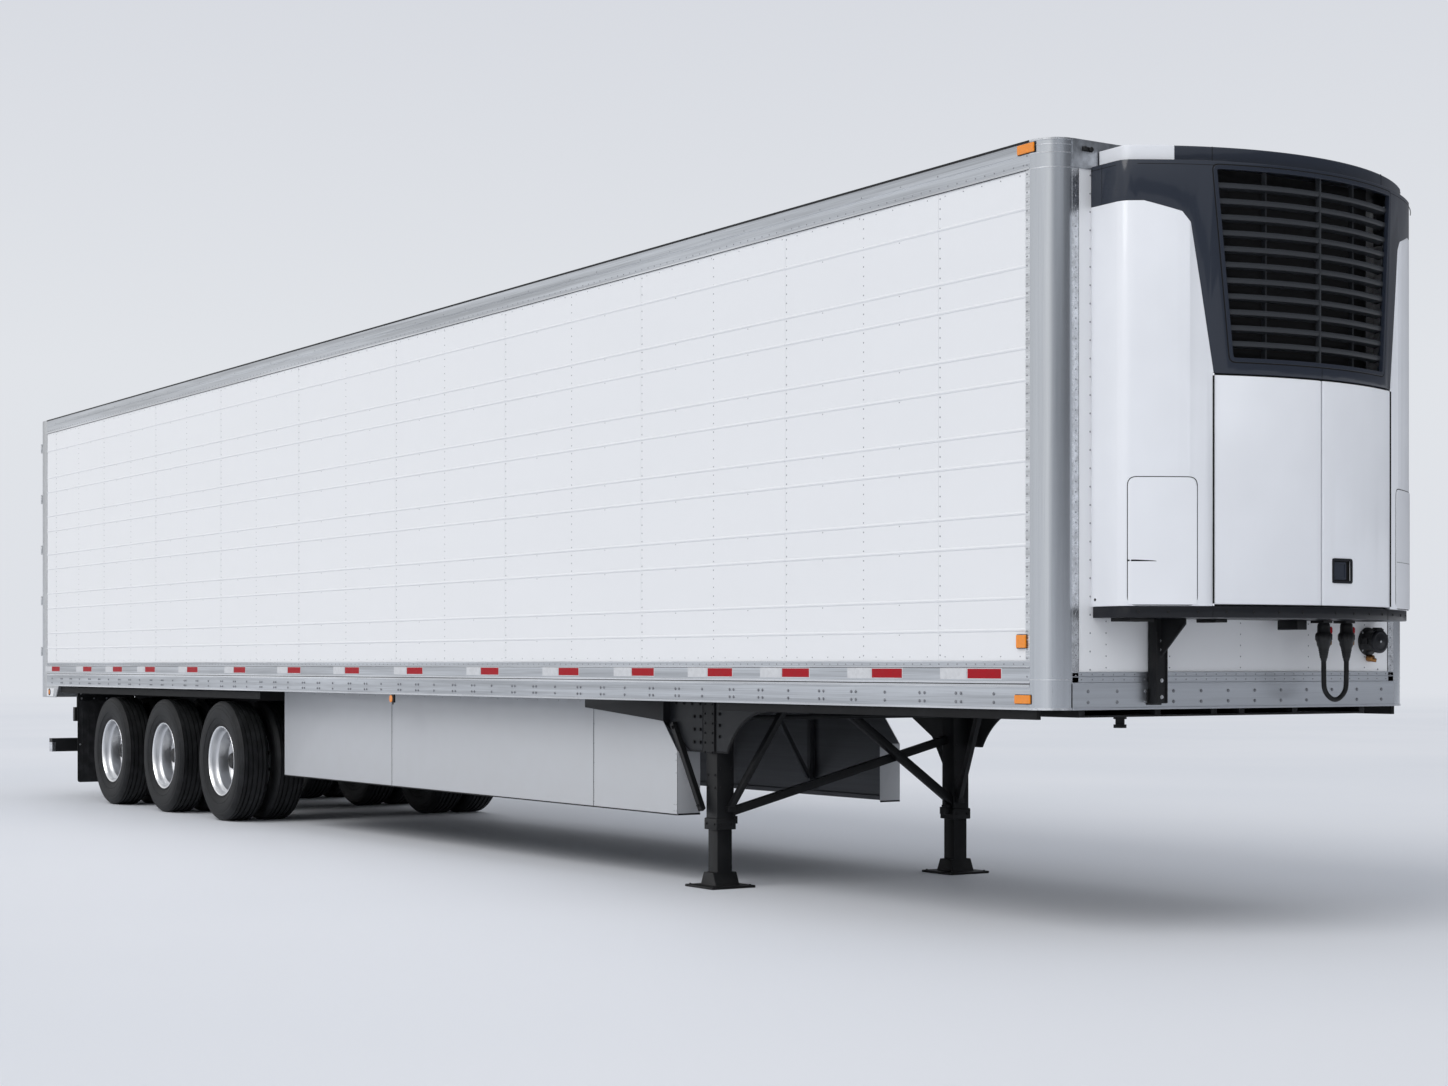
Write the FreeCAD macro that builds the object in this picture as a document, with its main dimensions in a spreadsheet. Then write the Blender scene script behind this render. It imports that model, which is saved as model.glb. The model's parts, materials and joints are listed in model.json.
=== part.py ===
"""Semi trailer with an insulated box, three twin-wheel axles and a refrigeration unit.

Millimetres. +X points forward, +Y to the trailer's left, +Z up. The origin is on the ground,
in the middle of the trailer's overall length and width.
"""
import FreeCAD, Part
import math
import os

import Sketcher
from FreeCAD import Placement, Rotation, Vector

# Driving sizes: name, value, what it is
SIZES = [
    ("body_length", 16150, "side sheet, from the rear frame to the front wall"),
    ("body_width", 2600, "over the rails"),
    ("body_height", 3980, "ground to the top rail"),
    ("tyre_clearance", 100, "top of the tyres to the bottom rail"),
    ("bottom_rail_height", 244, "bottom rail"),
    ("top_rail_height", 143, "top rail"),
    ("front_rail_height", 130, "bottom rail across the front wall"),
    ("rail_thickness", 6, "web of both rails"),
    ("rail_lip", 46, "foot of the bottom rail, under the crossmembers"),
    ("roof_lip", 100, "flange of the top rail, over the roof edge"),
    ("lip_thickness", 8, "flange of the top rail"),
    ("low_groove", 102, "rail groove above the rail's foot"),
    ("high_groove", 126, "second rail groove above the rail's foot"),
    ("top_groove", 70, "top rail groove above the rail's lower edge"),
    ("groove_width", 6, "rail grooves"),
    ("groove_depth", 2, "rail grooves"),
    ("wall_thickness", 60, "side wall"),
    ("front_wall_thickness", 110, "front wall"),
    ("roof_thickness", 67, "roof"),
    ("floor_thickness", 90, "floor with its air channels"),
    ("corner_radius", 145, "front corner posts"),
    ("beam_height", 114, "crossmembers"),
    ("beam_flange", 60, "crossmembers"),
    ("beam_plate", 7, "crossmember webs and flanges"),
    ("beam_gap", 5, "first and last crossmember clear of the corner posts"),
    ("beam_pitch", 306, "about this far between crossmembers"),
    ("corner_plate", 10, "plates below the rails at the rear corners"),
    ("corner_foot", 300, "rear corner plate along its foot"),
    ("corner_slant", 90, "rear corner plate's slanted front end, along the trailer"),
    ("rear_frame_depth", 150, "rear frame"),
    ("post_width", 100, "rear frame posts"),
    ("header_height", 130, "rear frame header"),
    ("sill_drop", 120, "rear sill below the bottom rail"),
    ("door_thickness", 90, "rear doors"),
    ("door_gap", 8, "rear door to its frame"),
    ("leaf_gap", 18, "between the two rear doors"),
    ("door_bevel", 22, "inner edges of the rear doors"),
    ("hinge_standoff", 60, "hinge pin behind the door's outer face"),
    ("knuckle_radius", 12, "rear door hinges"),
    ("pin_radius", 6, "rear door hinge pins"),
    ("strap_height", 70, "rear door hinge straps"),
    ("strap_reach", 300, "rear door hinge straps along the door"),
    ("strap_heel", 10, "hinge strap's end in front of its pin"),
    ("strap_bend", 14, "run of the hinge strap's bends"),
    ("strap_lift", 20, "hinge strap behind the frame"),
    ("strap_web", 16, "hinge strap where it passes the frame"),
    ("strap_ease", 8, "hinge strap's outer bend to each side of the door's edge"),
    ("strap_gap", 2, "hinge strap's inner bend from the door's edge"),
    ("ear_height", 12, "fixed hinge ears"),
    ("run_gap", 1.5, "between a strap and a fixed ear"),
    ("lock_rod_radius", 14, "rear door lock rods"),
    ("lock_rod_standoff", 24, "lock rod axis behind the door's face"),
    ("keeper_gap", 8, "lock rod to each keeper ear"),
    ("keeper_plate", 10, "keeper ears"),
    ("keeper_height", 80, "keeper ears"),
    ("keeper_edge", 30, "keeper ears from the door opening"),
    ("rod_inner", 180, "inner lock rod from the centreline"),
    ("rod_outer", 262, "outer lock rod from the door's outer edge"),
    ("rod_overrun", 100, "lock rods past the door opening"),
    ("rod_guard", 6, "rod brackets round the lock rods"),
    ("bracket_height", 60, "rod brackets"),
    ("bracket_edge", 74, "first and last rod bracket from the door's ends"),
    ("hinge_edge", 148, "first and last hinge from the door's ends"),
    ("hinge_base", 8, "hinge base plates"),
    ("ear_width", 20, "fixed hinge ears"),
    ("bore_gap", 0.4, "hinge pin to the strap's bore"),
    ("strap_plate", 8, "hinge straps on the door"),
    ("handle_gap", 90, "between the two handles of a door"),
    ("handle_rise", 260, "handles above the floor"),
    ("handle_height", 32, "handles"),
    ("handle_thickness", 12, "handles"),
    ("handle_rest", 40, "handle rests"),
    ("tyre_diameter", 1060, "tyres"),
    ("tyre_width", 280, "tyres"),
    ("bead_radius", 290, "tyre seat on the rim"),
    ("flange_radius", 310, "rim flange"),
    ("rim_width", 230, "rim over its flanges"),
    ("twin_spacing", 340, "centre of one twin tyre to the other"),
    ("tyre_inset", 15, "outer tyres inside the body's side"),
    ("hub_radius", 88, "hub and its cap"),
    ("hub_reach", 200, "hub cap outside the twin disc face"),
    ("drum_radius", 215, "brake drum"),
    ("drum_depth", 270, "brake drum"),
    ("drum_gap", 15, "brake drum to the axle tube's end"),
    ("disc_radius", 110, "bore of the rim's disc"),
    ("rim_plate", 12, "rim, its disc and the hub's flange"),
    ("rim_lip", 8, "rim flanges along the axle"),
    ("rim_round", 14, "rounding inside a rim's edge"),
    ("rim_ledge", 40, "rim's edge to the end of the tyre's seat"),
    ("rim_slope", 28, "slopes down to the rim's well, along the axle"),
    ("rim_well", 26, "rim's well below the tyre's seat"),
    ("rim_dish", 70, "edge of the rim's disc below the tyre's seat"),
    ("drum_wall", 22, "brake drum"),
    ("drum_step", 30, "brake drum's shoulder behind the wheel's middle"),
    ("hub_cap", 38, "hub cap along the axle"),
    ("hub_round", 14, "hub cap's rounded edge"),
    ("spindle_room", 2, "axle end to the hub cap"),
    ("bead_width", 15, "tyre's foot from the rim's edge"),
    ("bead_height", 22, "tyre's bead"),
    ("bead_lean", 4, "tyre's bead outwards"),
    ("spindle_radius", 36, "axle end in the hub"),
    ("spindle_gap", 0.5, "axle end to the hub's bore"),
    ("axle_radius", 63.5, "axle tube"),
    ("axle_setback", 2000, "last axle from the rear end of the side sheet"),
    ("axle_pitch", 1480, "between axles"),
    ("spring_gap", 75, "air springs to the inner tyres"),
    ("frame_rail_width", 90, "suspension rails"),
    ("frame_rail_height", 160, "suspension rails"),
    ("frame_plate", 10, "suspension rail webs and hangers"),
    ("hanger_lead", 560, "hanger pivot ahead of its axle"),
    ("hanger_rise", 70, "hanger pivot above the axle"),
    ("hanger_width", 110, "hangers"),
    ("hanger_nose", 60, "hanger round its pivot"),
    ("hanger_waist", 75, "hanger above its pivot, to each side"),
    ("hanger_head", 120, "hanger's head, to each side"),
    ("arm_width", 70, "trailing arms"),
    ("arm_eye", 45, "trailing arm round its pivot"),
    ("arm_saddle", 140, "trailing arm over the axle, to each side"),
    ("arm_crown", 105, "trailing arm above the axle"),
    ("arm_belly", 80, "trailing arm below the axle"),
    ("arm_tail", 100, "trailing arm past the air spring's middle"),
    ("slot_back", 130, "hanger's slot behind the pivot"),
    ("slot_ahead", 60, "hanger's slot ahead of the pivot"),
    ("arm_gap", 3, "trailing arm to each side of the hanger's slot"),
    ("pivot_radius", 20, "trailing arm pivots"),
    ("spring_lag", 380, "air spring behind its axle"),
    ("seat_rise", 70, "air spring's foot above the axle"),
    ("spring_radius", 130, "air springs"),
    ("spring_round", 20, "air spring's rounded ends"),
    ("spring_shoulder", 110, "air spring's widest part below the rail"),
    ("piston_radius", 90, "air spring's piston"),
    ("piston_height", 110, "air spring's piston"),
    ("chamber_radius", 80, "brake chambers"),
    ("chamber_length", 190, "brake chambers"),
    ("chamber_gap", 75, "brake chambers to the trailing arms"),
    ("chamber_plate", 12, "plates that carry the brake chambers"),
    ("chamber_width", 140, "plates that carry the brake chambers"),
    ("chamber_lead", 60, "brake chambers ahead of the axle"),
    ("frame_overhang", 250, "suspension rails past the last pivot and spring"),
    ("cross_beam", 100, "cross beams of the suspension frame"),
    ("leg_setback", 3535, "landing legs behind the front wall"),
    ("leg_inset", 367, "landing legs inside the body's side"),
    ("outer_tube", 126, "landing leg outer tube"),
    ("inner_tube", 108, "landing leg inner tube"),
    ("tube_low", 360, "ground to the outer tube"),
    ("tube_wall", 9, "landing leg outer tube"),
    ("collar_height", 70, "collar at the foot of the outer tube"),
    ("collar_proud", 9, "collar round the outer tube"),
    ("tube_room", 200, "solid head of the outer tube"),
    ("inner_room", 320, "inner tube below the leg rails"),
    ("pad_rise", 20, "wear pads above the foot of the outer tube"),
    ("pad_height", 40, "wear pads"),
    ("foot_size", 320, "landing foot plate"),
    ("foot_plate", 15, "landing foot plate"),
    ("foot_height", 95, "landing foot"),
    ("foot_base", 176, "flared base of the landing foot"),
    ("leg_rail_height", 66, "rails that carry the landing legs"),
    ("leg_rail_width", 120, "rails that carry the landing legs"),
    ("leg_rail_back", 1485, "leg rail behind the leg"),
    ("leg_rail_ahead", 850, "leg rail ahead of the leg"),
    ("wing_plate", 12, "landing leg wing plates"),
    ("wing_back", 560, "wing plate behind the leg"),
    ("wing_ahead", 640, "wing plate ahead of the leg"),
    ("wing_drop", 262, "wing plate below the leg rails"),
    ("wing_heel", 76, "wing plate's rear edge below the leg rails"),
    ("wing_knee", 230, "wing plate's slant ends this far behind the leg"),
    ("wing_toe", 135, "foot of the wing plate past the leg"),
    ("wing_foot", 93, "tapered beam past the wing plate's rear edge"),
    ("taper_length", 1010, "tapered beam behind the wing plate"),
    ("taper_high", 68, "tapered beam at its rear end"),
    ("taper_low", 140, "tapered beam at the wing plate"),
    ("taper_plate", 8, "tapered beam"),
    ("taper_flange", 50, "flange of the tapered beam"),
    ("taper_gap", 4, "tapered beam to the skirt"),
    ("brace_size", 36, "braces along the trailer"),
    ("cross_brace_size", 50, "braces across the trailer"),
    ("brace_fall", 620, "feet of the braces along the trailer below the leg rails"),
    ("brace_back", 403, "back brace's head behind the leg"),
    ("brace_ahead", 470, "front brace's head ahead of the leg"),
    ("brace_inward", 166, "front brace's head inward of the leg's middle"),
    ("head_rail_width", 80, "rail across, over the heads of the front braces"),
    ("brace_set_in", 25, "front brace's foot inward of the leg's middle"),
    ("brace_head", 86, "back brace's head below the leg rails"),
    ("cross_brace_low", 440, "ground to the feet of the braces across the trailer"),
    ("cross_brace_rise", 460, "long brace from leg to leg"),
    ("cross_brace_back", 30, "long brace behind the legs' middle"),
    ("cross_brace_ahead", 25, "short brace ahead of the legs' middle"),
    ("leg_cross_width", 120, "rail between the leg rails"),
    ("crank_radius", 16, "landing gear shaft and crank"),
    ("crank_drop", 46, "landing gear shaft below the leg rails"),
    ("crank_reach", 40, "landing gear shaft past the wing plate"),
    ("crank_arm", 285, "landing gear crank"),
    ("crank_handle", 90, "handle of the crank"),
    ("crank_plate", 14, "arm of the crank"),
    ("skirt_lag", 950, "skirts ahead of the front axle"),
    ("skirt_lead_right", 315, "right skirt's end behind the leg"),
    ("skirt_lead_left", 765, "left skirt's end behind the leg"),
    ("skirt_inset", 250, "skirts inside the body's side"),
    ("skirt_low", 435, "ground to the skirts"),
    ("skirt_thickness", 4, "skirt sheet"),
    ("skirt_return", 170, "skirt ends turned inwards"),
    ("skirt_corner", 306, "cut at the skirt's upper front corner, along the skirt"),
    ("skirt_corner_drop", 330, "cut at the skirt's upper front corner, down"),
    ("post_size", 40, "skirt posts"),
    ("post_rise", 40, "skirt posts above the skirt's foot"),
    ("stay_size", 30, "skirt stays"),
    ("stay_rise", 125, "skirt stays' feet above the skirt's foot"),
    ("stay_reach", 360, "skirt stays, inwards"),
    ("stay_gap", 8, "heads of the skirt stays' axes below the crossmembers"),
    ("stay_step", 4, "crossmembers from one skirt post to the next"),
    ("air_tank_radius", 120, "air reservoirs"),
    ("air_tank_length", 860, "air reservoirs"),
    ("air_tank_drop", 30, "air reservoirs below the crossmembers"),
    ("air_tank_lead", 816, "first air reservoir ahead of the suspension frame"),
    ("fuel_tank_radius", 260, "the unit's fuel tank"),
    ("fuel_tank_gap", 60, "fuel tank to the skirt posts' line"),
    ("fuel_tank_end_gap", 150, "fuel tank to the skirt stays at its ends"),
    ("fuel_tank_drop", 40, "fuel tank below the crossmembers"),
    ("tank_strap", 60, "tank straps along the trailer"),
    ("strap_depth", 80, "tank straps' height"),
    ("guard_low", 460, "ground to the rear bumper"),
    ("guard_height", 140, "rear bumper"),
    ("guard_depth", 100, "rear bumper, along the trailer"),
    ("guard_inset", 50, "rear bumper inside the body's side"),
    ("guard_track", 445, "bumper uprights from the centreline"),
    ("upright_width", 90, "bumper uprights"),
    ("upright_depth", 60, "bumper uprights"),
    ("tail_box_inset", 350, "tail boxes inside the body's side"),
    ("tail_box_low", 780, "ground to the tail boxes"),
    ("tail_box_height", 150, "tail boxes"),
    ("tail_box_width", 100, "tail boxes"),
    ("flap_lag", 590, "mud flaps behind the rear tyres"),
    ("flap_width", 600, "mud flaps"),
    ("flap_low", 170, "ground to the mud flaps"),
    ("flap_thickness", 10, "mud flaps"),
    ("flap_bar", 60, "bars that carry the mud flaps"),
    ("flap_bar_depth", 40, "bars that carry the mud flaps, along the trailer"),
    ("flap_foot", 12, "feet of the flap hangers"),
    ("coupler_length", 1700, "coupler plate"),
    ("coupler_width", 2060, "coupler plate"),
    ("coupler_depth", 46, "coupler plate with its ribs"),
    ("coupler_plate_thickness", 10, "coupler plate"),
    ("coupler_setback", 90, "coupler plate behind the front wall's face"),
    ("coupler_rib", 40, "ribs of the coupler plate"),
    ("coupler_keel", 100, "middle ribs from the centreline"),
    ("kingpin_setback", 914, "kingpin behind the front wall's face"),
    ("kingpin_radius", 25.4, "kingpin neck"),
    ("kingpin_collar", 36.5, "kingpin collar above the neck"),
    ("kingpin_flange", 35.7, "kingpin flange below the neck"),
    ("collar_length", 35, "kingpin collar"),
    ("neck_length", 30, "kingpin neck"),
    ("flange_length", 19, "kingpin flange"),
    ("unit_depth", 560, "refrigeration unit ahead of the front wall"),
    ("unit_width", 2060, "refrigeration unit"),
    ("unit_rise", 512, "unit's panels above the bottom rail"),
    ("unit_drop", 130, "shroud's top below the body's top"),
    ("unit_curve", 1750, "radius of the unit's front in plan"),
    ("unit_corner", 90, "radius of the unit's corners in plan"),
    ("panel_thickness", 30, "unit panels and doors"),
    ("unit_door_width", 635, "unit door from the middle to its outer seam"),
    ("unit_door_gap", 9, "round the unit doors"),
    ("barrel_gap", 0.3, "hinge barrel to the unit door it carries"),
    ("shroud_height", 1038, "shroud at the middle"),
    ("shroud_foot", 628, "half width of the shroud at its lower edge"),
    ("shroud_waist", 738, "half width of the shroud where it turns to the side"),
    ("shroud_ear", 38, "shroud's rounded turn to its band, across"),
    ("shroud_turn", 50, "shroud's rounded turn to its band, up"),
    ("shroud_band", 250, "shroud's band on the front"),
    ("shroud_side", 200, "shroud's band on the side"),
    ("grille_rise", 74, "grille opening above the shroud's lower edge"),
    ("grille_drop", 35, "grille opening below the shroud's top"),
    ("grille_foot", 532, "half width of the grille opening at its foot"),
    ("grille_top", 618, "half width of the grille opening at its top"),
    ("louvre_height", 26, "louvre bars"),
    ("louvre_count", 11, "louvre bars"),
    ("grille_inset", 14, "louvre bars behind the shroud's face"),
    ("mullion_width", 10, "uprights between the louvres"),
    ("mullion_pitch", 300, "between the uprights"),
    ("base_height", 56, "unit base"),
    ("base_inset", 12, "unit base inside the panels"),
    ("latch_near", 78, "door latch from the middle"),
    ("latch_width", 150, "door latch"),
    ("latch_rise", 126, "door latch above the door's foot"),
    ("latch_height", 117, "door latch"),
    ("latch_depth", 12, "door latch recess"),
    ("core_gap", 20, "what stands in the unit, from the front wall and the shroud's foot"),
    ("core_depth", 320, "condenser"),
    ("core_width", 1120, "condenser"),
    ("engine_depth", 340, "engine"),
    ("engine_width", 840, "engine"),
    ("engine_gap", 300, "engine below the shroud"),
    ("cap_height", 80, "unit top cap"),
    ("cap_inset", 45, "unit top cap inside the shroud"),
    ("connector_offset", 200, "power connectors ahead of the front wall"),
    ("connector_left", 570, "left power connector from the centreline"),
    ("connector_right", 400, "right power connector from the centreline"),
    ("connector_radius", 36, "power connectors"),
    ("connector_nose", 24, "power connectors where the cable leaves"),
    ("connector_neck", 55, "length of the connectors' noses"),
    ("connector_step", 30, "connectors' collars along them"),
    ("connector_swell", 5, "connectors' collars beyond their bodies"),
    ("connector_drop", 210, "power connectors below the unit's base"),
    ("cable_radius", 13, "power cable"),
    ("support_rise", 30, "unit support post above the rail's foot"),
    ("support_middle", 617, "unit support post from the centreline"),
    ("support_width", 75, "unit support post"),
    ("support_depth", 60, "unit support post"),
    ("gusset_plate", 13, "gusset of the support post"),
    ("gusset_height", 190, "gusset of the support post"),
    ("gusset_reach", 170, "gusset of the support post"),
    ("bracket_reach", 140, "small brackets under the unit"),
    ("socket_radius", 64, "round socket on the front wall"),
    ("socket_reach", 95, "round socket on the front wall"),
    ("socket_side", 955, "round socket from the centreline"),
    ("socket_drop", 106, "round socket below the unit's base"),
    ("fitting_radius", 24, "fitting below the round socket"),
    ("fitting_reach", 50, "fitting below the round socket"),
    ("fitting_drop", 95, "fitting below the round socket's middle"),
    ("lamp_proud", 12, "lamps outside the rails"),
    ("hanging_lamp", 70, "lamp hanging under each side"),
    ("top_lamp_inset", 210, "upper front lamp from the body's side"),
    ("top_lamp_width", 70, "upper front lamp"),
    ("top_lamp_height", 38, "upper front lamp"),
    ("top_lamp_drop", 22, "upper front lamp below the top"),
    ("hanging_lamp_back", 7550, "hanging lamp behind the front wall's face"),
    ("rear_lamp_depth", 10, "lamps on the rear frame"),
    ("tail_lamp_radius", 50, "tail lamps"),
    ("tail_lamp_inset", 200, "outer tail lamp from the body's side"),
    ("tail_lamp_pitch", 140, "between the tail lamps of one side"),
    ("tail_lamp_rise", 140, "tail lamps above the sill's foot"),
    ("header_lamp_rise", 40, "header lamps above the door opening"),
    ("header_lamp_height", 40, "header lamps"),
    ("header_lamp_width", 60, "header lamps"),
    ("header_lamp_pitch", 95, "between the middle header lamps"),
]


class Size:
    """A length with the formula that ties it to the sheet."""

    def __init__(self, formula, value):
        self.formula = formula
        self.value = value

    @staticmethod
    def of(other):
        return other if isinstance(other, Size) else Size(repr(float(other)), float(other))

    def __float__(self):
        return float(self.value)

    def __neg__(self):
        return Size("(-1 * " + self.formula + ")", -self.value)

    def __add__(self, other):
        other = Size.of(other)
        return Size("(" + self.formula + " + " + other.formula + ")", self.value + other.value)

    def __sub__(self, other):
        other = Size.of(other)
        return Size("(" + self.formula + " - " + other.formula + ")", self.value - other.value)

    def __mul__(self, other):
        other = Size.of(other)
        return Size("(" + self.formula + " * " + other.formula + ")", self.value * other.value)

    def __truediv__(self, other):
        other = Size.of(other)
        return Size("(" + self.formula + " / " + other.formula + ")", self.value / other.value)

    def __radd__(self, other):
        return Size.of(other) + self

    def __rsub__(self, other):
        return Size.of(other) - self

    def __rmul__(self, other):
        return Size.of(other) * self


doc = FreeCAD.newDocument("SemiTrailer")
sheet = doc.addObject("Spreadsheet::Sheet", "Sizes")
for row, (alias, value, meaning) in enumerate(SIZES, start=1):
    sheet.set("A{}".format(row), alias)
    sheet.set("B{}".format(row), str(value))
    sheet.set("C{}".format(row), meaning)
    sheet.setAlias("B{}".format(row), alias)
doc.recompute()


def size(alias):
    """One driving size of the sheet."""
    return Size("Sizes." + alias, float(sheet.get(alias)))


# ---------------------------------------------------------------- tools

PLANES = {"X": "YZ_Plane", "Y": "XZ_Plane", "Z": "XY_Plane"}
TURNS = {
    "X": Rotation(Vector(0, 1, 0), 90),
    "Y": Rotation(Vector(1, 0, 0), -90),
    "Z": Rotation(),
}
nodes = []


def bind(thing, prop, value):
    """Tie one property to the sheet."""
    thing.setExpression(prop, Size.of(value).formula)


def put(thing, x, y, z):
    """Tie a thing's place to the sheet."""
    for axis, value in zip("xyz", (x, y, z)):
        bind(thing, "Placement.Base." + axis, value)
    return thing


def box(name, x_span, y_span, z_span):
    """A block between two values on each axis."""
    thing = doc.addObject("Part::Box", name)
    for prop, (low, high) in zip(("Length", "Width", "Height"), (x_span, y_span, z_span)):
        bind(thing, prop, Size.of(high) - low)
    return put(thing, x_span[0], y_span[0], z_span[0])


def rod(name, axis, radius, start, length):
    """A round bar from a point, along +X, +Y or +Z."""
    thing = doc.addObject("Part::Cylinder", name)
    bind(thing, "Radius", radius)
    bind(thing, "Height", length)
    thing.Placement = Placement(Vector(), TURNS[axis])
    return put(thing, *start)


def fuse(name, things):
    """Several shapes as one; what does not touch stays apart."""
    thing = doc.addObject("Part::MultiFuse", name)
    thing.Shapes = things
    return thing


def cut(name, base, tools):
    """A shape less some others."""
    thing = doc.addObject("Part::Cut", name)
    thing.Base = base
    thing.Tool = tools[0] if len(tools) == 1 else fuse(name + "_tools", tools)
    return thing


def common(name, first, second):
    """What two shapes share."""
    thing = doc.addObject("Part::Common", name)
    thing.Base = first
    thing.Tool = second
    return thing


def mirrored(thing):
    """The same shape on the other side of the trailer."""
    other = doc.addObject("Part::Mirroring", thing.Name + "_mirror")
    other.Source = thing
    other.Normal = Vector(0, 1, 0)
    return other


def both(things):
    """Shapes of the left side, with their twins on the right."""
    return things + [mirrored(thing) for thing in things]


def node(label, thing):
    """Make a thing a sub-part with its own file."""
    thing.Label = label
    nodes.append(thing)
    return thing


def plane_of(body, role):
    """One of a body's own origin planes."""
    return next(part for part in body.Origin.OriginFeatures if part.Role == role)


def sketch_on(body, role):
    """An empty sketch on one of the body's origin planes."""
    sketch = body.newObject("Sketcher::SketchObject", body.Name + "_sketch")
    sketch.AttachmentSupport = [(plane_of(body, role), "")]
    sketch.MapMode = "FlatFace"
    return sketch


def draw_outline(sketch, outline):
    """A closed outline of straight lines, each corner tied to the sheet."""
    corners = [Vector(float(across), float(up), 0) for across, up in outline]
    count = len(corners)
    lines = [Part.LineSegment(corners[i], corners[(i + 1) % count]) for i in range(count)]
    sketch.addGeometry(lines, False)
    sketch.addConstraint(
        [Sketcher.Constraint("Coincident", i, 2, (i + 1) % count, 1) for i in range(count)]
    )
    for i, corner in enumerate(outline):
        for kind, on_axis, value in (("DistanceX", -2, corner[0]), ("DistanceY", -1, corner[1])):
            if abs(float(value)) < 1e-9:
                sketch.addConstraint(Sketcher.Constraint("PointOnObject", i, 1, on_axis))
                continue
            index = sketch.addConstraint(Sketcher.Constraint(kind, -1, 1, i, 1, float(value)))
            bind(sketch, "Constraints[{}]".format(index), value)


def prism(name, axis, outline, span):
    """An outline padded along one axis. It is drawn in (Y, Z), (X, Z) or (X, Y)."""
    body = doc.addObject("PartDesign::Body", name)
    sketch = sketch_on(body, PLANES[axis])
    draw_outline(sketch, outline)
    pad = body.newObject("PartDesign::Pad", name + "_pad")
    pad.Profile = sketch
    pad.Reversed = axis == "Y"
    bind(pad, "Length", Size.of(span[1]) - span[0])
    bind(body, "Placement.Base." + axis.lower(), span[0])
    sketch.Visibility = False
    return body


def turned(name, axis, outline, place):
    """An outline of (along the axis, radius) turned round an axis, Y or Z, through a place."""
    body = doc.addObject("PartDesign::Body", name)
    sketch = sketch_on(body, "YZ_Plane")
    draw_outline(sketch, outline if axis == "Y" else [(radius, up) for up, radius in outline])
    turn = body.newObject("PartDesign::Revolution", name + "_turn")
    turn.Profile = sketch
    turn.ReferenceAxis = (sketch, ["H_Axis" if axis == "Y" else "V_Axis"])
    turn.Angle = 360
    return put(body, *place)


def strut(name, start, end, width):
    """A square bar between two points, for braces that lie along no axis."""
    low = Vector(*(float(value) for value in start))
    high = Vector(*(float(value) for value in end))
    side = float(width)
    reach = high - low
    bar = Part.makeBox(side, side, reach.Length, Vector(-side / 2, -side / 2, 0))
    thing = doc.addObject("Part::Feature", name)
    thing.Shape = bar
    thing.Placement = Placement(low, Rotation(Vector(0, 0, 1), reach))
    return thing


# ---------------------------------------------------------------- shared places

half_width = size("body_width") / 2
rail_low = size("tyre_diameter") + size("tyre_clearance")
rail_web = size("rail_thickness")
body_top = size("body_height")
rear_reach = size("rear_frame_depth") + size("hinge_standoff") + size("knuckle_radius")
overall = rear_reach + size("body_length") + size("unit_depth")
rear_end = rear_reach - overall / 2
front_face = rear_end + size("body_length")
sheet_face = half_width - rail_web
wall_inside = sheet_face - size("wall_thickness")
post_start = front_face - size("corner_radius")
post_centre = half_width - size("corner_radius")
frame_low = rail_low + rail_web
floor_low = frame_low + size("beam_height")
floor_top = floor_low + size("floor_thickness")
roof_top = body_top - size("lip_thickness")
wall_front = front_face - size("front_wall_thickness")
top_rail_low = body_top - size("top_rail_height")
leg_x = front_face - size("leg_setback")
leg_y = half_width - size("leg_inset")
wheel_height = size("tyre_diameter") / 2
tyre_reach = size("twin_spacing") / 2 + size("tyre_width") / 2
wheel_y = half_width - size("tyre_inset") - tyre_reach
skirt_face = half_width - size("skirt_inset")
first_beam = rear_end + size("corner_radius") + size("beam_flange") / 2 + size("beam_gap")
beam_row = rear_end + front_face - 2 * first_beam
beam_bays = round(float(beam_row / size("beam_pitch")))
beam_step = beam_row / beam_bays


def beam_near(x, further=0):
    """Middle of the crossmember nearest to a place, or of one that many further ahead."""
    count = round(float((x - first_beam) / beam_step))
    return first_beam + (count + further) * beam_step


def around(middle, width):
    """A span of some width round a middle."""
    return (middle - width / 2, middle + width / 2)


def on_side(side, near, far):
    """A span across the trailer, on its left or right side."""
    return tuple(sorted([side * near, side * far], key=float))


# ---------------------------------------------------------------- insulated box

def grooved_web(low, grooves):
    """Outer face of a rail from its lower edge up, with its grooves: (across, up)."""
    bottom = half_width - size("groove_depth")
    outline = [(half_width, low)]
    for rise in grooves:
        start = low + rise
        end = start + size("groove_width")
        outline += [(half_width, start), (bottom, start), (bottom, end), (half_width, end)]
    return outline


def make_rails(front_top_rail):
    """Extruded rails of both sides, and the rails across the front wall."""
    lip = half_width - size("rail_lip")
    rail_top = rail_low + size("bottom_rail_height")
    outline = grooved_web(rail_low, (size("low_groove"), size("high_groove")))
    outline += [(half_width, rail_top), (sheet_face, rail_top), (sheet_face, frame_low)]
    outline += [(lip, frame_low), (lip, rail_low)]
    bottom_rail = prism("bottom_rail", "X", outline, (rear_end, post_start))
    ahead = (front_face, front_face + rail_web)
    up = (rail_low, rail_low + size("front_rail_height"))
    front_rail = box("front_rail", ahead, (-post_centre, post_centre), up)
    node("bottom_rails", fuse("bottom_rail_set", both([bottom_rail]) + [front_rail]))

    lip = half_width - size("roof_lip")
    outline = grooved_web(top_rail_low, (size("top_groove"),))
    outline += [(half_width, body_top), (lip, body_top), (lip, roof_top)]
    outline += [(sheet_face, roof_top), (sheet_face, top_rail_low)]
    top_rail = prism("top_rail", "X", outline, (rear_end, post_start))
    node("top_rails", fuse("top_rail_set", both([top_rail]) + [front_top_rail]))


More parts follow.
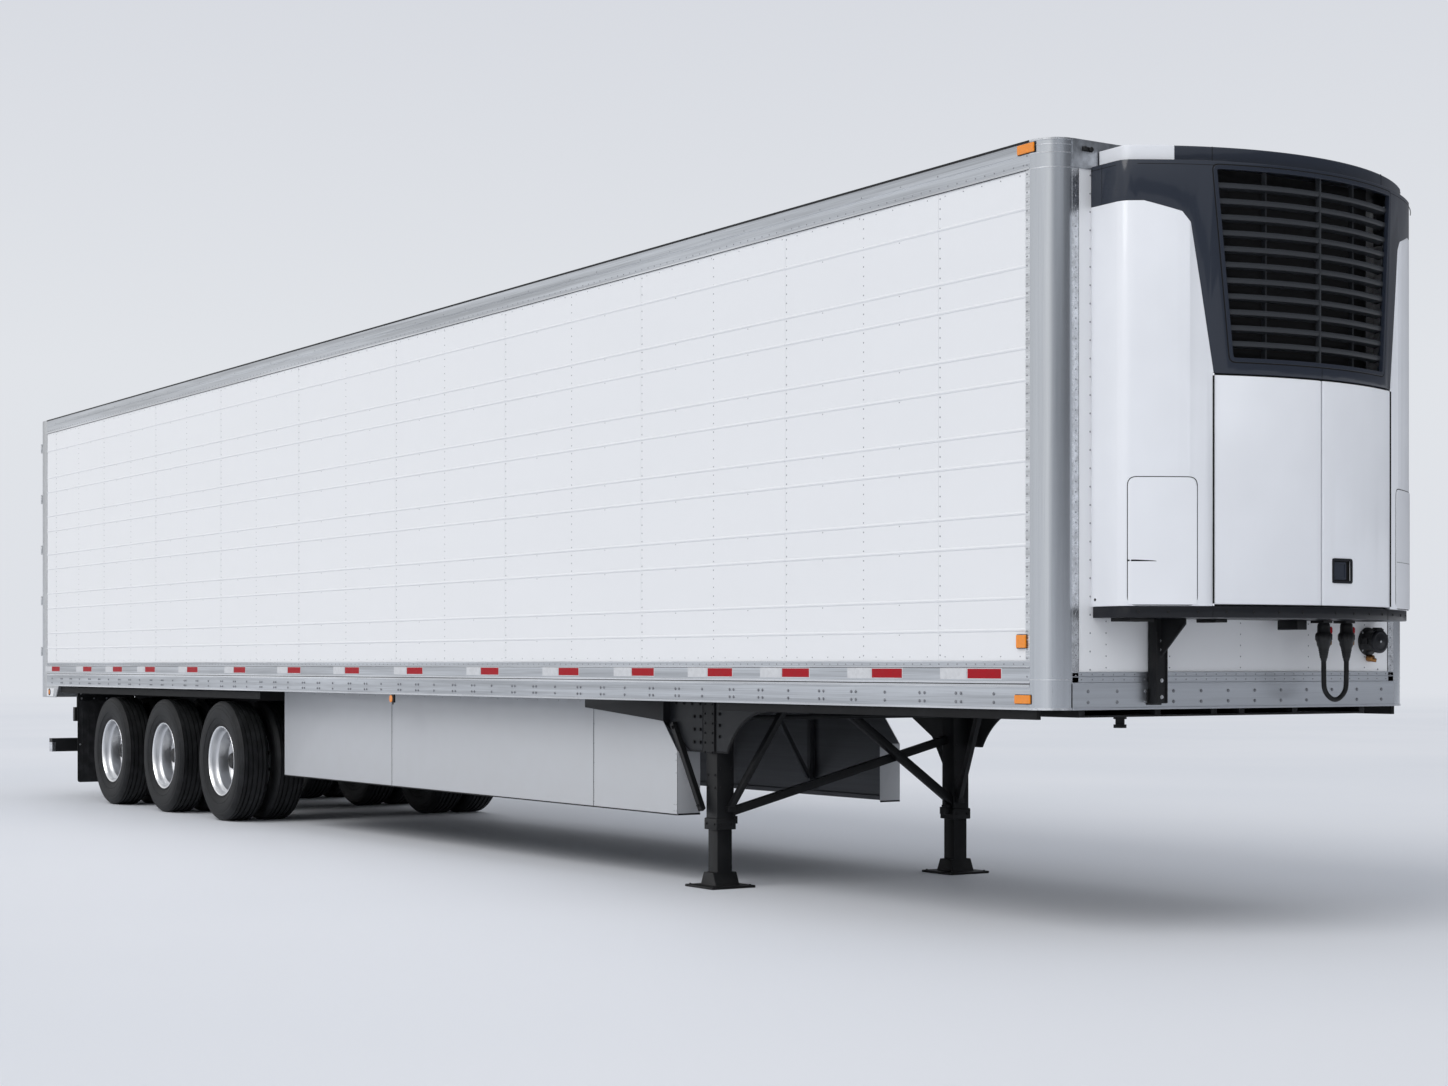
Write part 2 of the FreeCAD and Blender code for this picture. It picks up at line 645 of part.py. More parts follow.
def make_walls(posts):
    """Side walls, front wall, roof and floor, each as thick as the real one."""
    for label, side in (("side_wall_left", 1), ("side_wall_right", -1)):
        y_span = on_side(side, wall_inside, sheet_face)
        node(label, box(label, (rear_end, post_start), y_span, (floor_low, roof_top)))
    along = (rear_end, wall_front)
    inside = (-wall_inside, wall_inside)
    # the corner posts' inner corners stand in the roof and the floor
    roof = box("roof_slab", along, inside, (roof_top - size("roof_thickness"), roof_top))
    node("roof", cut("notched_roof", roof, posts))
    floor = box("floor_slab", along, inside, (floor_low, floor_top))
    node("floor_deck", cut("notched_floor", floor, posts))
    across = (-post_centre, post_centre)
    node("front_wall", box("front_wall", (wall_front, front_face), across, (frame_low, body_top)))


def make_corner_posts():
    """Quarter-round posts at the two front corners."""
    posts = []
    for side, turn in ((1, 0), (-1, -90)):
        post = doc.addObject("Part::Cylinder", "corner_post")
        bind(post, "Radius", size("corner_radius"))
        bind(post, "Height", body_top - rail_low)
        post.Angle = 90
        post.Placement = Placement(Vector(), Rotation(Vector(0, 0, 1), turn))
        posts.append(put(post, post_start, side * post_centre, rail_low))
    node("front_corner_posts", fuse("corner_post_pair", posts))
    return posts


def make_crossmembers():
    """I-beams from rail to rail, under the floor."""
    half_flange = size("beam_flange") / 2
    half_web = size("beam_plate") / 2
    low = frame_low + size("beam_plate")
    high = floor_low - size("beam_plate")
    right = [(half_flange, frame_low), (half_flange, low), (half_web, low)]
    right += [(half_web, high), (half_flange, high), (half_flange, floor_low)]
    outline = right + [(-across, up) for across, up in reversed(right)]
    beam = prism("crossmember", "Y", outline, (-sheet_face, sheet_face))
    bind(beam, "Placement.Base.x", first_beam)
    pattern = beam.newObject("PartDesign::LinearPattern", "crossmember_row")
    pattern.Originals = [beam.Tip]
    pattern.Direction = (plane_of(beam, "X_Axis"), [""])
    bind(pattern, "Length", beam_row)
    pattern.Occurrences = beam_bays + 1
    beam.Tip = pattern
    node("crossmembers", beam)


# ---------------------------------------------------------------- rear frame and doors

HINGES = 5
ROD_BRACKETS = 4

frame_back = rear_end - size("rear_frame_depth")
sill_low = rail_low - size("sill_drop")
post_inside = half_width - size("post_width")
header_low = body_top - size("header_height")
door_low = floor_top + size("door_gap")
door_high = header_low - size("door_gap")
door_side = post_inside - size("door_gap")
pin_x = frame_back - size("hinge_standoff")
pin_y = half_width - size("knuckle_radius")
rod_places = (size("rod_inner"), door_side - size("rod_outer"))


def up_the_door(count, edge):
    """Heights of some pieces spread evenly up the door, the first and last near its ends."""
    step = (door_high - door_low - 2 * edge) / (count - 1)
    return [door_low + edge + place * step for place in range(count)]


hinge_heights = up_the_door(HINGES, size("hinge_edge"))


def make_hinge(height):
    """Fixed half of one hinge: base plate, two ears and the pin."""
    half_strap = size("strap_height") / 2
    ear = size("ear_height")
    base_front = frame_back - size("hinge_base")
    inside = pin_y - size("post_width") + size("keeper_plate")
    pieces = [
        box("hinge_base", (base_front, frame_back), (inside, pin_y), around(height, 4 * half_strap))
    ]
    pin_low = height - half_strap - size("run_gap") - ear
    for low in (pin_low, height + half_strap + size("run_gap")):
        across = around(pin_y, size("ear_width"))
        pieces.append(box("hinge_ear", (pin_x, base_front), across, (low, low + ear)))
        pieces.append(rod("ear_knuckle", "Z", size("knuckle_radius"), (pin_x, pin_y, low), ear))
    pin_length = 2 * (height - pin_low)
    pieces.append(rod("hinge_pin", "Z", size("pin_radius"), (pin_x, pin_y, pin_low), pin_length))
    return pieces


def make_keepers(place):
    """Keeper ears on both sides of one lock rod, at the sill and the header."""
    clear = size("lock_rod_radius") + size("keeper_gap")
    reach = size("lock_rod_standoff") + size("lock_rod_radius")
    plate = size("keeper_plate")
    height = size("keeper_height")
    pieces = []
    for low in (floor_top - size("keeper_edge") - height, header_low + size("keeper_edge")):
        for middle in (place + clear + plate / 2, place - clear - plate / 2):
            across = around(middle, plate)
            up = (low, low + height)
            pieces.append(box("keeper_ear", (frame_back - reach, frame_back), across, up))
    return pieces


def make_rear_frame():
    """Posts, header and sill, with the hinge ears and the lock rod keepers welded on."""
    back = (frame_back, rear_end)
    across = (-half_width, half_width)
    pieces = [
        box("header", back, across, (header_low, body_top)),
        box("sill", back, across, (sill_low, floor_top)),
    ]
    foot = rear_end + size("corner_foot")
    slanted = [
        (rear_end, sill_low), (foot, sill_low), (foot + size("corner_slant"), rail_low),
        (rear_end, rail_low),
    ]
    left = [
        box("rear_post", back, (post_inside, half_width), (sill_low, body_top)),
        prism("corner_plate", "Y", slanted, (half_width - size("corner_plate"), half_width)),
    ]
    for height in hinge_heights:
        left += make_hinge(height)
    for place in rod_places:
        left += make_keepers(place)
    node("rear_frame", fuse("rear_frame_pieces", pieces + both(left)))


def make_rear_door(label, side):
    """One insulated leaf, its inner edges bevelled to seat in the frame."""
    near = side * (size("leaf_gap") / 2)
    far = side * door_side
    outline = [(near, door_low), (far, door_low), (far, door_high), (near, door_high)]
    span = (frame_back, frame_back + size("door_thickness"))
    body = prism(label + "_leaf", "X", outline, span)
    doc.recompute()
    inner = float(size("door_thickness"))
    edges = [
        "Edge{}".format(i)
        for i, edge in enumerate(body.Tip.Shape.Edges, start=1)
        if all(abs(vertex.Point.x - inner) < 0.01 for vertex in edge.Vertexes)
    ]
    bevel = body.newObject("PartDesign::Chamfer", label + "_bevel")
    bevel.Base = (body.Tip if body.Tip.Name != bevel.Name else bevel.BaseFeature, edges)
    bind(bevel, "Size", size("door_bevel"))
    body.Tip = bevel
    node(label, body)


def make_strap(side, height):
    """One hinge strap, cranked from its pin round the frame's corner onto the door."""
    reach = size("hinge_standoff")
    plate = reach - size("strap_plate")
    edge = pin_y - door_side
    tip = edge + size("strap_reach")
    heel = size("strap_heel")
    bend = size("strap_bend")
    lift = size("strap_lift")
    ease = size("strap_ease")
    # (inboard of the pin, ahead of the pin)
    corners = [
        (0, -heel), (bend, -heel), (3 * bend, lift), (edge - ease, lift), (edge + ease, plate),
        (tip, plate), (tip, reach), (edge + size("strap_gap"), reach),
        (edge - bend, lift + size("strap_web")), (0, lift + size("strap_web")),
    ]
    outline = [(pin_x + ahead, side * (pin_y - inboard)) for inboard, ahead in corners]
    tall = size("strap_height")
    span = around(height, tall)
    arm = prism("hinge_strap", "Z", outline, span)
    pin = (pin_x, side * pin_y, span[0])
    knuckle = rod("knuckle", "Z", size("knuckle_radius"), pin, tall)
    bore = rod("knuckle_bore", "Z", size("pin_radius") + size("bore_gap"), pin, tall)
    return cut("bored_strap", fuse("strap_with_knuckle", [arm, knuckle]), [bore])


def make_door_gear(label, side):
    """Hinge straps, lock rods with their brackets and handles, in the finish they share."""
    pieces = [make_strap(side, height) for height in hinge_heights]
    radius = size("lock_rod_radius")
    rod_x = frame_back - size("lock_rod_standoff")
    rod_low = floor_top - size("rod_overrun")
    rod_length = header_low + size("rod_overrun") - rod_low
    wide = 2 * (radius + size("rod_guard"))
    back = rod_x - radius - size("rod_guard") / 3
    handle_reach = (rod_places[1] - rod_places[0] - size("handle_gap")) / 2
    handle_z = floor_top + size("handle_rise")
    handle_span = (handle_z, handle_z + size("handle_height"))
    for place, way in zip(rod_places, (1, -1)):
        y = side * place
        pieces.append(rod("lock_rod", "Z", radius, (rod_x, y, rod_low), rod_length))
        for height in up_the_door(ROD_BRACKETS, size("bracket_edge")):
            up = around(height, size("bracket_height"))
            pieces.append(box("rod_bracket", (back, frame_back), around(y, wide), up))
        across = on_side(side, place, place + way * handle_reach)
        pieces.append(box("handle", around(rod_x, size("handle_thickness")), across, handle_span))
        rest = side * (place + way * (handle_reach - size("handle_rest")))
        up = around(handle_z + size("handle_height") / 2, size("bracket_height"))
        along = (rod_x - size("handle_thickness"), frame_back)
        pieces.append(box("handle_rest", along, around(rest, size("handle_rest")), up))
    node(label, fuse(label + "_pieces", pieces))


# ---------------------------------------------------------------- wheels and suspension

rear_axle = rear_end + size("axle_setback")
axle_places = [
    (name, rear_axle + count * size("axle_pitch"))
    for count, name in enumerate(("rear", "middle", "front"))
]
front_axle = axle_places[-1][1]
frame_y = wheel_y - tyre_reach - size("spring_gap") - size("spring_radius")
frame_rail_low = frame_low - size("frame_rail_height")
pivot_z = wheel_height + size("hanger_rise")
spring_foot = wheel_height + size("seat_rise")
suspension_rear = rear_axle - size("spring_lag") - size("frame_overhang")
suspension_front = front_axle + size("hanger_lead") + size("frame_overhang")


# corners of a tyre's section: (in from its side, out from its bead)
SIDEWALL = ((5, 50), (0, 85))
# (in from its side, in from its tread)
SHOULDER = ((0, 90), (8, 42), (24, 14), (52, 0))


def tyre_outline(centre):
    """Section of one tyre: (along the axle, radius)."""
    half = size("tyre_width") / 2
    bead = size("bead_radius")
    seat = size("rim_width") / 2 - size("bead_width")
    right = [(seat, bead), (seat + size("bead_lean"), bead + size("bead_height"))]
    right += [(half - inset, bead + rise) for inset, rise in SIDEWALL]
    right += [(half - inset, wheel_height - fall) for inset, fall in SHOULDER]
    left = [(-along, radius) for along, radius in reversed(right)]
    return [(centre + along, radius) for along, radius in right + left]


def rim_outline(turn):
    """Section of one deep rim, its disc on the face that its twin shares."""
    seat = size("bead_radius")
    flange = size("flange_radius")
    disc = size("disc_radius")
    plate = size("rim_plate")
    lip = size("rim_lip")
    turn_in = size("rim_round")
    ledge = size("rim_ledge")
    slope = size("rim_slope")
    well = seat - size("rim_well")
    dish = seat - size("rim_dish")
    low = size("twin_spacing") / 2 - size("rim_width") / 2
    high = low + size("rim_width")
    section = [
        (0, disc), (0, dish), (low - turn_in, seat - 2 * plate), (low, flange), (low + lip, flange),
        (low + lip, seat), (low + ledge, seat), (low + ledge + slope, well),
        (high - ledge - slope, well), (high - ledge, seat), (high - lip, seat),
        (high - lip, flange), (high, flange), (high, flange - plate),
        (high - turn_in, seat - plate), (high - ledge, seat - plate),
        (high - ledge - slope, well - plate), (low + ledge + slope, well - plate),
        (low + ledge - plate, seat - plate), (low + lip, well), (turn_in, dish - lip),
        (plate, dish - 2 * turn_in), (plate, disc),
    ]
    return [(turn * along, radius) for along, radius in section]


def hub_outline(turn):
    """Section of the hub, its cap and the brake drum."""
    bore = size("spindle_radius") + size("spindle_gap")
    depth = size("drum_depth")
    drum = size("drum_radius")
    reach = size("hub_reach")
    hub = size("hub_radius")
    disc = size("disc_radius")
    plate = size("rim_plate")
    wall = size("drum_wall")
    back = -size("drum_step")
    cap = reach - size("hub_cap")
    ease = size("hub_round")
    section = [
        (-depth, bore), (cap, bore), (cap, 0), (reach, 0), (reach, hub - size("hub_cap")),
        (reach - ease, hub - ease), (cap, hub), (plate, hub), (plate, disc), (-plate, disc),
        (-plate, drum - 2 * wall), (back, drum), (-depth, drum), (-depth, drum - wall),
        (back - wall, drum - wall), (back - ease, hub), (-depth, hub - plate),
    ]
    return [(turn * along, radius) for along, radius in section]


def make_wheel(label, x, side):
    """Two tyres in one node, and both rims with the hub and drum that carry them."""
    place = (x, side * wheel_y, wheel_height)
    offset = side * size("twin_spacing") / 2
    tyres = [
        turned("tyre", "Y", tyre_outline(offset), place),
        turned("inner_tyre", "Y", tyre_outline(-offset), place),
    ]
    node("tyres_" + label, fuse("tyre_pair", tyres))
    wheel = [
        turned("outer_rim", "Y", rim_outline(side), place),
        turned("inner_rim", "Y", rim_outline(-side), place),
        turned("hub", "Y", hub_outline(side), place),
    ]
    node("wheel_" + label, fuse("twin_wheel", wheel))


def make_axles():
    """Axle tubes with the stub ends that carry the hubs."""
    tube_end = wheel_y - size("drum_depth") - size("drum_gap")
    spindle_end = wheel_y + size("hub_reach") - size("hub_cap") - size("spindle_room")
    pieces = []
    for _, x in axle_places:
        for name, radius, end in (
            ("axle_tube", size("axle_radius"), tube_end),
            ("spindle", size("spindle_radius"), spindle_end),
        ):
            pieces.append(rod(name, "Y", radius, (x, -end, wheel_height), 2 * end))
    node("axles", fuse("axle_tubes", pieces))


def make_suspension_frame():
    """Two channel rails and their cross beams."""
    half_rail = size("frame_rail_width") / 2
    plate = size("frame_plate")
    outer = frame_y + half_rail
    inner = frame_y - half_rail
    channel = [
        (inner, frame_rail_low), (outer, frame_rail_low), (outer, frame_rail_low + plate),
        (inner + plate, frame_rail_low + plate), (inner + plate, frame_low - plate),
        (outer, frame_low - plate), (outer, frame_low), (inner, frame_low),
    ]
    pieces = both([prism("frame_channel", "X", channel, (suspension_rear, suspension_front))])
    up = (frame_rail_low + 2 * plate, frame_low - 2 * plate)
    cross_places = [x + size("hanger_lead") for _, x in axle_places] + [rear_axle - size("spring_lag")]
    for x in cross_places:
        pieces.append(box("cross_beam", around(x, size("cross_beam")), (-inner, inner), up))
    node("suspension_frame", fuse("suspension_frame_pieces", pieces))


def make_hanger(pivot_x):
    """Forked hanger below a rail, with the pin of its trailing arm."""
    wide = size("hanger_width")
    nose = size("hanger_nose")
    waist = size("hanger_waist")
    head = size("hanger_head")
    outline = [
        (pivot_x - nose, pivot_z - nose), (pivot_x + nose, pivot_z - nose),
        (pivot_x + waist, pivot_z + nose), (pivot_x + head, frame_rail_low),
        (pivot_x - head, frame_rail_low), (pivot_x - waist, pivot_z + head),
    ]
    block = prism("hanger", "Y", outline, around(frame_y, wide))
    slot_up = (pivot_z - waist, frame_rail_low - nose)
    slot_along = (pivot_x - size("slot_back"), pivot_x + size("slot_ahead"))
    slot_across = around(frame_y, size("arm_width") + 2 * size("arm_gap"))
    slot = box("hanger_slot", slot_along, slot_across, slot_up)
    pin_length = wide + size("pivot_radius")
    start = (pivot_x, frame_y - pin_length / 2, pivot_z)
    pin = rod("pivot_pin", "Y", size("pivot_radius"), start, pin_length)
    return fuse("hanger_with_pin", [cut("hanger_fork", block, [slot]), pin])


def make_arm(x, pivot_x, spring_x):
    """Trailing arm from its pivot over the axle to the air spring's foot."""
    wide = size("arm_width")
    eye = size("arm_eye")
    saddle = size("arm_saddle")
    crown = wheel_height + size("arm_crown")
    belly = wheel_height - size("arm_belly")
    tail = spring_x - size("arm_tail")
    outline = [
        (pivot_x - eye, pivot_z - eye), (pivot_x + eye, pivot_z - eye), (pivot_x + eye, pivot_z + eye),
        (pivot_x - eye, pivot_z + eye), (x + saddle, crown), (x - saddle, crown),
        (x - saddle - eye, spring_foot), (tail, spring_foot), (tail, spring_foot - eye),
        (x - saddle, belly), (x + saddle, belly),
    ]
    arm = prism("arm", "Y", outline, around(frame_y, wide))
    start = frame_y - wide / 2
    seat = rod("axle_seat", "Y", size("axle_radius"), (x, start, wheel_height), wide)
    bore = rod("pin_seat", "Y", size("pivot_radius"), (pivot_x, start, pivot_z), wide)
    return cut("bored_arm", arm, [seat, bore])


def make_spring(spring_x):
    """Air spring with its piston, between the arm's end and the rail."""
    bulge = size("spring_radius")
    piston = size("piston_radius")
    neck = bulge - size("spring_round")
    roll = spring_foot + size("piston_height")
    shoulder = size("spring_shoulder")
    bellows = [
        (spring_foot, 0), (spring_foot, piston), (roll, piston), (roll + size("spring_round"), bulge),
        (frame_rail_low - shoulder, bulge), (frame_rail_low - size("spring_round"), neck),
        (frame_rail_low, neck), (frame_rail_low, 0),
    ]
    return turned("air_spring", "Z", bellows, (spring_x, frame_y, 0))


def make_chamber(x):
    """Brake chamber lying on a plate of the axle tube."""
    radius = size("chamber_radius")
    y = frame_y - size("arm_width") / 2 - size("chamber_gap") - radius
    low = wheel_height + size("axle_radius")
    top = low + size("chamber_plate")
    wide = size("chamber_width")
    along = (x - size("chamber_lead"), x + wide)
    plate = box("chamber_plate", along, around(y, wide), (low, top))
    # the chamber is let into its plate by half the plate's thickness
    middle = top + radius - size("chamber_plate") / 2
    start = (x + size("chamber_lead"), y, middle)
    drum = rod("chamber", "X", radius, start, size("chamber_length"))
    return fuse("chamber_on_plate", [plate, drum])


def make_suspension():
    """Sub-frame, hangers, trailing arms, air springs and brake chambers."""
    make_suspension_frame()
    hangers, arms, springs, chambers = [], [], [], []
    for _, x in axle_places:
        pivot_x = x + size("hanger_lead")
        spring_x = x - size("spring_lag")
        hangers.append(make_hanger(pivot_x))
        arms.append(make_arm(x, pivot_x, spring_x))
        springs.append(make_spring(spring_x))
        chambers.append(make_chamber(x))
    node("suspension_hangers", fuse("hanger_set", both(hangers)))
    node("trailing_arms", fuse("arm_set", both(arms)))
    node("air_springs", fuse("air_spring_set", both(springs)))
    node("brake_chambers", fuse("chamber_set", both(chambers)))


# ---------------------------------------------------------------- landing gear

leg_rail_low = frame_low - size("leg_rail_height")
half_tube = size("outer_tube") / 2
wing_face = leg_y + half_tube
wing_out = wing_face + size("wing_plate")


def leg_square(name, width, z_span):
    """A square block on a landing leg's own axis."""
    return box(name, around(leg_x, width), around(leg_y, width), z_span)


def make_legs():
    """Outer tubes with their collars, and the inner tubes with their feet. It stands on them."""
    low = size("tube_low")
    inside = size("outer_tube") - 2 * size("tube_wall")
    collar = size("outer_tube") + 2 * size("collar_proud")
    blank = fuse(
        "leg_tube_blank",
        [
            leg_square("leg_tube", size("outer_tube"), (low, leg_rail_low)),
            leg_square("leg_collar", collar, (low, low + size("collar_height"))),
        ],
    )
    bore = leg_square("leg_bore", inside, (low, leg_rail_low - size("tube_room")))
    tube = cut("leg_outer_tube", blank, [bore])
    node("landing_leg_tubes", fuse("leg_tube_pair", both([tube])))

    sole = size("foot_plate")
    top = size("foot_height")
    half_base = size("foot_base") / 2
    half_inner = size("inner_tube") / 2
    corners = [
        (leg_x - half_base, sole), (leg_x + half_base, sole), (leg_x + half_inner, top),
        (leg_x - half_inner, top),
    ]
    pad_low = low + size("pad_rise")
    foot = [
        leg_square("leg_inner_tube", size("inner_tube"), (top, leg_rail_low - size("inner_room"))),
        leg_square("foot_sole", size("foot_size"), (0, sole)),
        prism("foot_flare", "Y", corners, around(leg_y, size("foot_base"))),
        # the inner tube slides in the outer one on wear pads at its four sides
        leg_square("leg_pads", inside, (pad_low, pad_low + size("pad_height"))),
    ]
    node("landing_leg_feet", fuse("leg_foot_pair", both([fuse("leg_foot", foot)])))
    return blank


def make_wing(x_back, x_ahead):
    """Wing plate outside a leg: slanted behind it, scooped ahead of it."""
    drop = size("wing_drop")
    low = leg_rail_low - drop
    outline = [
        (x_back, frame_low), (x_back, leg_rail_low - size("wing_heel")),
        (leg_x - size("wing_knee"), low), (x_ahead, low), (x_ahead, frame_low),
    ]
    plate = prism("wing", "Y", outline, (wing_face, wing_out))
    run = size("wing_ahead") - half_tube - size("wing_toe")
    radius = (run * run + drop * drop) / (2 * drop)
    centre = (x_ahead, wing_face, leg_rail_low - radius)
    return cut("scooped_wing", plate, [rod("wing_scoop", "Y", radius, centre, size("wing_plate"))])


def make_taper():
    """Beam outside the skirt, from under the body to the wing plate, lower at the plate."""
    near = skirt_face + size("taper_gap")
    far = near + size("taper_plate")
    x_ahead = leg_x - size("wing_back") + size("wing_foot")
    x_back = x_ahead - size("taper_length")
    outline = [
        (x_back, frame_low), (x_back, frame_low - size("taper_high")),
        (x_ahead, frame_low - size("taper_low")), (x_ahead, frame_low),
    ]
    top = (frame_low - size("taper_plate"), frame_low)
    end = (x_ahead - size("taper_plate"), x_ahead)
    return fuse(
        "taper_beam",
        [
            prism("taper_web", "Y", outline, (near, far)),
            box("taper_flange", (x_back, x_ahead), (near, far + size("taper_flange")), top),
            box("taper_end", end, (wing_out, far), (frame_low - size("taper_low"), frame_low)),
        ],
    )


def make_landing_gear():
    """Two telescopic legs with their rails, wing plates, braces and crank."""
    blank = make_legs()
    half_rail = size("leg_rail_width") / 2
    inner_face = leg_y - half_rail
    rail_span = (leg_rail_low, frame_low)
    along = (leg_x - size("leg_rail_back"), leg_x + size("leg_rail_ahead"))
    cross_along = around(leg_x + size("crank_radius"), size("leg_cross_width"))
    cross = box("leg_cross_rail", cross_along, (-inner_face, inner_face), rail_span)
    rail = box("leg_rail", along, (inner_face, leg_y + half_rail), rail_span)
    wing = make_wing(leg_x - size("wing_back"), leg_x + size("wing_ahead"))
    head_x = leg_x + size("brace_ahead")
    head_along = around(head_x, size("head_rail_width"))
    head_rail = box("head_rail", head_along, (-inner_face, inner_face), rail_span)
    plates = fuse("leg_plate_set", both([rail, wing, make_taper()]) + [cross, head_rail])

    radius = size("crank_radius")
    shaft_x = leg_x + half_tube + radius
    shaft_z = leg_rail_low - size("crank_drop")
    shaft_end = wing_out + size("crank_reach")
    shaft = rod("gear_shaft", "Y", radius, (shaft_x, -wing_face, shaft_z), wing_face + shaft_end)
    # the crank is folded back along the wing plate
    arm_back = shaft_x - size("crank_arm") - radius
    arm_span = (shaft_end - size("crank_plate"), shaft_end)
    arm_along = (arm_back, shaft_x + radius)
    grip_place = (arm_back + radius, shaft_end, shaft_z)
    crank = [
        shaft,
        box("crank_arm", arm_along, arm_span, around(shaft_z, 2 * radius)),
        rod("crank_grip", "Y", radius, grip_place, size("crank_handle")),
    ]
    node("landing_gear_crank", fuse("crank_pieces", crank))
    node("landing_gear_plates", cut("bored_plates", plates, [shaft]))

    thick = size("brace_size")
    low = leg_rail_low - size("brace_fall")
    outside = wing_out + thick / 2
    back_head = (leg_x - size("brace_back"), outside, leg_rail_low - size("brace_head"))
    back = strut("back_brace", (leg_x - half_tube, outside, low), back_head, thick)
    # the front braces lean inwards to the underside of their own rail
    front_foot = (leg_x + half_tube, leg_y - size("brace_set_in"), low)
    front_head = (head_x, leg_y - size("brace_inward"), leg_rail_low + thick / 2)
    front = strut("front_brace", front_foot, front_head, thick)
    # the braces across run past each other, and end at the tubes and the cross rail
    wide = size("cross_brace_size")
    foot = size("cross_brace_low")
    long_x = leg_x - size("cross_brace_back")
    short_x = leg_x + size("cross_brace_ahead")
    long_head = (long_x, leg_y, foot + size("cross_brace_rise"))
    across = [
        strut("long_brace", (long_x, -leg_y, foot), long_head, wide),
        strut("short_brace", (short_x, 0, leg_rail_low), (short_x, leg_y, foot), wide),
    ]
    ends = both([blank]) + [cross, head_rail]
    coped = cut("coped_braces", fuse("leaning_braces", across + both([front])), ends)
    node("landing_gear_braces", fuse("brace_set", both([back]) + [coped]))


# ---------------------------------------------------------------- skirts and what hangs below

skirt_start = front_axle + size("skirt_lag")
skirt_low = size("skirt_low")
skirt_back = skirt_face - size("skirt_thickness")
skirt_post_back = skirt_back - size("post_size")
stay_pitch = size("stay_step") * beam_step
first_stay = beam_near(skirt_start + beam_step / 2)


def make_skirt(label, side, end):
    """One side skirt with its turned-in front end."""
    corner_low = frame_low - size("skirt_corner_drop")
    outline = [
        (skirt_start, skirt_low), (end, skirt_low), (end, corner_low),
        (end - size("skirt_corner"), frame_low), (skirt_start, frame_low),
    ]
    panel = prism(label + "_panel", "Y", outline, on_side(side, skirt_back, skirt_face))
    across = on_side(side, skirt_face - size("skirt_return"), skirt_back)
    along = (end - size("skirt_thickness"), end)
    flap = box(label + "_return", along, across, (skirt_low, corner_low))
    return fuse(label, [panel, flap])


def make_skirts():
    """Both skirts, and the posts and stays that hold them."""
    right_end = leg_x - size("skirt_lead_right")
    left_end = leg_x - size("skirt_lead_left")
    skirts = [make_skirt("left_skirt", 1, left_end), make_skirt("right_skirt", -1, right_end)]
    node("side_skirts", fuse("skirt_pair", skirts))
    room = left_end - size("skirt_corner") - first_stay
    stays = []
    for count in range(1 + math.floor(float(room / stay_pitch))):
        x = first_stay + count * stay_pitch
        post_up = (skirt_low + size("post_rise"), frame_low)
        across = (skirt_post_back, skirt_back)
        stays.append(box("skirt_post", around(x, size("post_size")), across, post_up))
        foot = (x, skirt_post_back, skirt_low + size("stay_rise"))
        head = (x, skirt_post_back - size("stay_reach"), frame_low - size("stay_gap"))
        stays.append(strut("skirt_stay", foot, head, size("stay_size")))
    node("skirt_posts", fuse("skirt_post_set", both(stays)))


def make_tanks():
    """Air reservoirs and the unit's fuel tank, each on straps below the crossmembers."""
    radius = size("air_tank_radius")
    length = size("air_tank_length")
    strap = size("tank_strap")
    deep = frame_low - size("strap_depth")
    z = frame_low - size("air_tank_drop") - radius
    pieces = []
    for further in (0, 1):
        x = beam_near(suspension_front + size("air_tank_lead"), further)
        pieces.append(rod("air_tank", "Y", radius, (x, -length / 2, z), length))
        for y in (-length / 3, length / 3):
            pieces.append(box("tank_strap", around(x, strap), around(y, strap), (deep, frame_low)))
    node("air_tanks", fuse("air_tank_set", pieces))

    radius = size("fuel_tank_radius")
    y = size("fuel_tank_gap") + radius - skirt_face
    z = frame_low - size("fuel_tank_drop") - radius
    start = first_stay + stay_pitch + size("fuel_tank_end_gap")
    length = stay_pitch - 2 * size("fuel_tank_end_gap")
    pieces = [rod("fuel_drum", "X", radius, (start, y, z), length)]
    for place in (start + length / 5, start + length * 4 / 5):
        x = beam_near(place)
        pieces.append(box("fuel_strap", around(x, strap), around(y, 2 * strap), (deep, frame_low)))
    node("fuel_tank", fuse("fuel_tank_pieces", pieces))


def make_rear_guard():
    """Underride bumper and small boxes below the sill, and mud flaps behind the last wheels."""
    bar_up = (size("guard_low"), size("guard_low") + size("guard_height"))
    bar_end = half_width - size("guard_inset")
    front = rear_end - size("upright_depth") / 2
    bar = box("guard_bar", around(front, size("guard_depth")), (-bar_end, bar_end), bar_up)
    along = around(front, size("upright_depth"))
    across = around(size("guard_track"), size("upright_width"))
    upright = box("guard_upright", along, across, (bar_up[1], sill_low))
    box_y = half_width - size("tail_box_inset")
    box_top = size("tail_box_low") + size("tail_box_height")
    across = around(box_y, size("tail_box_width"))
    tail_box = box("tail_box", along, across, (size("tail_box_low"), box_top))
    thin = around(front, size("frame_plate"))
    hanger = box("tail_box_hanger", thin, around(box_y, size("post_size")), (box_top, sill_low))
    node("rear_bumper", fuse("rear_guard", [bar] + both([upright, tail_box, hanger])))

    x = rear_axle - wheel_height - size("flap_lag")
    front = x + size("flap_thickness") / 2
    flap_top = frame_low - size("flap_foot")
    near = wheel_y - tyre_reach - size("tyre_inset")
    far = near + size("flap_width")
    flap = box("flap", around(x, size("flap_thickness")), (near, far), (size("flap_low"), flap_top))
    node("mud_flaps", fuse("flap_pair", both([flap])))
    along = (front, front + size("flap_bar_depth"))
    foot_along = tuple(sorted([beam_near(x), front + size("flap_bar_depth")], key=float))
    hangers = [
        box("flap_bar", along, (near, far), (flap_top - size("flap_bar"), flap_top)),
        box("flap_foot", foot_along, (near, far), (flap_top, frame_low)),
    ]
    node("mud_flap_hangers", fuse("flap_hanger_pair", both(hangers)))


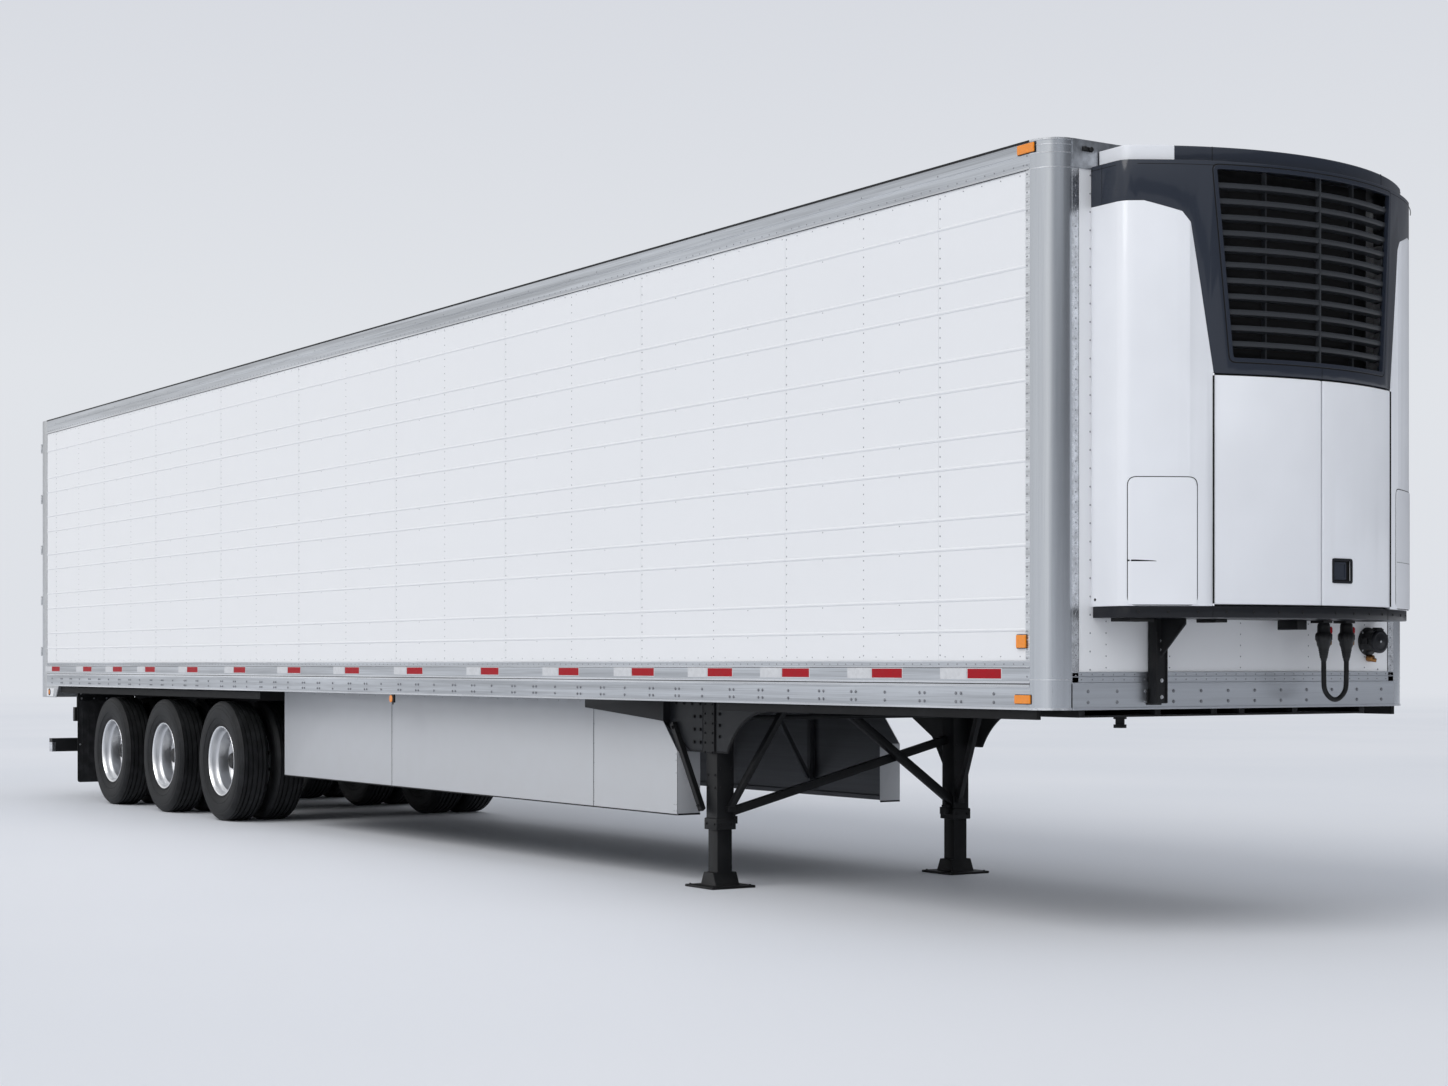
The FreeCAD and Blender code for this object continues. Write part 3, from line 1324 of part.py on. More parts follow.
def make_coupler():
    """Coupler plate with its ribs, and the kingpin."""
    plate_low = frame_low - size("coupler_depth")
    rib_low = plate_low + size("coupler_plate_thickness")
    front = front_face - size("coupler_setback")
    back = front - size("coupler_length")
    half = size("coupler_width") / 2
    rib = size("coupler_rib")
    x = front_face - size("kingpin_setback")
    skin = box("coupler_skin", (back, front), (-half, half), (plate_low, rib_low))
    thick = size("coupler_plate_thickness")
    seat = rod("kingpin_seat", "Z", size("kingpin_collar"), (x, 0, plate_low), thick)
    ribs = [
        box("coupler_rib", (back, front), (y - rib, y), (rib_low, frame_low))
        for y in (half, half / 2, size("coupler_keel") + rib / 2)
    ]
    node("coupler_plate", fuse("coupler_pieces", [cut("bored_skin", skin, [seat])] + both(ribs)))
    collar = plate_low - size("collar_length")
    neck = collar - size("neck_length")
    foot = neck - size("flange_length")
    section = [
        (rib_low, 0), (rib_low, size("kingpin_collar")), (collar, size("kingpin_collar")),
        (collar, size("kingpin_radius")), (neck, size("kingpin_radius")),
        (neck, size("kingpin_flange")), (foot, size("kingpin_flange")), (foot, 0),
    ]
    node("kingpin", turned("kingpin_turning", "Z", section, (x, 0, 0)))


# ---------------------------------------------------------------- refrigeration unit

unit_low = rail_low + size("unit_rise")
unit_high = body_top - size("unit_drop")
unit_front = front_face + size("unit_depth")
base_low = unit_low - size("base_height")
shroud_low = unit_high - size("shroud_height")
grille_low = shroud_low + size("grille_rise")
grille_high = unit_high - size("grille_drop")
MARGIN = 20  # how far the cutting shapes run past what they cut


def unit_block(name, inset, z_span):
    """The unit's outline in plan, bowed at the front with round corners, all set in by inset."""
    body = doc.addObject("PartDesign::Body", name)
    sketch = sketch_on(body, "XY_Plane")
    curve = size("unit_curve") - inset
    corner = size("unit_corner") - inset
    half = size("unit_width") / 2 - inset
    setback = size("unit_curve") - size("unit_depth")
    centre = Vector(-float(setback), 0, 0)
    corner_y = float(half - corner)
    corner_x = centre.x + math.sqrt(float(curve - corner) ** 2 - corner_y ** 2)
    slope = math.atan2(corner_y, corner_x - centre.x)
    up = Vector(0, 0, 1)
    top = float(half)
    left_ring = Part.Circle(Vector(corner_x, corner_y, 0), up, float(corner))
    right_ring = Part.Circle(Vector(corner_x, -corner_y, 0), up, float(corner))
    sketch.addGeometry(
        [
            Part.LineSegment(Vector(0, -top, 0), Vector(0, top, 0)),
            Part.LineSegment(Vector(0, top, 0), Vector(corner_x, top, 0)),
            Part.ArcOfCircle(left_ring, slope, math.pi / 2),
            Part.ArcOfCircle(Part.Circle(centre, up, float(curve)), -slope, slope),
            Part.ArcOfCircle(right_ring, -math.pi / 2, -slope),
            Part.LineSegment(Vector(corner_x, -top, 0), Vector(0, -top, 0)),
        ],
        False,
    )
    sketch.addConstraint(
        [
            Sketcher.Constraint("Coincident", 0, 2, 1, 1),
            Sketcher.Constraint("Tangent", 1, 2, 2, 2),
            Sketcher.Constraint("Tangent", 2, 1, 3, 2),
            Sketcher.Constraint("Tangent", 3, 1, 4, 2),
            Sketcher.Constraint("Tangent", 4, 1, 5, 1),
            Sketcher.Constraint("Coincident", 5, 2, 0, 1),
            Sketcher.Constraint("PointOnObject", 0, 1, -2),
            Sketcher.Constraint("Symmetric", 0, 1, 0, 2, -1, 1),
            Sketcher.Constraint("Horizontal", 1),
            Sketcher.Constraint("Horizontal", 5),
            Sketcher.Constraint("PointOnObject", 3, 3, -1),
            Sketcher.Constraint("Equal", 2, 4),
        ]
    )
    for constraint, value in (
        (Sketcher.Constraint("Radius", 3, float(curve)), curve),
        (Sketcher.Constraint("Radius", 2, float(corner)), corner),
        (Sketcher.Constraint("DistanceX", 3, 3, -1, 1, float(setback)), setback),
        (Sketcher.Constraint("DistanceY", -1, 1, 1, 1, top), half),
    ):
        index = sketch.addConstraint(constraint)
        bind(sketch, "Constraints[{}]".format(index), value)
    pad = body.newObject("PartDesign::Pad", name + "_pad")
    pad.Profile = sketch
    bind(pad, "Length", z_span[1] - z_span[0])
    return put(body, front_face, 0, z_span[0])


def unit_shell(name, inset, z_span):
    """A wall of panel thickness that follows the unit's outline."""
    outer = unit_block(name + "_outer", inset, z_span)
    taller = (z_span[0] - MARGIN, z_span[1] + MARGIN)
    inner = unit_block(name + "_inner", inset + size("panel_thickness"), taller)
    return cut(name, outer, [inner])


def unit_front_at(y):
    """Where the unit's bowed front stands at a distance from the middle."""
    bow = size("unit_curve")
    square = bow * bow - y * y
    reach = Size("sqrt(" + square.formula + ")", math.sqrt(float(square)))
    return unit_front - bow + reach


def across_unit(name, left_side):
    """A prism along X through the unit, from the outline of its left half."""
    outline = left_side + [(-across, up) for across, up in reversed(left_side)]
    return prism(name, "X", outline, (front_face - MARGIN, unit_front + MARGIN))


def make_unit_panels(shroud_half):
    """White side panels, with the fixed barrels of the door hinges on their edges."""
    seam = size("unit_door_width")
    door_half = [(seam, unit_low - MARGIN), (seam, shroud_low + 1)]
    panels = unit_shell("panel_wall", Size.of(0), (unit_low, unit_high))
    zones = [across_unit("shroud_zone", shroud_half), across_unit("door_zone", door_half)]
    side_panels = cut("side_panels", panels, zones)
    barrel = size("unit_door_gap") / 2 - size("barrel_gap") / 2
    foot = (unit_front_at(seam - barrel), seam - barrel, unit_low)
    barrels = both([rod("hinge_barrel", "Z", barrel, foot, shroud_low - unit_low)])
    node("unit_side_panels", fuse("side_panels_with_hinges", [side_panels] + barrels))


def make_grille(opening_half):
    """Curved louvre bars and uprights in the shroud's opening."""
    wall = unit_shell("louvre_wall", size("grille_inset"), (grille_low, grille_high))
    bars = []
    step = (grille_high - grille_low) / (size("louvre_count") + 1)
    reach = (front_face, unit_front)
    wide_bar = (-size("grille_top") - MARGIN, size("grille_top") + MARGIN)
    for count in range(round(float(size("louvre_count")))):
        middle = grille_low + (count + 1) * step
        bars.append(box("louvre_slab", reach, wide_bar, around(middle, size("louvre_height"))))
    upright = (grille_low - MARGIN, grille_high + MARGIN)
    for place in (-1, 0, 1):
        across = around(place * size("mullion_pitch"), size("mullion_width"))
        bars.append(box("mullion_slab", reach, across, upright))
    blank = common("louvre_blank", wall, fuse("louvre_slabs", bars))
    node("unit_grille", common("grille", blank, across_unit("grille_shape", opening_half)))


def make_unit(front_top_rail):
    """White side panels, dark shroud, louvres, base, cap and what stands inside."""
    waist = size("shroud_waist")
    band = unit_high - size("shroud_band")
    side_band = unit_high - size("shroud_side")
    wide = size("unit_width") / 2
    corner = wide - size("unit_corner")
    shroud_half = [
        (size("shroud_foot"), shroud_low), (waist, band - size("shroud_turn")),
        (waist + size("shroud_ear"), band), (corner, side_band), (wide + MARGIN, side_band),
        (wide + MARGIN, unit_high + MARGIN),
    ]
    make_unit_panels(shroud_half)
    opening_half = [(size("grille_foot"), grille_low), (size("grille_top"), grille_high)]
    wall = unit_shell("shroud_wall", Size.of(0), (shroud_low, unit_high))
    shroud = common("shroud_blank", wall, across_unit("shroud_shape", shroud_half))
    opening = across_unit("grille_opening", opening_half)
    node("unit_shroud", cut("shroud", shroud, [opening, front_top_rail]))
    make_grille(opening_half)
    node("unit_base", unit_block("unit_base_block", size("base_inset"), (base_low, unit_low)))
    cap = unit_block("unit_cap_block", size("cap_inset"), (unit_high, unit_high + size("cap_height")))
    node("unit_cap", cut("notched_cap", cap, [front_top_rail]))

    back = front_face + size("core_gap")
    core_up = (shroud_low + size("core_gap"), unit_high)
    along = (back, back + size("core_depth"))
    node("unit_condenser", box("core", along, around(0, size("core_width")), core_up))
    engine_up = (unit_low, shroud_low - size("engine_gap"))
    along = (back, back + size("engine_depth"))
    node("unit_engine", box("engine", along, around(0, size("engine_width")), engine_up))


def make_unit_door(label, side):
    """One hinged front door, cut from the same bowed wall."""
    gap = size("unit_door_gap")
    span = (unit_low + gap, shroud_low - gap)
    wall = unit_shell(label + "_wall", Size.of(0), span)
    across = on_side(side, gap / 2, size("unit_door_width") - gap)
    zone = box(label + "_zone", (front_face, unit_front + 1), across, span)
    door = common(label + "_panel", wall, zone)
    if side > 0:
        near = size("latch_near")
        latch_low = unit_low + size("latch_rise")
        pocket = box(
            "latch_pocket",
            (unit_front - size("panel_thickness"), unit_front + 1),
            (near, near + size("latch_width")),
            (latch_low, latch_low + size("latch_height")),
        )
        behind = unit_block("latch_back", size("latch_depth"), span)
        door = cut(label + "_with_latch", door, [cut("latch_recess", pocket, [behind])])
    node(label, door)


connector_low = base_low - size("connector_drop")
# brackets under the unit: (right edge, left edge, height)
UNIT_BRACKETS = ((-960, -800, 18), (-380, -300, 18), (200, 270, 50))


def make_under_unit():
    """Support post, small brackets, connectors with their cable, and the round socket."""
    face = front_face + rail_web
    front = face + size("support_depth")
    middle = -size("support_middle")
    reach = size("gusset_reach")
    lip = base_low - size("support_rise")
    gusset = [
        (front, base_low), (front, base_low - size("gusset_height")),
        (front + reach, lip), (front + reach, base_low),
    ]
    post_up = (rail_low + size("support_rise"), base_low)
    pieces = [
        box("support_post", (face, front), around(middle, size("support_width")), post_up),
        prism("support_gusset", "Y", gusset, around(middle, size("gusset_plate"))),
    ]
    for right, left, height in UNIT_BRACKETS:
        along = (front, front + size("bracket_reach"))
        pieces.append(box("unit_bracket", along, (right, left), (base_low - height, base_low)))
    node("unit_supports", fuse("support_set", pieces))

    x = front_face + size("connector_offset")
    low = connector_low
    body = size("connector_radius")
    nose = size("connector_nose")
    swell = size("connector_swell")
    step = size("connector_step")
    neck = low + size("connector_neck")
    waist = neck + step / 2
    section = [
        (base_low, 0), (base_low, body), (waist + 2 * step, body), (waist + step, body + swell),
        (waist, body - swell), (neck, nose), (low, nose), (low, 0),
    ]
    plugs = [
        turned("connector", "Z", section, (x, y, 0))
        for y in (size("connector_left"), size("connector_right"))
    ]
    y = size("socket_side")
    z = base_low - size("socket_drop")
    for name in ("socket", "fitting"):
        start = (front_face, y, z)
        plugs.append(rod(name, "X", size(name + "_radius"), start, size(name + "_reach")))
        z = z - size("fitting_drop")
    node("front_connectors", fuse("connector_set", plugs))


def make_cable():
    """The cable that hangs in a loop between the two connectors."""
    radius = float(size("cable_radius"))
    x = float(front_face + size("connector_offset"))
    top = float(connector_low)
    # route: (to the left of the right connector, below the connectors)
    drops = [(0, 0), (0, 81), (4, 166), (85, 216), (166, 166), (170, 81), (170, 0)]
    start = float(size("connector_right"))
    points = [Vector(x, start + across, top - down) for across, down in drops]
    edges = []
    last = points[0]
    for before, corner, after in zip(points, points[1:], points[2:]):
        back = before - corner
        ahead = after - corner
        turn = math.pi - back.getAngle(ahead)
        reach = 0.45 * min(back.Length, ahead.Length)
        bend = reach / math.tan(turn / 2)
        print("cable bend radius {:.0f} mm".format(bend))
        back.normalize()
        ahead.normalize()
        enter = corner + back * reach
        leave = corner + ahead * reach
        towards = back + ahead
        towards.normalize()
        middle = corner + towards * (bend / math.cos(turn / 2) - bend)
        edges.append(Part.LineSegment(last, enter).toShape())
        edges.append(Part.Arc(enter, middle, leave).toShape())
        last = leave
    edges.append(Part.LineSegment(last, points[-1]).toShape())
    path = Part.Wire(edges)
    ring = Part.Wire(Part.makeCircle(radius, points[0], points[1] - points[0]))
    tube = path.makePipeShell([ring], True, False)
    expected = math.pi * radius ** 2 * path.Length
    print("cable length {:.1f} mm, volume share {:.4f}".format(path.Length, tube.Volume / expected))
    thing = doc.addObject("Part::Feature", "cable")
    thing.Shape = tube
    node("power_cable", thing)


# ---------------------------------------------------------------- lamps

# lamps on a side: (behind the front wall's face, length, height, low edge, on the sheet or the rail)
SIDE_LAMPS = (
    (296, 126, 47, top_rail_low + 80, half_width),
    (314, 119, 43, rail_low + 31, half_width),
    (279, 73, 65, rail_low + 308, sheet_face),
)


def make_lamps():
    """Marker lamps along the body, and the lamps of the rear frame."""
    proud = size("lamp_proud")
    left = []
    for back, length, height, low, face in SIDE_LAMPS:
        start = front_face - back
        up = (low, low + height)
        left.append(box("side_lamp", (start, start + length), (face, face + proud), up))
    ahead = front_face + rail_web
    end = half_width - size("top_lamp_inset")
    top = body_top - size("top_lamp_drop")
    across = (end - size("top_lamp_width"), end)
    left.append(box("top_lamp", (ahead, ahead + proud), across, (top - size("top_lamp_height"), top)))
    lamp = size("hanging_lamp")
    along = around(front_face - size("hanging_lamp_back"), lamp)
    across = (half_width - size("rail_lip"), half_width - proud)
    left.append(box("hanging_lamp", along, across, (rail_low - lamp, rail_low)))
    node("marker_lamps", fuse("marker_lamp_set", both(left)))

    proud = size("rear_lamp_depth")
    along = (frame_back - proud, frame_back)
    height = sill_low + size("tail_lamp_rise")
    outer = half_width - size("tail_lamp_inset")
    rear = [
        rod("tail_lamp", "X", size("tail_lamp_radius"), (frame_back - proud, y, height), proud)
        for y in (outer, outer - size("tail_lamp_pitch"))
    ]
    header = header_low + size("header_lamp_rise")
    up = (header, header + size("header_lamp_height"))
    lamp = size("header_lamp_width")
    rear.append(box("corner_lamp", along, around(half_width - size("post_width") / 2, lamp), up))
    centre = [
        box("header_lamp", along, around(place * size("header_lamp_pitch"), lamp), up)
        for place in (-1, 0, 1)
    ]
    node("rear_lamps", fuse("rear_lamp_set", both(rear) + centre))


# ---------------------------------------------------------------- whole trailer

front_top_rail = box(
    "front_top_rail",
    (front_face, front_face + rail_web),
    (-post_centre, post_centre),
    (top_rail_low, body_top),
)
make_rails(front_top_rail)
make_walls(make_corner_posts())
make_crossmembers()
make_rear_frame()
for door_label, gear_label, door_way in (
    ("rear_door_left", "rear_door_gear_left", 1),
    ("rear_door_right", "rear_door_gear_right", -1),
):
    make_rear_door(door_label, door_way)
    make_door_gear(gear_label, door_way)
for axle_name, axle_x in axle_places:
    make_wheel(axle_name + "_left", axle_x, 1)
    make_wheel(axle_name + "_right", axle_x, -1)
make_axles()
make_suspension()
make_landing_gear()
make_skirts()
make_tanks()
make_rear_guard()
make_coupler()
make_unit(front_top_rail)
make_unit_door("unit_door_left", 1)
make_unit_door("unit_door_right", -1)
make_under_unit()
make_cable()
make_lamps()
doc.recompute()

faults = [thing.Name for thing in doc.Objects if "Invalid" in thing.State or "Error" in thing.State]
for part in nodes:
    if part.Shape.isNull() or not part.Shape.isValid() or not part.Shape.Solids:
        faults.append(part.Label)
if faults:
    raise RuntimeError("failed: " + ", ".join(faults))

os.makedirs("parts", exist_ok=True)
for part in nodes:
    part.Shape.exportStep("parts/" + part.Label + ".step")
    shape = part.Shape
    print("{:24s} {:3d} solids {:8.4f} m3".format(part.Label, len(shape.Solids), shape.Volume / 1e9))
print(len(nodes), "nodes")
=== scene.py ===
"""Looks of a refrigerated semi trailer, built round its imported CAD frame.

Everything is in metres in the trailer's own frame: +X forward, +Y to its left, +Z up.
"""

from __future__ import annotations

import json
import logging
import math
from collections.abc import Iterable, Sequence
from dataclasses import dataclass, field
from enum import Enum
from typing import Any, Union

import bmesh
import bpy
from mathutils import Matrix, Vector

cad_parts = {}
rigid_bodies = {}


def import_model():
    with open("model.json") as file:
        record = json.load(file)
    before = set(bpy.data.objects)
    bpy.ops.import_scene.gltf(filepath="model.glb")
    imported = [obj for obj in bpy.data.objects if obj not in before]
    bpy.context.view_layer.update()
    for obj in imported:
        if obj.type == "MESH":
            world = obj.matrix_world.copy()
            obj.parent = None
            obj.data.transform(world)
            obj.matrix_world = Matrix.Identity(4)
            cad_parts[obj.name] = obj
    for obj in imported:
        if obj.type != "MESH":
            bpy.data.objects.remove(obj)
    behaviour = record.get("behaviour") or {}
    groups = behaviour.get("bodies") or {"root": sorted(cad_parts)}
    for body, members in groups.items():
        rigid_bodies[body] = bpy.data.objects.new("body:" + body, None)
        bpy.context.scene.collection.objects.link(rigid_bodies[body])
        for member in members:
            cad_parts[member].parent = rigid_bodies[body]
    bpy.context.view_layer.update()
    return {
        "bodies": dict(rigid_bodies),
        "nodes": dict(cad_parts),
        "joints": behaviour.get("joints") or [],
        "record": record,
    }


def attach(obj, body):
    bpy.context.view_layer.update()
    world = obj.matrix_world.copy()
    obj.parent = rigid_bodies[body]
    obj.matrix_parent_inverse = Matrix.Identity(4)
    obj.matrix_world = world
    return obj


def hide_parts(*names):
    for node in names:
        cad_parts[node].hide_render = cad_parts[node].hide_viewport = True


LOG = logging.getLogger("trailer")

Place = tuple[float, float, float]
Colour = tuple[float, float, float]
Span = tuple[float, float]
Outline = Sequence[Span]
Term = Union["Value", float]

BODY = "trailer_body"

AHEAD: Place = (1.0, 0.0, 0.0)
BEHIND: Place = (-1.0, 0.0, 0.0)
UPWARD: Place = (0.0, 0.0, 1.0)
DOWNWARD: Place = (0.0, 0.0, -1.0)

# Distances from the centreline: the walls' outer sheet and the rails' outer face.
SKIN = 1.294
RAIL_FACE = 1.300
# Heights: the bottom rail, the top rail's foot, the trailer's top.
RAIL_FOOT = 1.160
RAIL_LIP = 1.171
RAIL_TOP = 1.404
TOP_RAIL_FOOT = 3.837
TOP = 3.980
# Places along the trailer: the side sheets' rear end, the rear frame's back, the front wall.
REAR_END = -8.244
FRAME_BACK = -8.394
FRONT_FACE = 7.906
# Radius of the front corner posts, and where they meet the sides.
CORNER = 0.145
POST_EDGE = FRONT_FACE - CORNER
# How far an applied strip, plate or lamp reaches into what carries it.
SUNK = 0.001
BITE = 0.0005


class Side(Enum):
    """A side of the trailer."""

    LEFT = 1
    RIGHT = -1

    @property
    def label(self) -> str:
        """The side's name inside a piece's name."""
        return self.name.lower()

    @property
    def outward(self) -> Place:
        """The direction that points out of this side."""
        return 0.0, float(self.value), 0.0

    def span(self, inner: float, outer: float) -> Span:
        """Two distances from the centreline as places across the trailer, lowest first."""
        low, high = sorted((self.value * inner, self.value * outer))
        return low, high


class Axis(Enum):
    """A direction of the trailer's frame."""

    ALONG = 0
    ACROSS = 1
    UP = 2


def steps(first: float, last: float, pitch: float) -> list[float]:
    """Places in a row, with both ends kept and the pitch near the one asked for.

    Args:
        first: The first place.
        last: The last place.
        pitch: About how far one is from the next.

    Returns:
        The places in order.
    """
    count = max(1, round(abs(last - first) / pitch))
    return [first + (last - first) * k / count for k in range(count + 1)]


def linear(colour: str) -> Colour:
    """A display colour, as six hexadecimal digits, in the linear values that shaders take.

    Args:
        colour: Red, green and blue, two digits each.

    Returns:
        The three linear values.
    """
    parts = [int(colour[k : k + 2], 16) / 255 for k in (0, 2, 4)]
    red, green, blue = (p / 12.92 if p <= 0.04045 else ((p + 0.055) / 1.055) ** 2.4 for p in parts)
    return red, green, blue


# --------------------------------------------------------------------------- shader graphs


class Value:
    """A shader socket that takes part in Python arithmetic."""

    def __init__(self, graph: "Graph", socket: bpy.types.NodeSocket) -> None:
        """Wraps an output socket of a graph."""
        self.graph = graph
        self.socket = socket

    def math(self, operation: str, *terms: Term) -> "Value":
        """Adds one Math node.

        Args:
            operation: The Math node's operation.
            terms: Its inputs, in order.

        Returns:
            The node's result.
        """
        return self.graph.add("ShaderNodeMath", {"operation": operation}, dict(enumerate(terms)))

    def __add__(self, other: Term) -> "Value":
        """The sum."""
        return self.math("ADD", self, other)

    __radd__ = __add__

    def __sub__(self, other: Term) -> "Value":
        """The difference."""
        return self.math("SUBTRACT", self, other)

    def __rsub__(self, other: Term) -> "Value":
        """The difference, taken from a number."""
        return self.math("SUBTRACT", other, self)

    def __mul__(self, other: Term) -> "Value":
        """The product."""
        return self.math("MULTIPLY", self, other)

    __rmul__ = __mul__

    def wave(self, pitch: float) -> "Value":
        """A sine from 0 to 1 that repeats every pitch."""
        return self.math("SINE", self * (2 * math.pi / pitch)) * 0.5 + 0.5

    def ramp(self, low: float, high: float) -> "Value":
        """Rises smoothly from 0 at low to 1 at high."""
        settings = {"interpolation_type": "SMOOTHSTEP"}
        return self.graph.add("ShaderNodeMapRange", settings, {0: self, 1: low, 2: high})


class Graph:
    """The node graph of one material."""

    def __init__(self, name: str) -> None:
        """Starts a material with an empty surface shader."""
        self.material = bpy.data.materials.new(name)
        self.material.use_nodes = True
        self.tree = self.material.node_tree
        self.surface = self.tree.nodes["Principled BSDF"]

    def add(
        self,
        kind: str,
        settings: dict[str, Any] | None = None,
        values: dict[Any, Any] | None = None,
        output: int | str = 0,
    ) -> Value:
        """Adds a node, sets it up and feeds it.

        Args:
            kind: The node's type.
            settings: Its properties, and a colour ramp's stops under the key "stops".
            values: Numbers, colours or links, by socket.
            output: The socket that is handed back.

        Returns:
            The wrapped output.
        """
        node = self.tree.nodes.new(kind)
        for name, setting in (settings or {}).items():
            if name == "stops":
                self.set_stops(node.color_ramp, setting)
            else:
                setattr(node, name, setting)
        for key, value in (values or {}).items():
            self.feed(node.inputs[key], value)
        return Value(self, node.outputs[output])

    def feed(self, socket: bpy.types.NodeSocket, value: Any) -> None:
        """Links a wrapped value to a socket, or sets the socket to a constant."""
        if isinstance(value, Value):
            self.tree.links.new(value.socket, socket)
        elif isinstance(value, tuple) and len(value) == 3 and socket.type == "RGBA":
            socket.default_value = (*value, 1.0)
        else:
            socket.default_value = value

    @staticmethod
    def set_stops(ramp: bpy.types.ColorRamp, stops: Sequence[tuple[float, Colour]]) -> None:
        """Sets a ramp's stops, each a place and a colour."""
        while len(ramp.elements) < len(stops):
            ramp.elements.new(0.5)
        for element, (place, colour) in zip(ramp.elements, stops):
            element.position = place
            element.color = (*colour, 1.0)

    def place(self, stretch: Place = (1.0, 1.0, 1.0)) -> Value:
        """The point on the object, in metres.

        Args:
            stretch: What each direction is multiplied by.

        Returns:
            The place as a vector.
        """
        where = self.add("ShaderNodeTexCoord", output="Object")
        return self.add("ShaderNodeMapping", {}, {"Vector": where, "Scale": stretch})

    def parts(self, vector: Value) -> tuple[Value, Value, Value]:
        """The three numbers of a vector."""
        split = self.add("ShaderNodeSeparateXYZ", {}, {0: vector})
        x, y, z = split.socket.node.outputs
        return Value(self, x), Value(self, y), Value(self, z)

    def noise(self, vector: Value, scale: float, detail: float = 2.0) -> Value:
        """Soft noise round one half."""
        return self.add("ShaderNodeTexNoise", {}, {"Vector": vector, "Scale": scale, "Detail": detail})

    def cells(self, vector: Value, scale: float) -> Value:
        """A random grey for each cell of a Voronoi pattern."""
        values = {"Vector": vector, "Scale": scale}
        colour = self.add("ShaderNodeTexVoronoi", {}, values, "Color")
        return self.parts(colour)[0]

    def mix(self, share: Term, first: Any, second: Any) -> Value:
        """A colour between two, by share."""
        return self.add("ShaderNodeMix", {"data_type": "RGBA"}, {0: share, 6: first, 7: second}, 2)

    def bump(self, height: Value, depth: float, strength: float = 1.0) -> Value:
        """A normal bent by a height, where depth is the metres that 1 stands for."""
        return self.add("ShaderNodeBump", {}, {"Strength": strength, "Distance": depth, "Height": height})

    def dress(self, **values: Any) -> None:
        """Feeds the surface shader, with spaces in socket names written as underscores."""
        for name, value in values.items():
            self.feed(self.surface.inputs[name.replace("_", " ")], value)


@dataclass(frozen=True)
class Finish:
    """A finish of the trailer, made once as a material.

    Args:
        name: The material's name.
        colour: Its main colour.
        roughness: From 0, a mirror, to 1.
        slot: The record's material slot that it stands for; not used.
    """

    name: str
    colour: Colour
    roughness: float
    slot: str = ""

    def material(self) -> bpy.types.Material:
        """The material, made on first use."""
        made = bpy.data.materials.get(self.name)
        if made is None:
            graph = Graph(self.name)
            self.paint(graph)
            graph.dress(Specular_IOR_Level=0.5 if min(self.colour) > 0.1 else 0.2)
            made = graph.material
        return made

    def paint(self, graph: Graph) -> None:
        """Builds the finish's own pattern in a graph."""
        raise NotImplementedError

    def shade(self, factor: float) -> Colour:
        """The main colour, made darker or lighter."""
        red, green, blue = (min(1.0, part * factor) for part in self.colour)
        return red, green, blue


@dataclass(frozen=True)
class PaintedSheet(Finish):
    """Painted metal sheet, a little uneven, with film of road dust low down.

    Args:
        coat: How much clear coat lies over it.
        dust: How strongly dust shows near dust_top and below.
        dust_top: Height at which the dust ends.
        wave: Depth of its slow unevenness.
    """

    coat: float = 0.3
    dust: float = 0.05
    dust_top: float = 1.9
    wave: float = 0.0015

    def paint(self, graph: Graph) -> None:
        """Mixes clean and dusty paint by height, over slow waves and fine grain."""
        spot = graph.place()
        height = graph.parts(spot)[2]
        slow = graph.noise(graph.place((0.35, 0.35, 1.1)), 2.2)
        fine = graph.noise(spot, 160.0, 3.0)
        blotch = graph.noise(spot, 7.0, 4.0)
        low = 1.0 - height.ramp(self.dust_top - 0.9, self.dust_top)
        share = (low * blotch + blotch * 0.2) * self.dust
        colour = graph.mix(slow * 0.5 + fine * 0.2, self.shade(0.965), self.shade(1.02))
        dusty = graph.mix(share, colour, linear("A39C92"))
        waves = graph.bump(slow, self.wave, 0.5)
        grain = {"Strength": 0.06, "Distance": 0.0004, "Height": fine, "Normal": waves}
        normal = graph.add("ShaderNodeBump", {}, grain)
        rough = blotch * 0.12 + (self.roughness - 0.06)
        graph.dress(Base_Color=dusty, Roughness=rough, Normal=normal)
        graph.dress(Coat_Weight=self.coat, Coat_Roughness=0.12)


@dataclass(frozen=True)
class DrawnMetal(Finish):
    """Bare metal with the fine lines of drawing or brushing along one direction.

    Args:
        grain: The direction of its lines.
        streak: How much the lines change the colour.
    """

    grain: Axis = Axis.ALONG
    streak: float = 0.35

    def paint(self, graph: Graph) -> None:
        """Stretches noise along the grain, and adds dull and bright bands."""
        fine_scale = [260.0] * 3
        wide_scale = [26.0] * 3
        fine_scale[self.grain.value] = 2.0
        wide_scale[self.grain.value] = 0.35
        fine = graph.noise(graph.place(tuple(fine_scale)), 1.0, 2.0)
        wide = graph.noise(graph.place(tuple(wide_scale)), 1.0, 3.0)
        cloud = graph.noise(graph.place(), 5.0, 3.0)
        share = (fine * 0.4 + wide * 0.6).ramp(0.3, 0.7)
        low = self.shade(1.0 - self.streak)
        colour = graph.mix(share, low, self.shade(1.0 + self.streak / 3))
        calm = self.roughness - self.streak * 0.35
        rough = fine * (self.streak * 0.4) + cloud * (self.streak * 0.3) + calm
        normal = graph.bump(fine, self.streak * 0.0003, 0.5)
        graph.dress(Base_Color=colour, Roughness=rough, Normal=normal, Metallic=1.0)


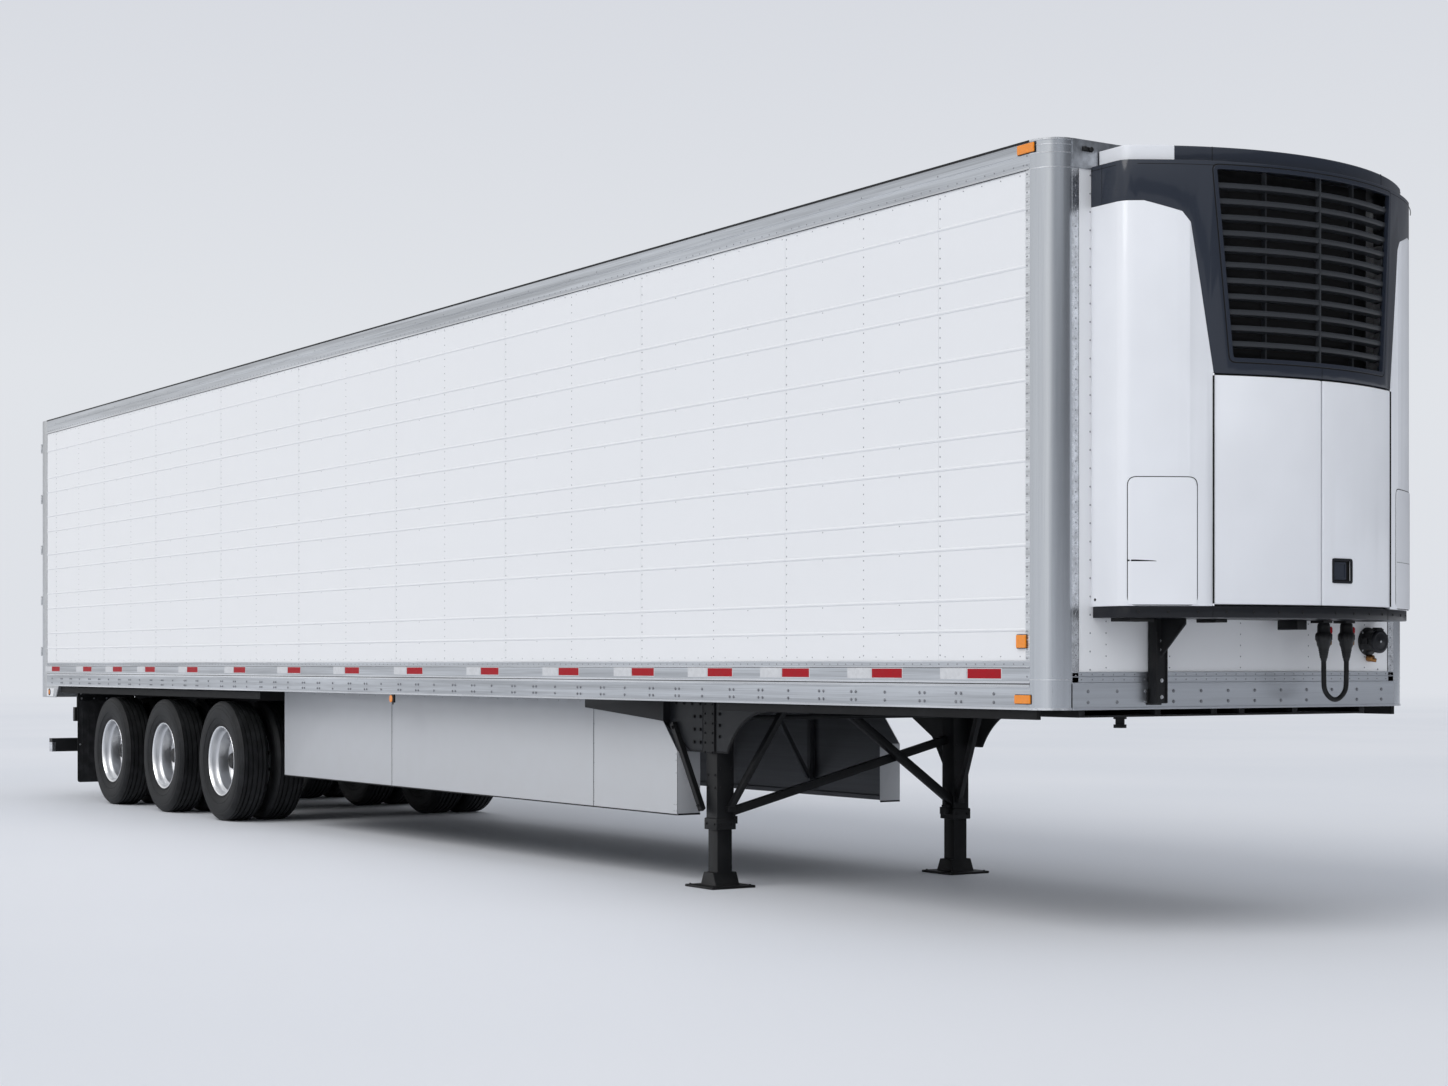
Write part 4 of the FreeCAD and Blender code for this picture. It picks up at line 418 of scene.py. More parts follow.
@dataclass(frozen=True)
class ZincCoat(Finish):
    """Zinc-coated steel with its spangle."""

    def paint(self, graph: Graph) -> None:
        """Gives each crystal of the zinc its own grey and sheen."""
        spot = graph.place()
        flake = graph.cells(spot, 85.0)
        cloud = graph.noise(spot, 9.0, 3.0)
        colour = graph.mix(flake * 0.55 + cloud * 0.45, self.shade(0.72), self.shade(1.15))
        normal = graph.bump(flake * 0.4 + cloud, 0.0003, 0.5)
        rough = flake * 0.18 + (self.roughness - 0.06)
        graph.dress(Base_Color=colour, Roughness=rough, Normal=normal, Metallic=0.85)


@dataclass(frozen=True)
class ChassisPaint(Finish):
    """Dark paint over welded and cast steel, with dust on what faces up.

    Args:
        peel: Depth of the paint's orange peel.
        dust: How strongly dust shows.
    """

    peel: float = 0.0008
    dust: float = 0.10

    def paint(self, graph: Graph) -> None:
        """Mixes paint and dust by the surface's own direction."""
        spot = graph.place()
        grain = graph.noise(spot, 190.0, 3.0)
        blotch = graph.noise(spot, 6.0, 4.0)
        facing = graph.parts(graph.add("ShaderNodeNewGeometry", {}, {}, "Normal"))[2]
        dust = facing.ramp(0.2, 1.0) * 0.6 + blotch.ramp(0.45, 0.85)
        colour = graph.mix(blotch, self.shade(0.8), self.shade(1.35))
        dusty = graph.mix(dust * self.dust, colour, linear("8B8780"))
        normal = graph.bump(grain, self.peel, 0.35)
        rough = blotch * 0.2 + (self.roughness - 0.1)
        graph.dress(Base_Color=dusty, Roughness=rough, Normal=normal)


@dataclass(frozen=True)
class Rubber(Finish):
    """Moulded rubber with a fine skin and paler scuffs."""

    def paint(self, graph: Graph) -> None:
        """Mixes black rubber and its grey bloom."""
        spot = graph.place()
        skin = graph.noise(spot, 240.0, 4.0)
        bloom = graph.noise(spot, 11.0, 5.0)
        colour = graph.mix(bloom.ramp(0.35, 0.8), self.colour, self.shade(2.1))
        normal = graph.bump(skin, 0.0006, 0.4)
        rough = bloom * 0.2 + (self.roughness - 0.1)
        graph.dress(Base_Color=colour, Roughness=rough, Normal=normal)


@dataclass(frozen=True)
class MouldedShell(Finish):
    """Moulded panel with a smooth face and a faint pebble.

    Args:
        pebble: Depth of the pebble.
        coat: How much gloss lies over it.
    """

    pebble: float = 0.0002
    coat: float = 0.2

    def paint(self, graph: Graph) -> None:
        """Adds a pebble and a slow change of tone."""
        spot = graph.place()
        pebble = graph.noise(spot, 320.0, 2.0)
        tone = graph.noise(spot, 2.6, 2.0)
        colour = graph.mix(tone, self.shade(0.94), self.shade(1.05))
        rough = tone * 0.1 + pebble * 0.06 + (self.roughness - 0.08)
        normal = graph.bump(pebble, self.pebble, 0.4)
        graph.dress(Base_Color=colour, Roughness=rough, Normal=normal)
        graph.dress(Coat_Weight=self.coat, Coat_Roughness=0.1)


@dataclass(frozen=True)
class LampLens(Finish):
    """Clear coloured lens with moulded flutes, a little brighter in the middle of each.

    Args:
        flute: Width of one flute.
        glow: How much of its colour it gives back by itself.
    """

    flute: float = 0.007
    glow: float = 0.12

    def paint(self, graph: Graph) -> None:
        """Runs flutes up the lens."""
        spot = graph.place()
        along, across, _ = graph.parts(spot)
        flutes = (along + across).wave(self.flute)
        tone = graph.noise(spot, 60.0, 2.0)
        colour = graph.mix(flutes * 0.6 + tone * 0.4, self.shade(0.6), self.shade(1.15))
        normal = graph.bump(flutes, 0.0012, 0.6)
        graph.dress(Base_Color=colour, Roughness=tone * 0.1 + self.roughness, Normal=normal)
        graph.dress(Emission_Color=colour, Emission_Strength=self.glow, Coat_Weight=0.7)


@dataclass(frozen=True)
class PrismTape(Finish):
    """Reflective tape with its small diamond cells."""

    def paint(self, graph: Graph) -> None:
        """Crosses two fine waves for the cells, and mottles them."""
        spot = graph.place()
        along, across, height = graph.parts(spot)
        cells = (along + across + height).wave(0.009) * (along + across - height).wave(0.009)
        mottle = graph.cells(spot, 55.0)
        colour = graph.mix(cells * 0.6 + mottle * 0.4, self.shade(0.86), self.shade(1.12))
        normal = graph.bump(cells, 0.0002, 0.4)
        graph.dress(Base_Color=colour, Roughness=mottle * 0.1 + self.roughness, Normal=normal)


@dataclass(frozen=True)
class TurnedMetal(Finish):
    """Polished or turned metal with rings round its own axis, read from the piece's UV map.

    Args:
        ring: Width of one tool mark.
        streak: How strongly spokes of painted highlight run out from the axis.
    """

    ring: float = 0.0016
    streak: float = 0.5

    def paint(self, graph: Graph) -> None:
        """Lays tool marks along the profile, and spokes of painted highlight by the angle."""
        place = graph.add("ShaderNodeUVMap", {"uv_map": "turn"})
        angle, run, _ = graph.parts(place)
        marks = run.wave(self.ring)
        turn = graph.add("ShaderNodeCombineXYZ", {}, {0: angle * 16.0, 1: run * 3.0})
        spokes = graph.noise(turn, 1.0, 2.0).ramp(0.3, 0.7)
        cloud = graph.noise(graph.place(), 4.0, 2.0)
        # The spokes are painted highlights: lighter radial streaks in the base colour.
        share = spokes * self.streak + cloud * (1.0 - self.streak)
        colour = graph.mix(share, self.shade(0.92), self.shade(1.05))
        rough = spokes * 0.05 + cloud * 0.03 + (self.roughness - 0.04)
        normal = graph.bump(marks, 0.00003, 0.4)
        graph.dress(Base_Color=colour, Roughness=rough, Normal=normal, Metallic=1.0)


ALUMINIUM: Colour = (0.56, 0.585, 0.62)


class Finishes:
    """Every finish on the trailer."""

    panel = PaintedSheet("panel white", (0.80, 0.81, 0.83), 0.36, "panel_white")
    door = PaintedSheet("door white", (0.80, 0.81, 0.83), 0.34, "door_white")
    skirt = PaintedSheet("skirt grey", (0.50, 0.515, 0.54), 0.42, "skirt_grey", 0.15, 0.12, 1.2)
    rail = DrawnMetal("rail aluminium", ALUMINIUM, 0.36, "rail_aluminium")
    post = DrawnMetal("post aluminium", ALUMINIUM, 0.22, "rail_aluminium", Axis.UP, 0.07)
    front = DrawnMetal("front rail aluminium", ALUMINIUM, 0.36, "rail_aluminium", Axis.ACROSS, 0.12)
    bright = DrawnMetal("bright trim", (0.72, 0.74, 0.77), 0.28, "rail_aluminium")
    floor = DrawnMetal("floor aluminium", (0.52, 0.54, 0.56), 0.4, "floor_aluminium")
    zinc = ZincCoat("zinc", (0.55, 0.565, 0.585), 0.38, "galvanised")
    rivet = ZincCoat("rivet", (0.30, 0.31, 0.33), 0.45, "galvanised")
    # Near-black copy of the zinc: painted shade for the skirt posts behind the skirts.
    dull = ZincCoat("dull zinc", (0.10, 0.105, 0.112), 0.5, "galvanised")
    lining = DrawnMetal("skirt lining", (0.12, 0.125, 0.135), 0.42, "skirt_grey", Axis.ALONG, 0.15)
    chassis = ChassisPaint("chassis black", (0.0075, 0.008, 0.009), 0.45, "frame_black", 0.0006, 0.03)
    gusset = ChassisPaint("gusset slate", (0.012, 0.0135, 0.016), 0.40, "frame_black", 0.0006, 0.05)
    tank = ChassisPaint("tank black", (0.016, 0.017, 0.019), 0.38, "tank_paint")
    tyre = Rubber("tyre rubber", (0.0105, 0.011, 0.012), 0.6, "tyre_rubber")
    # Near-black sheet of painted shade: the band under the nose and the plates over and inside the tyres.
    liner = Rubber("liner sheet", (0.006, 0.0062, 0.0068), 0.7, "frame_black")
    flap = Rubber("flap rubber", (0.014, 0.0145, 0.016), 0.6, "flap_rubber")
    bellows = Rubber("bellows rubber", (0.012, 0.0125, 0.0135), 0.6, "bellows_rubber")
    sheath = Rubber("cable sheath", (0.010, 0.0105, 0.011), 0.42, "cable_black")
    seal = Rubber("seal rubber", (0.01, 0.0105, 0.0115), 0.55, "cable_black")
    rim = TurnedMetal("rim polished", (0.62, 0.63, 0.65), 0.36, "rim_silver", 0.0016, 0.25)
    flange = TurnedMetal("rim flange", (0.86, 0.87, 0.89), 0.24, "rim_silver", 0.0016, 0.2)
    hub = ChassisPaint("hub black", (0.014, 0.0145, 0.016), 0.45, "rim_silver")
    white = MouldedShell("unit white", (0.80, 0.815, 0.85), 0.32, "unit_white", 0.00008, 0.35)
    slate = MouldedShell("shroud slate", (0.019, 0.0245, 0.038), 0.30, "shroud_slate", 0.00008, 0.55)
    louvre = MouldedShell("grille dark", (0.030, 0.033, 0.038), 0.42, "grille_black")
    base = MouldedShell("base dark", (0.008, 0.009, 0.012), 0.40, "base_black")
    core = MouldedShell("core black", (0.006, 0.006, 0.0065), 0.7, "core_black")
    engine = ChassisPaint("engine grey", (0.05, 0.053, 0.056), 0.55, "engine_grey")
    plug = MouldedShell("connector black", (0.012, 0.0125, 0.0135), 0.45, "connector_black")
    brass = DrawnMetal("brass", (0.35, 0.17, 0.06), 0.35, "connector_black", Axis.UP, 0.2)
    amber = LampLens("amber lens", (0.86, 0.26, 0.01), 0.16, "lamp_amber")
    red = LampLens("red lens", (0.50, 0.008, 0.012), 0.16, "lamp_red")
    red_tape = PrismTape("red tape", (0.36, 0.002, 0.010), 0.45, "lamp_red")
    white_tape = PrismTape("white tape", (0.62, 0.63, 0.65), 0.45, "panel_white")


NODE_FINISHES: dict[Finish, tuple[str, ...]] = {
    Finishes.panel: ("side_wall_left", "side_wall_right", "front_wall", "roof"),
    Finishes.rail: ("bottom_rails", "top_rails"),
    Finishes.post: ("front_corner_posts",),
    Finishes.floor: ("floor_deck",),
    Finishes.zinc: (
        "crossmembers", "rear_frame", "skirt_posts", "rear_door_gear_left", "rear_door_gear_right",
    ),
    Finishes.door: ("rear_door_left", "rear_door_right"),
    Finishes.skirt: ("side_skirts",),
    Finishes.chassis: (
        "axles", "suspension_frame", "suspension_hangers", "trailing_arms", "brake_chambers",
        "landing_leg_tubes", "landing_leg_feet", "landing_gear_plates", "landing_gear_braces",
        "landing_gear_crank", "rear_bumper", "mud_flap_hangers", "coupler_plate", "kingpin",
        "unit_supports",
    ),
    Finishes.bellows: ("air_springs",),
    Finishes.tank: ("air_tanks", "fuel_tank"),
    Finishes.flap: ("mud_flaps",),
    Finishes.white: ("unit_side_panels", "unit_door_left", "unit_door_right"),
    Finishes.slate: ("unit_shroud", "unit_cap"),
    Finishes.louvre: ("unit_grille",),
    Finishes.base: ("unit_base",),
    Finishes.core: ("unit_condenser",),
    Finishes.engine: ("unit_engine",),
    Finishes.plug: ("front_connectors",),
    Finishes.seal: ("power_cable",),
    Finishes.amber: ("marker_lamps",),
    Finishes.red: ("rear_lamps",),
}


# --------------------------------------------------------------------------- shapes


class Shape:
    """A mesh in the making, in the trailer's frame."""

    def __init__(self) -> None:
        """Starts empty."""
        self.mesh = bmesh.new()
        self.turn = self.mesh.loops.layers.uv.new("turn")

    def block(self, low: Place, high: Place) -> "Shape":
        """Adds a straight-sided block.

        Args:
            low: Its lowest corner.
            high: Its highest corner.

        Returns:
            This shape.
        """
        outline = [(low[0], low[1]), (high[0], low[1]), (high[0], high[1]), (low[0], high[1])]
        return self.prism(outline, Axis.UP, low[2], high[2])

    def mirrored(self, side: Side, along: Span, across: Span, up: Span) -> "Shape":
        """Adds a block whose places across the trailer are distances out from the centreline.

        Args:
            side: The side of the trailer.
            along: Its rear and front end.
            across: Its two faces, as distances from the centreline.
            up: Its foot and top.

        Returns:
            This shape.
        """
        low, high = side.span(*across)
        return self.block((along[0], low, up[0]), (along[1], high, up[1]))

    def prism(self, outline: Outline, axis: Axis, start: float, end: float) -> "Shape":
        """Adds an outline drawn out along an axis.

        Args:
            outline: Points in the plane of the two other axes, in the order x, y, z.
            axis: The direction it is drawn along.
            start: Where it begins.
            end: Where it ends.

        Returns:
            This shape.
        """
        return self.loft([[self.lift(point, axis, run) for point in outline] for run in (start, end)])

    def loft(self, rings: Sequence[Sequence[Place]]) -> "Shape":
        """Adds a closed skin through rings of equally many points, capped at both ends."""
        self.close([[self.mesh.verts.new(point) for point in ring] for ring in rings])
        return self

    def close(self, rings: list[list[bmesh.types.BMVert]]) -> None:
        """Joins rings of vertices into a closed solid, with its faces outwards."""
        made = [self.mesh.faces.new(rings[0]), self.mesh.faces.new(rings[-1])]
        for low, high in zip(rings, rings[1:]):
            count = len(low)
            for k in range(count):
                after = (k + 1) % count
                made.append(self.mesh.faces.new((low[k], low[after], high[after], high[k])))
        bmesh.ops.recalc_face_normals(self.mesh, faces=made)

    @staticmethod
    def lift(point: tuple[float, float], axis: Axis, run: float) -> Place:
        """A point of an outline, put into space at a place along the axis."""
        numbers = list(point)
        numbers.insert(axis.value, run)
        return numbers[0], numbers[1], numbers[2]

    def turned(self, profile: Outline, centre: Place, axis: Axis, segments: int = 48) -> "Shape":
        """Adds a solid of revolution whose profile is a closed loop.

        Args:
            profile: Points as (radius, run along the axis from the centre).
            centre: A point on the axis.
            axis: The axis.
            segments: How many sides it has.

        Returns:
            This shape.
        """
        count = len(profile)
        travel = [0.0]
        for a, b in zip(profile, [*profile[1:], profile[0]]):
            travel.append(travel[-1] + math.dist(a, b))
        rings = []
        for k in range(segments):
            angle = 2 * math.pi * k / segments
            ring = []
            for radius, run in profile:
                flat = (radius * math.cos(angle), radius * math.sin(angle))
                spot = self.lift(flat, axis, run)
                ring.append(self.mesh.verts.new([c + s for c, s in zip(centre, spot)]))
            rings.append(ring)
        made = []
        for k in range(segments):
            near, far = rings[k], rings[(k + 1) % segments]
            for i in range(count):
                j = (i + 1) % count
                face = self.mesh.faces.new((near[i], near[j], far[j], far[i]))
                spots = ((k, i), (k, i + 1), (k + 1, i + 1), (k + 1, i))
                for loop, (a, b) in zip(face.loops, spots):
                    loop[self.turn].uv = (a / segments, travel[b])
                made.append(face)
        bmesh.ops.recalc_face_normals(self.mesh, faces=made)
        return self

    def rod(self, start: Place, end: Place, radius: float, sides: int = 16) -> "Shape":
        """Adds a round rod with a small chamfer at each end.

        Args:
            start: The middle of its first end.
            end: The middle of its last end.
            radius: Its radius.
            sides: How many sides it has.

        Returns:
            This shape.
        """
        a, b = Vector(start), Vector(end)
        along = (b - a).normalized()
        across = along.orthogonal().normalized()
        third = along.cross(across)
        cut = min(radius * 0.25, (b - a).length * 0.2)
        rings = []
        angles = [2 * math.pi * k / sides for k in range(sides)]
        ways = [across * math.cos(t) + third * math.sin(t) for t in angles]
        inset, slim = along * cut, radius - cut
        for point, size in ((a, slim), (a + inset, radius), (b - inset, radius), (b, slim)):
            rings.append([tuple(point + way * size) for way in ways])
        return self.loft(rings)

    def copied(self, source: bpy.types.Object) -> "Shape":
        """Adds a CAD node's mesh, merged, with its flat faces joined up."""
        self.mesh.from_mesh(source.data)
        bmesh.ops.remove_doubles(self.mesh, verts=self.mesh.verts[:], dist=0.00002)
        parts = {"verts": self.mesh.verts[:], "edges": self.mesh.edges[:]}
        bmesh.ops.dissolve_limit(self.mesh, angle_limit=0.004, **parts)
        return self

    def piece(
        self,
        name: str,
        finish: Finish,
        body: str = BODY,
        bevel: float = 0.0,
        crease: float = 35.0,
        segments: int = 2,
        stands_for: Sequence[str] = (),
    ) -> bpy.types.Object:
        """Turns the shape into a piece that rides on a body.

        Args:
            name: The piece's name.
            finish: Its finish.
            body: The body that it rides on.
            bevel: Width of the rounding of its edges.
            crease: Edges sharper than this many degrees stay sharp, or are rounded.
            segments: How many faces round an edge.
            stands_for: CAD nodes that it replaces.

        Returns:
            The object.
        """
        mesh = bpy.data.meshes.new(name)
        self.mesh.to_mesh(mesh)
        self.mesh.free()
        mesh.polygons.foreach_set("use_smooth", [True] * len(mesh.polygons))
        obj = bpy.data.objects.new(name, mesh)
        bpy.context.scene.collection.objects.link(obj)
        if bevel:
            rounding = obj.modifiers.new("rounding", "BEVEL")
            rounding.width = bevel
            rounding.segments = segments
            rounding.limit_method = "ANGLE"
            rounding.angle_limit = math.radians(crease)
            rounding.use_clamp_overlap = True
            rounding.harden_normals = True
        else:
            mesh.set_sharp_from_angle(angle=math.radians(crease))
        return settle(obj, finish, body, stands_for)


def settle(
    obj: bpy.types.Object, finish: Finish, body: str, stands_for: Sequence[str] = ()
) -> bpy.types.Object:
    """Gives a piece its finish and body, and reports it.

    Args:
        obj: The piece.
        finish: Its finish.
        body: The body that it rides on.
        stands_for: CAD nodes that it replaces.

    Returns:
        The piece.
    """
    obj.data.materials.clear()
    obj.data.materials.append(finish.material())
    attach(obj, body)
    if stands_for:
        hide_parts(*stands_for)
    LOG.info("%s rides on %s", obj.name, body)
    return obj


# --------------------------------------------------------------------------- geometry nodes


class NodePlan:
    """A Geometry Nodes tree under construction, with named inputs."""

    def __init__(self, name: str, inputs: dict[str, tuple[str, Any]]) -> None:
        """Starts a tree.

        Args:
            name: The tree's name.
            inputs: For each input, its socket type and its value at the start.
        """
        self.tree = bpy.data.node_groups.new(name, "GeometryNodeTree")
        face = self.tree.interface
        face.new_socket("Geometry", in_out="INPUT", socket_type="NodeSocketGeometry")
        for title, (kind, value) in inputs.items():
            socket = face.new_socket(title, in_out="INPUT", socket_type=kind)
            socket.default_value = value
        face.new_socket("Geometry", in_out="OUTPUT", socket_type="NodeSocketGeometry")
        self.given = self.tree.nodes.new("NodeGroupInput")
        self.result = self.tree.nodes.new("NodeGroupOutput")

    def __getitem__(self, title: str) -> bpy.types.NodeSocket:
        """The socket of a named input."""
        return self.given.outputs[title]

    def add(
        self,
        kind: str,
        settings: dict[str, Any] | None = None,
        values: dict[Any, Any] | None = None,
        output: int | str = 0,
    ) -> bpy.types.NodeSocket:
        """Adds a node, sets it up and feeds it.

        Args:
            kind: The node's type.
            settings: Its properties.
            values: Numbers or links, by socket.
            output: The socket that is handed back.

        Returns:
            The output socket.
        """
        node = self.tree.nodes.new(kind)
        for name, setting in (settings or {}).items():
            setattr(node, name, setting)
        for key, value in (values or {}).items():
            if isinstance(value, bpy.types.NodeSocket):
                self.tree.links.new(value, node.inputs[key])
            else:
                node.inputs[key].default_value = value
        return node.outputs[output]

    def finish(self, geometry: bpy.types.NodeSocket) -> None:
        """Ends the tree with Realize Instances and Set Material."""
        real = self.add("GeometryNodeRealizeInstances", {}, {0: geometry})
        values = {"Geometry": real, "Material": self["Finish"]}
        dressed = self.add("GeometryNodeSetMaterial", {}, values)
        self.tree.links.new(dressed, self.result.inputs[0])

    def run(
        self,
        source: bpy.types.Mesh,
        name: str,
        finish: Finish,
        body: str = BODY,
        crease: float = 30.0,
        **inputs: Any,
    ) -> bpy.types.Object:
        """Runs the tree on a mesh and keeps the result as a plain piece.

        Args:
            source: The mesh that the tree works on.
            name: The piece's name.
            finish: Its finish.
            body: The body that it rides on.
            crease: Edges sharper than this many degrees stay sharp.
            inputs: The tree's inputs by name, with spaces written as underscores.

        Returns:
            The piece.
        """
        carrier = bpy.data.objects.new(name + "_plan", source)
        bpy.context.scene.collection.objects.link(carrier)
        modifier = carrier.modifiers.new("plan", "NODES")
        modifier.node_group = self.tree
        wanted = {key.replace("_", " "): value for key, value in inputs.items()}
        wanted["Finish"] = finish.material()
        for item in self.tree.interface.items_tree:
            if item.in_out == "INPUT" and item.name in wanted:
                modifier[item.identifier] = wanted[item.name]
        graph = bpy.context.evaluated_depsgraph_get()
        mesh = bpy.data.meshes.new_from_object(carrier.evaluated_get(graph))
        mesh.name = name
        bpy.data.objects.remove(carrier)
        mesh.polygons.foreach_set("use_smooth", [True] * len(mesh.polygons))
        mesh.set_sharp_from_angle(angle=math.radians(crease))
        piece = bpy.data.objects.new(name, mesh)
        bpy.context.scene.collection.objects.link(piece)
        return settle(piece, finish, body)


Spot = tuple[Place, Place]


def spots_mesh(spots: Sequence[Spot]) -> bpy.types.Mesh:
    """A mesh of loose points, each with the direction that it faces.

    Args:
        spots: Each point and its direction.

    Returns:
        The mesh, with the directions in its attribute "facing".
    """
    mesh = bpy.data.meshes.new("spots")
    mesh.from_pydata([place for place, _ in spots], [], [])
    facing = mesh.attributes.new("facing", "FLOAT_VECTOR", "POINT")
    facing.data.foreach_set("vector", [part for _, way in spots for part in way])
    return mesh


class Fixings:
    """Rivets and bolts, instanced on points that say which way they face."""

    def __init__(self) -> None:
        """Builds the two trees."""
        size = ("NodeSocketFloat", 0.004)
        shared = {
            "Radius": size, "Height": size,
            "Seed": ("NodeSocketInt", 7), "Finish": ("NodeSocketMaterial", None),
        }
        self.rivet_plan = NodePlan("rivets", shared)
        self.bolt_plan = NodePlan("bolts", shared)
        self.grow(self.rivet_plan, self.dome(self.rivet_plan))
        self.grow(self.bolt_plan, self.hexagon(self.bolt_plan))

    @staticmethod
    def scaled(plan: NodePlan, title: str, factor: float) -> bpy.types.NodeSocket:
        """One of the tree's inputs times a number."""
        return plan.add("ShaderNodeMath", {"operation": "MULTIPLY"}, {0: plan[title], 1: factor})

    def dome(self, plan: NodePlan) -> bpy.types.NodeSocket:
        """A low round head of eight sides."""
        values = {
            "Vertices": 8,
            "Radius Top": self.scaled(plan, "Radius", 0.55),
            "Radius Bottom": plan["Radius"],
            "Depth": plan["Height"],
        }
        return plan.add("GeometryNodeMeshCone", {}, values, "Mesh")

    def hexagon(self, plan: NodePlan) -> bpy.types.NodeSocket:
        """A six-sided head on a round washer."""
        head = {
            "Vertices": 6,
            "Radius Top": self.scaled(plan, "Radius", 0.68),
            "Radius Bottom": self.scaled(plan, "Radius", 0.74),
            "Depth": plan["Height"],
        }
        washer = {
            "Vertices": 12,
            "Radius Top": self.scaled(plan, "Radius", 0.95),
            "Radius Bottom": plan["Radius"],
            "Depth": self.scaled(plan, "Height", 0.3),
        }
        parts = [plan.add("GeometryNodeMeshCone", {}, values, "Mesh") for values in (head, washer)]
        joined = plan.tree.nodes.new("GeometryNodeJoinGeometry")
        for part in parts:
            plan.tree.links.new(part, joined.inputs[0])
        return joined.outputs[0]

    @staticmethod
    def grow(plan: NodePlan, head: bpy.types.NodeSocket) -> None:
        """Puts the head on every point, turned to face outwards and spun at random."""
        vector = {"data_type": "FLOAT_VECTOR"}
        facing = plan.add("GeometryNodeInputNamedAttribute", vector, {"Name": "facing"})
        turned = plan.add("FunctionNodeAlignRotationToVector", {"axis": "Z"}, {"Vector": facing})
        bounds = {2: 0.0, 3: 2 * math.pi, "Seed": plan["Seed"]}
        spin = plan.add("FunctionNodeRandomValue", {"data_type": "FLOAT"}, bounds, 1)
        own = plan.add("ShaderNodeCombineXYZ", {}, {2: spin})
        local = plan.add("FunctionNodeEulerToRotation", {}, {0: own})
        both = plan.add("FunctionNodeRotateRotation", {"rotation_space": "LOCAL"}, {0: turned, 1: local})
        values = {"Points": plan["Geometry"], "Instance": head, "Rotation": both}
        plan.finish(plan.add("GeometryNodeInstanceOnPoints", {}, values))

    def rivets(
        self,
        name: str,
        spots: Sequence[Spot],
        finish: Finish,
        body: str = BODY,
        radius: float = 0.0045,
        height: float = 0.002,
    ) -> bpy.types.Object:
        """A piece of round-headed rivets at the given spots."""
        return self.rivet_plan.run(spots_mesh(spots), name, finish, body, Radius=radius, Height=height)

    def bolts(
        self,
        name: str,
        spots: Sequence[Spot],
        finish: Finish,
        body: str = BODY,
        radius: float = 0.014,
        height: float = 0.008,
    ) -> bpy.types.Object:
        """A piece of hexagon bolts with washers at the given spots."""
        return self.bolt_plan.run(spots_mesh(spots), name, finish, body, Radius=radius, Height=height)


# --------------------------------------------------------------------------- power cable and connectors


@dataclass
class PowerCable:
    """The cable that hangs in a loop between the two connectors.

    Args:
        ahead: Its place along the trailer.
        start: Where it leaves the right connector, across the trailer.
        top: Height of the connectors' noses.
        diameter: Its thickness.
        length: Its length; not used.
        drops: Its route, as (to the left, below the noses).
    """

    ahead: float = 8.106
    start: float = 0.400
    top: float = 1.406
    diameter: float = 0.026
    length: float = 0.501
    drops: tuple[tuple[float, float], ...] = (
        (0.0, 0.0), (0.0, 0.081), (0.004, 0.166), (0.085, 0.216), (0.166, 0.166), (0.170, 0.081),
        (0.170, 0.0),
    )

    def build(self, fixings: Fixings) -> None:
        """Makes the cable as one smooth curve."""
        curve = bpy.data.curves.new("cable", "CURVE")
        curve.dimensions = "3D"
        curve.bevel_depth = self.diameter / 2
        curve.bevel_resolution = 6
        curve.resolution_u = 24
        spline = curve.splines.new("NURBS")
        spline.points.add(len(self.drops) - 1)
        for point, (across, down) in zip(spline.points, self.drops):
            point.co = (self.ahead, self.start + across, self.top - down, 1.0)
        spline.order_u = 3
        spline.use_endpoint_u = True
        cable = bpy.data.objects.new("cable", curve)
        bpy.context.scene.collection.objects.link(cable)
        settle(cable, Finishes.sheath, BODY, ("power_cable",))


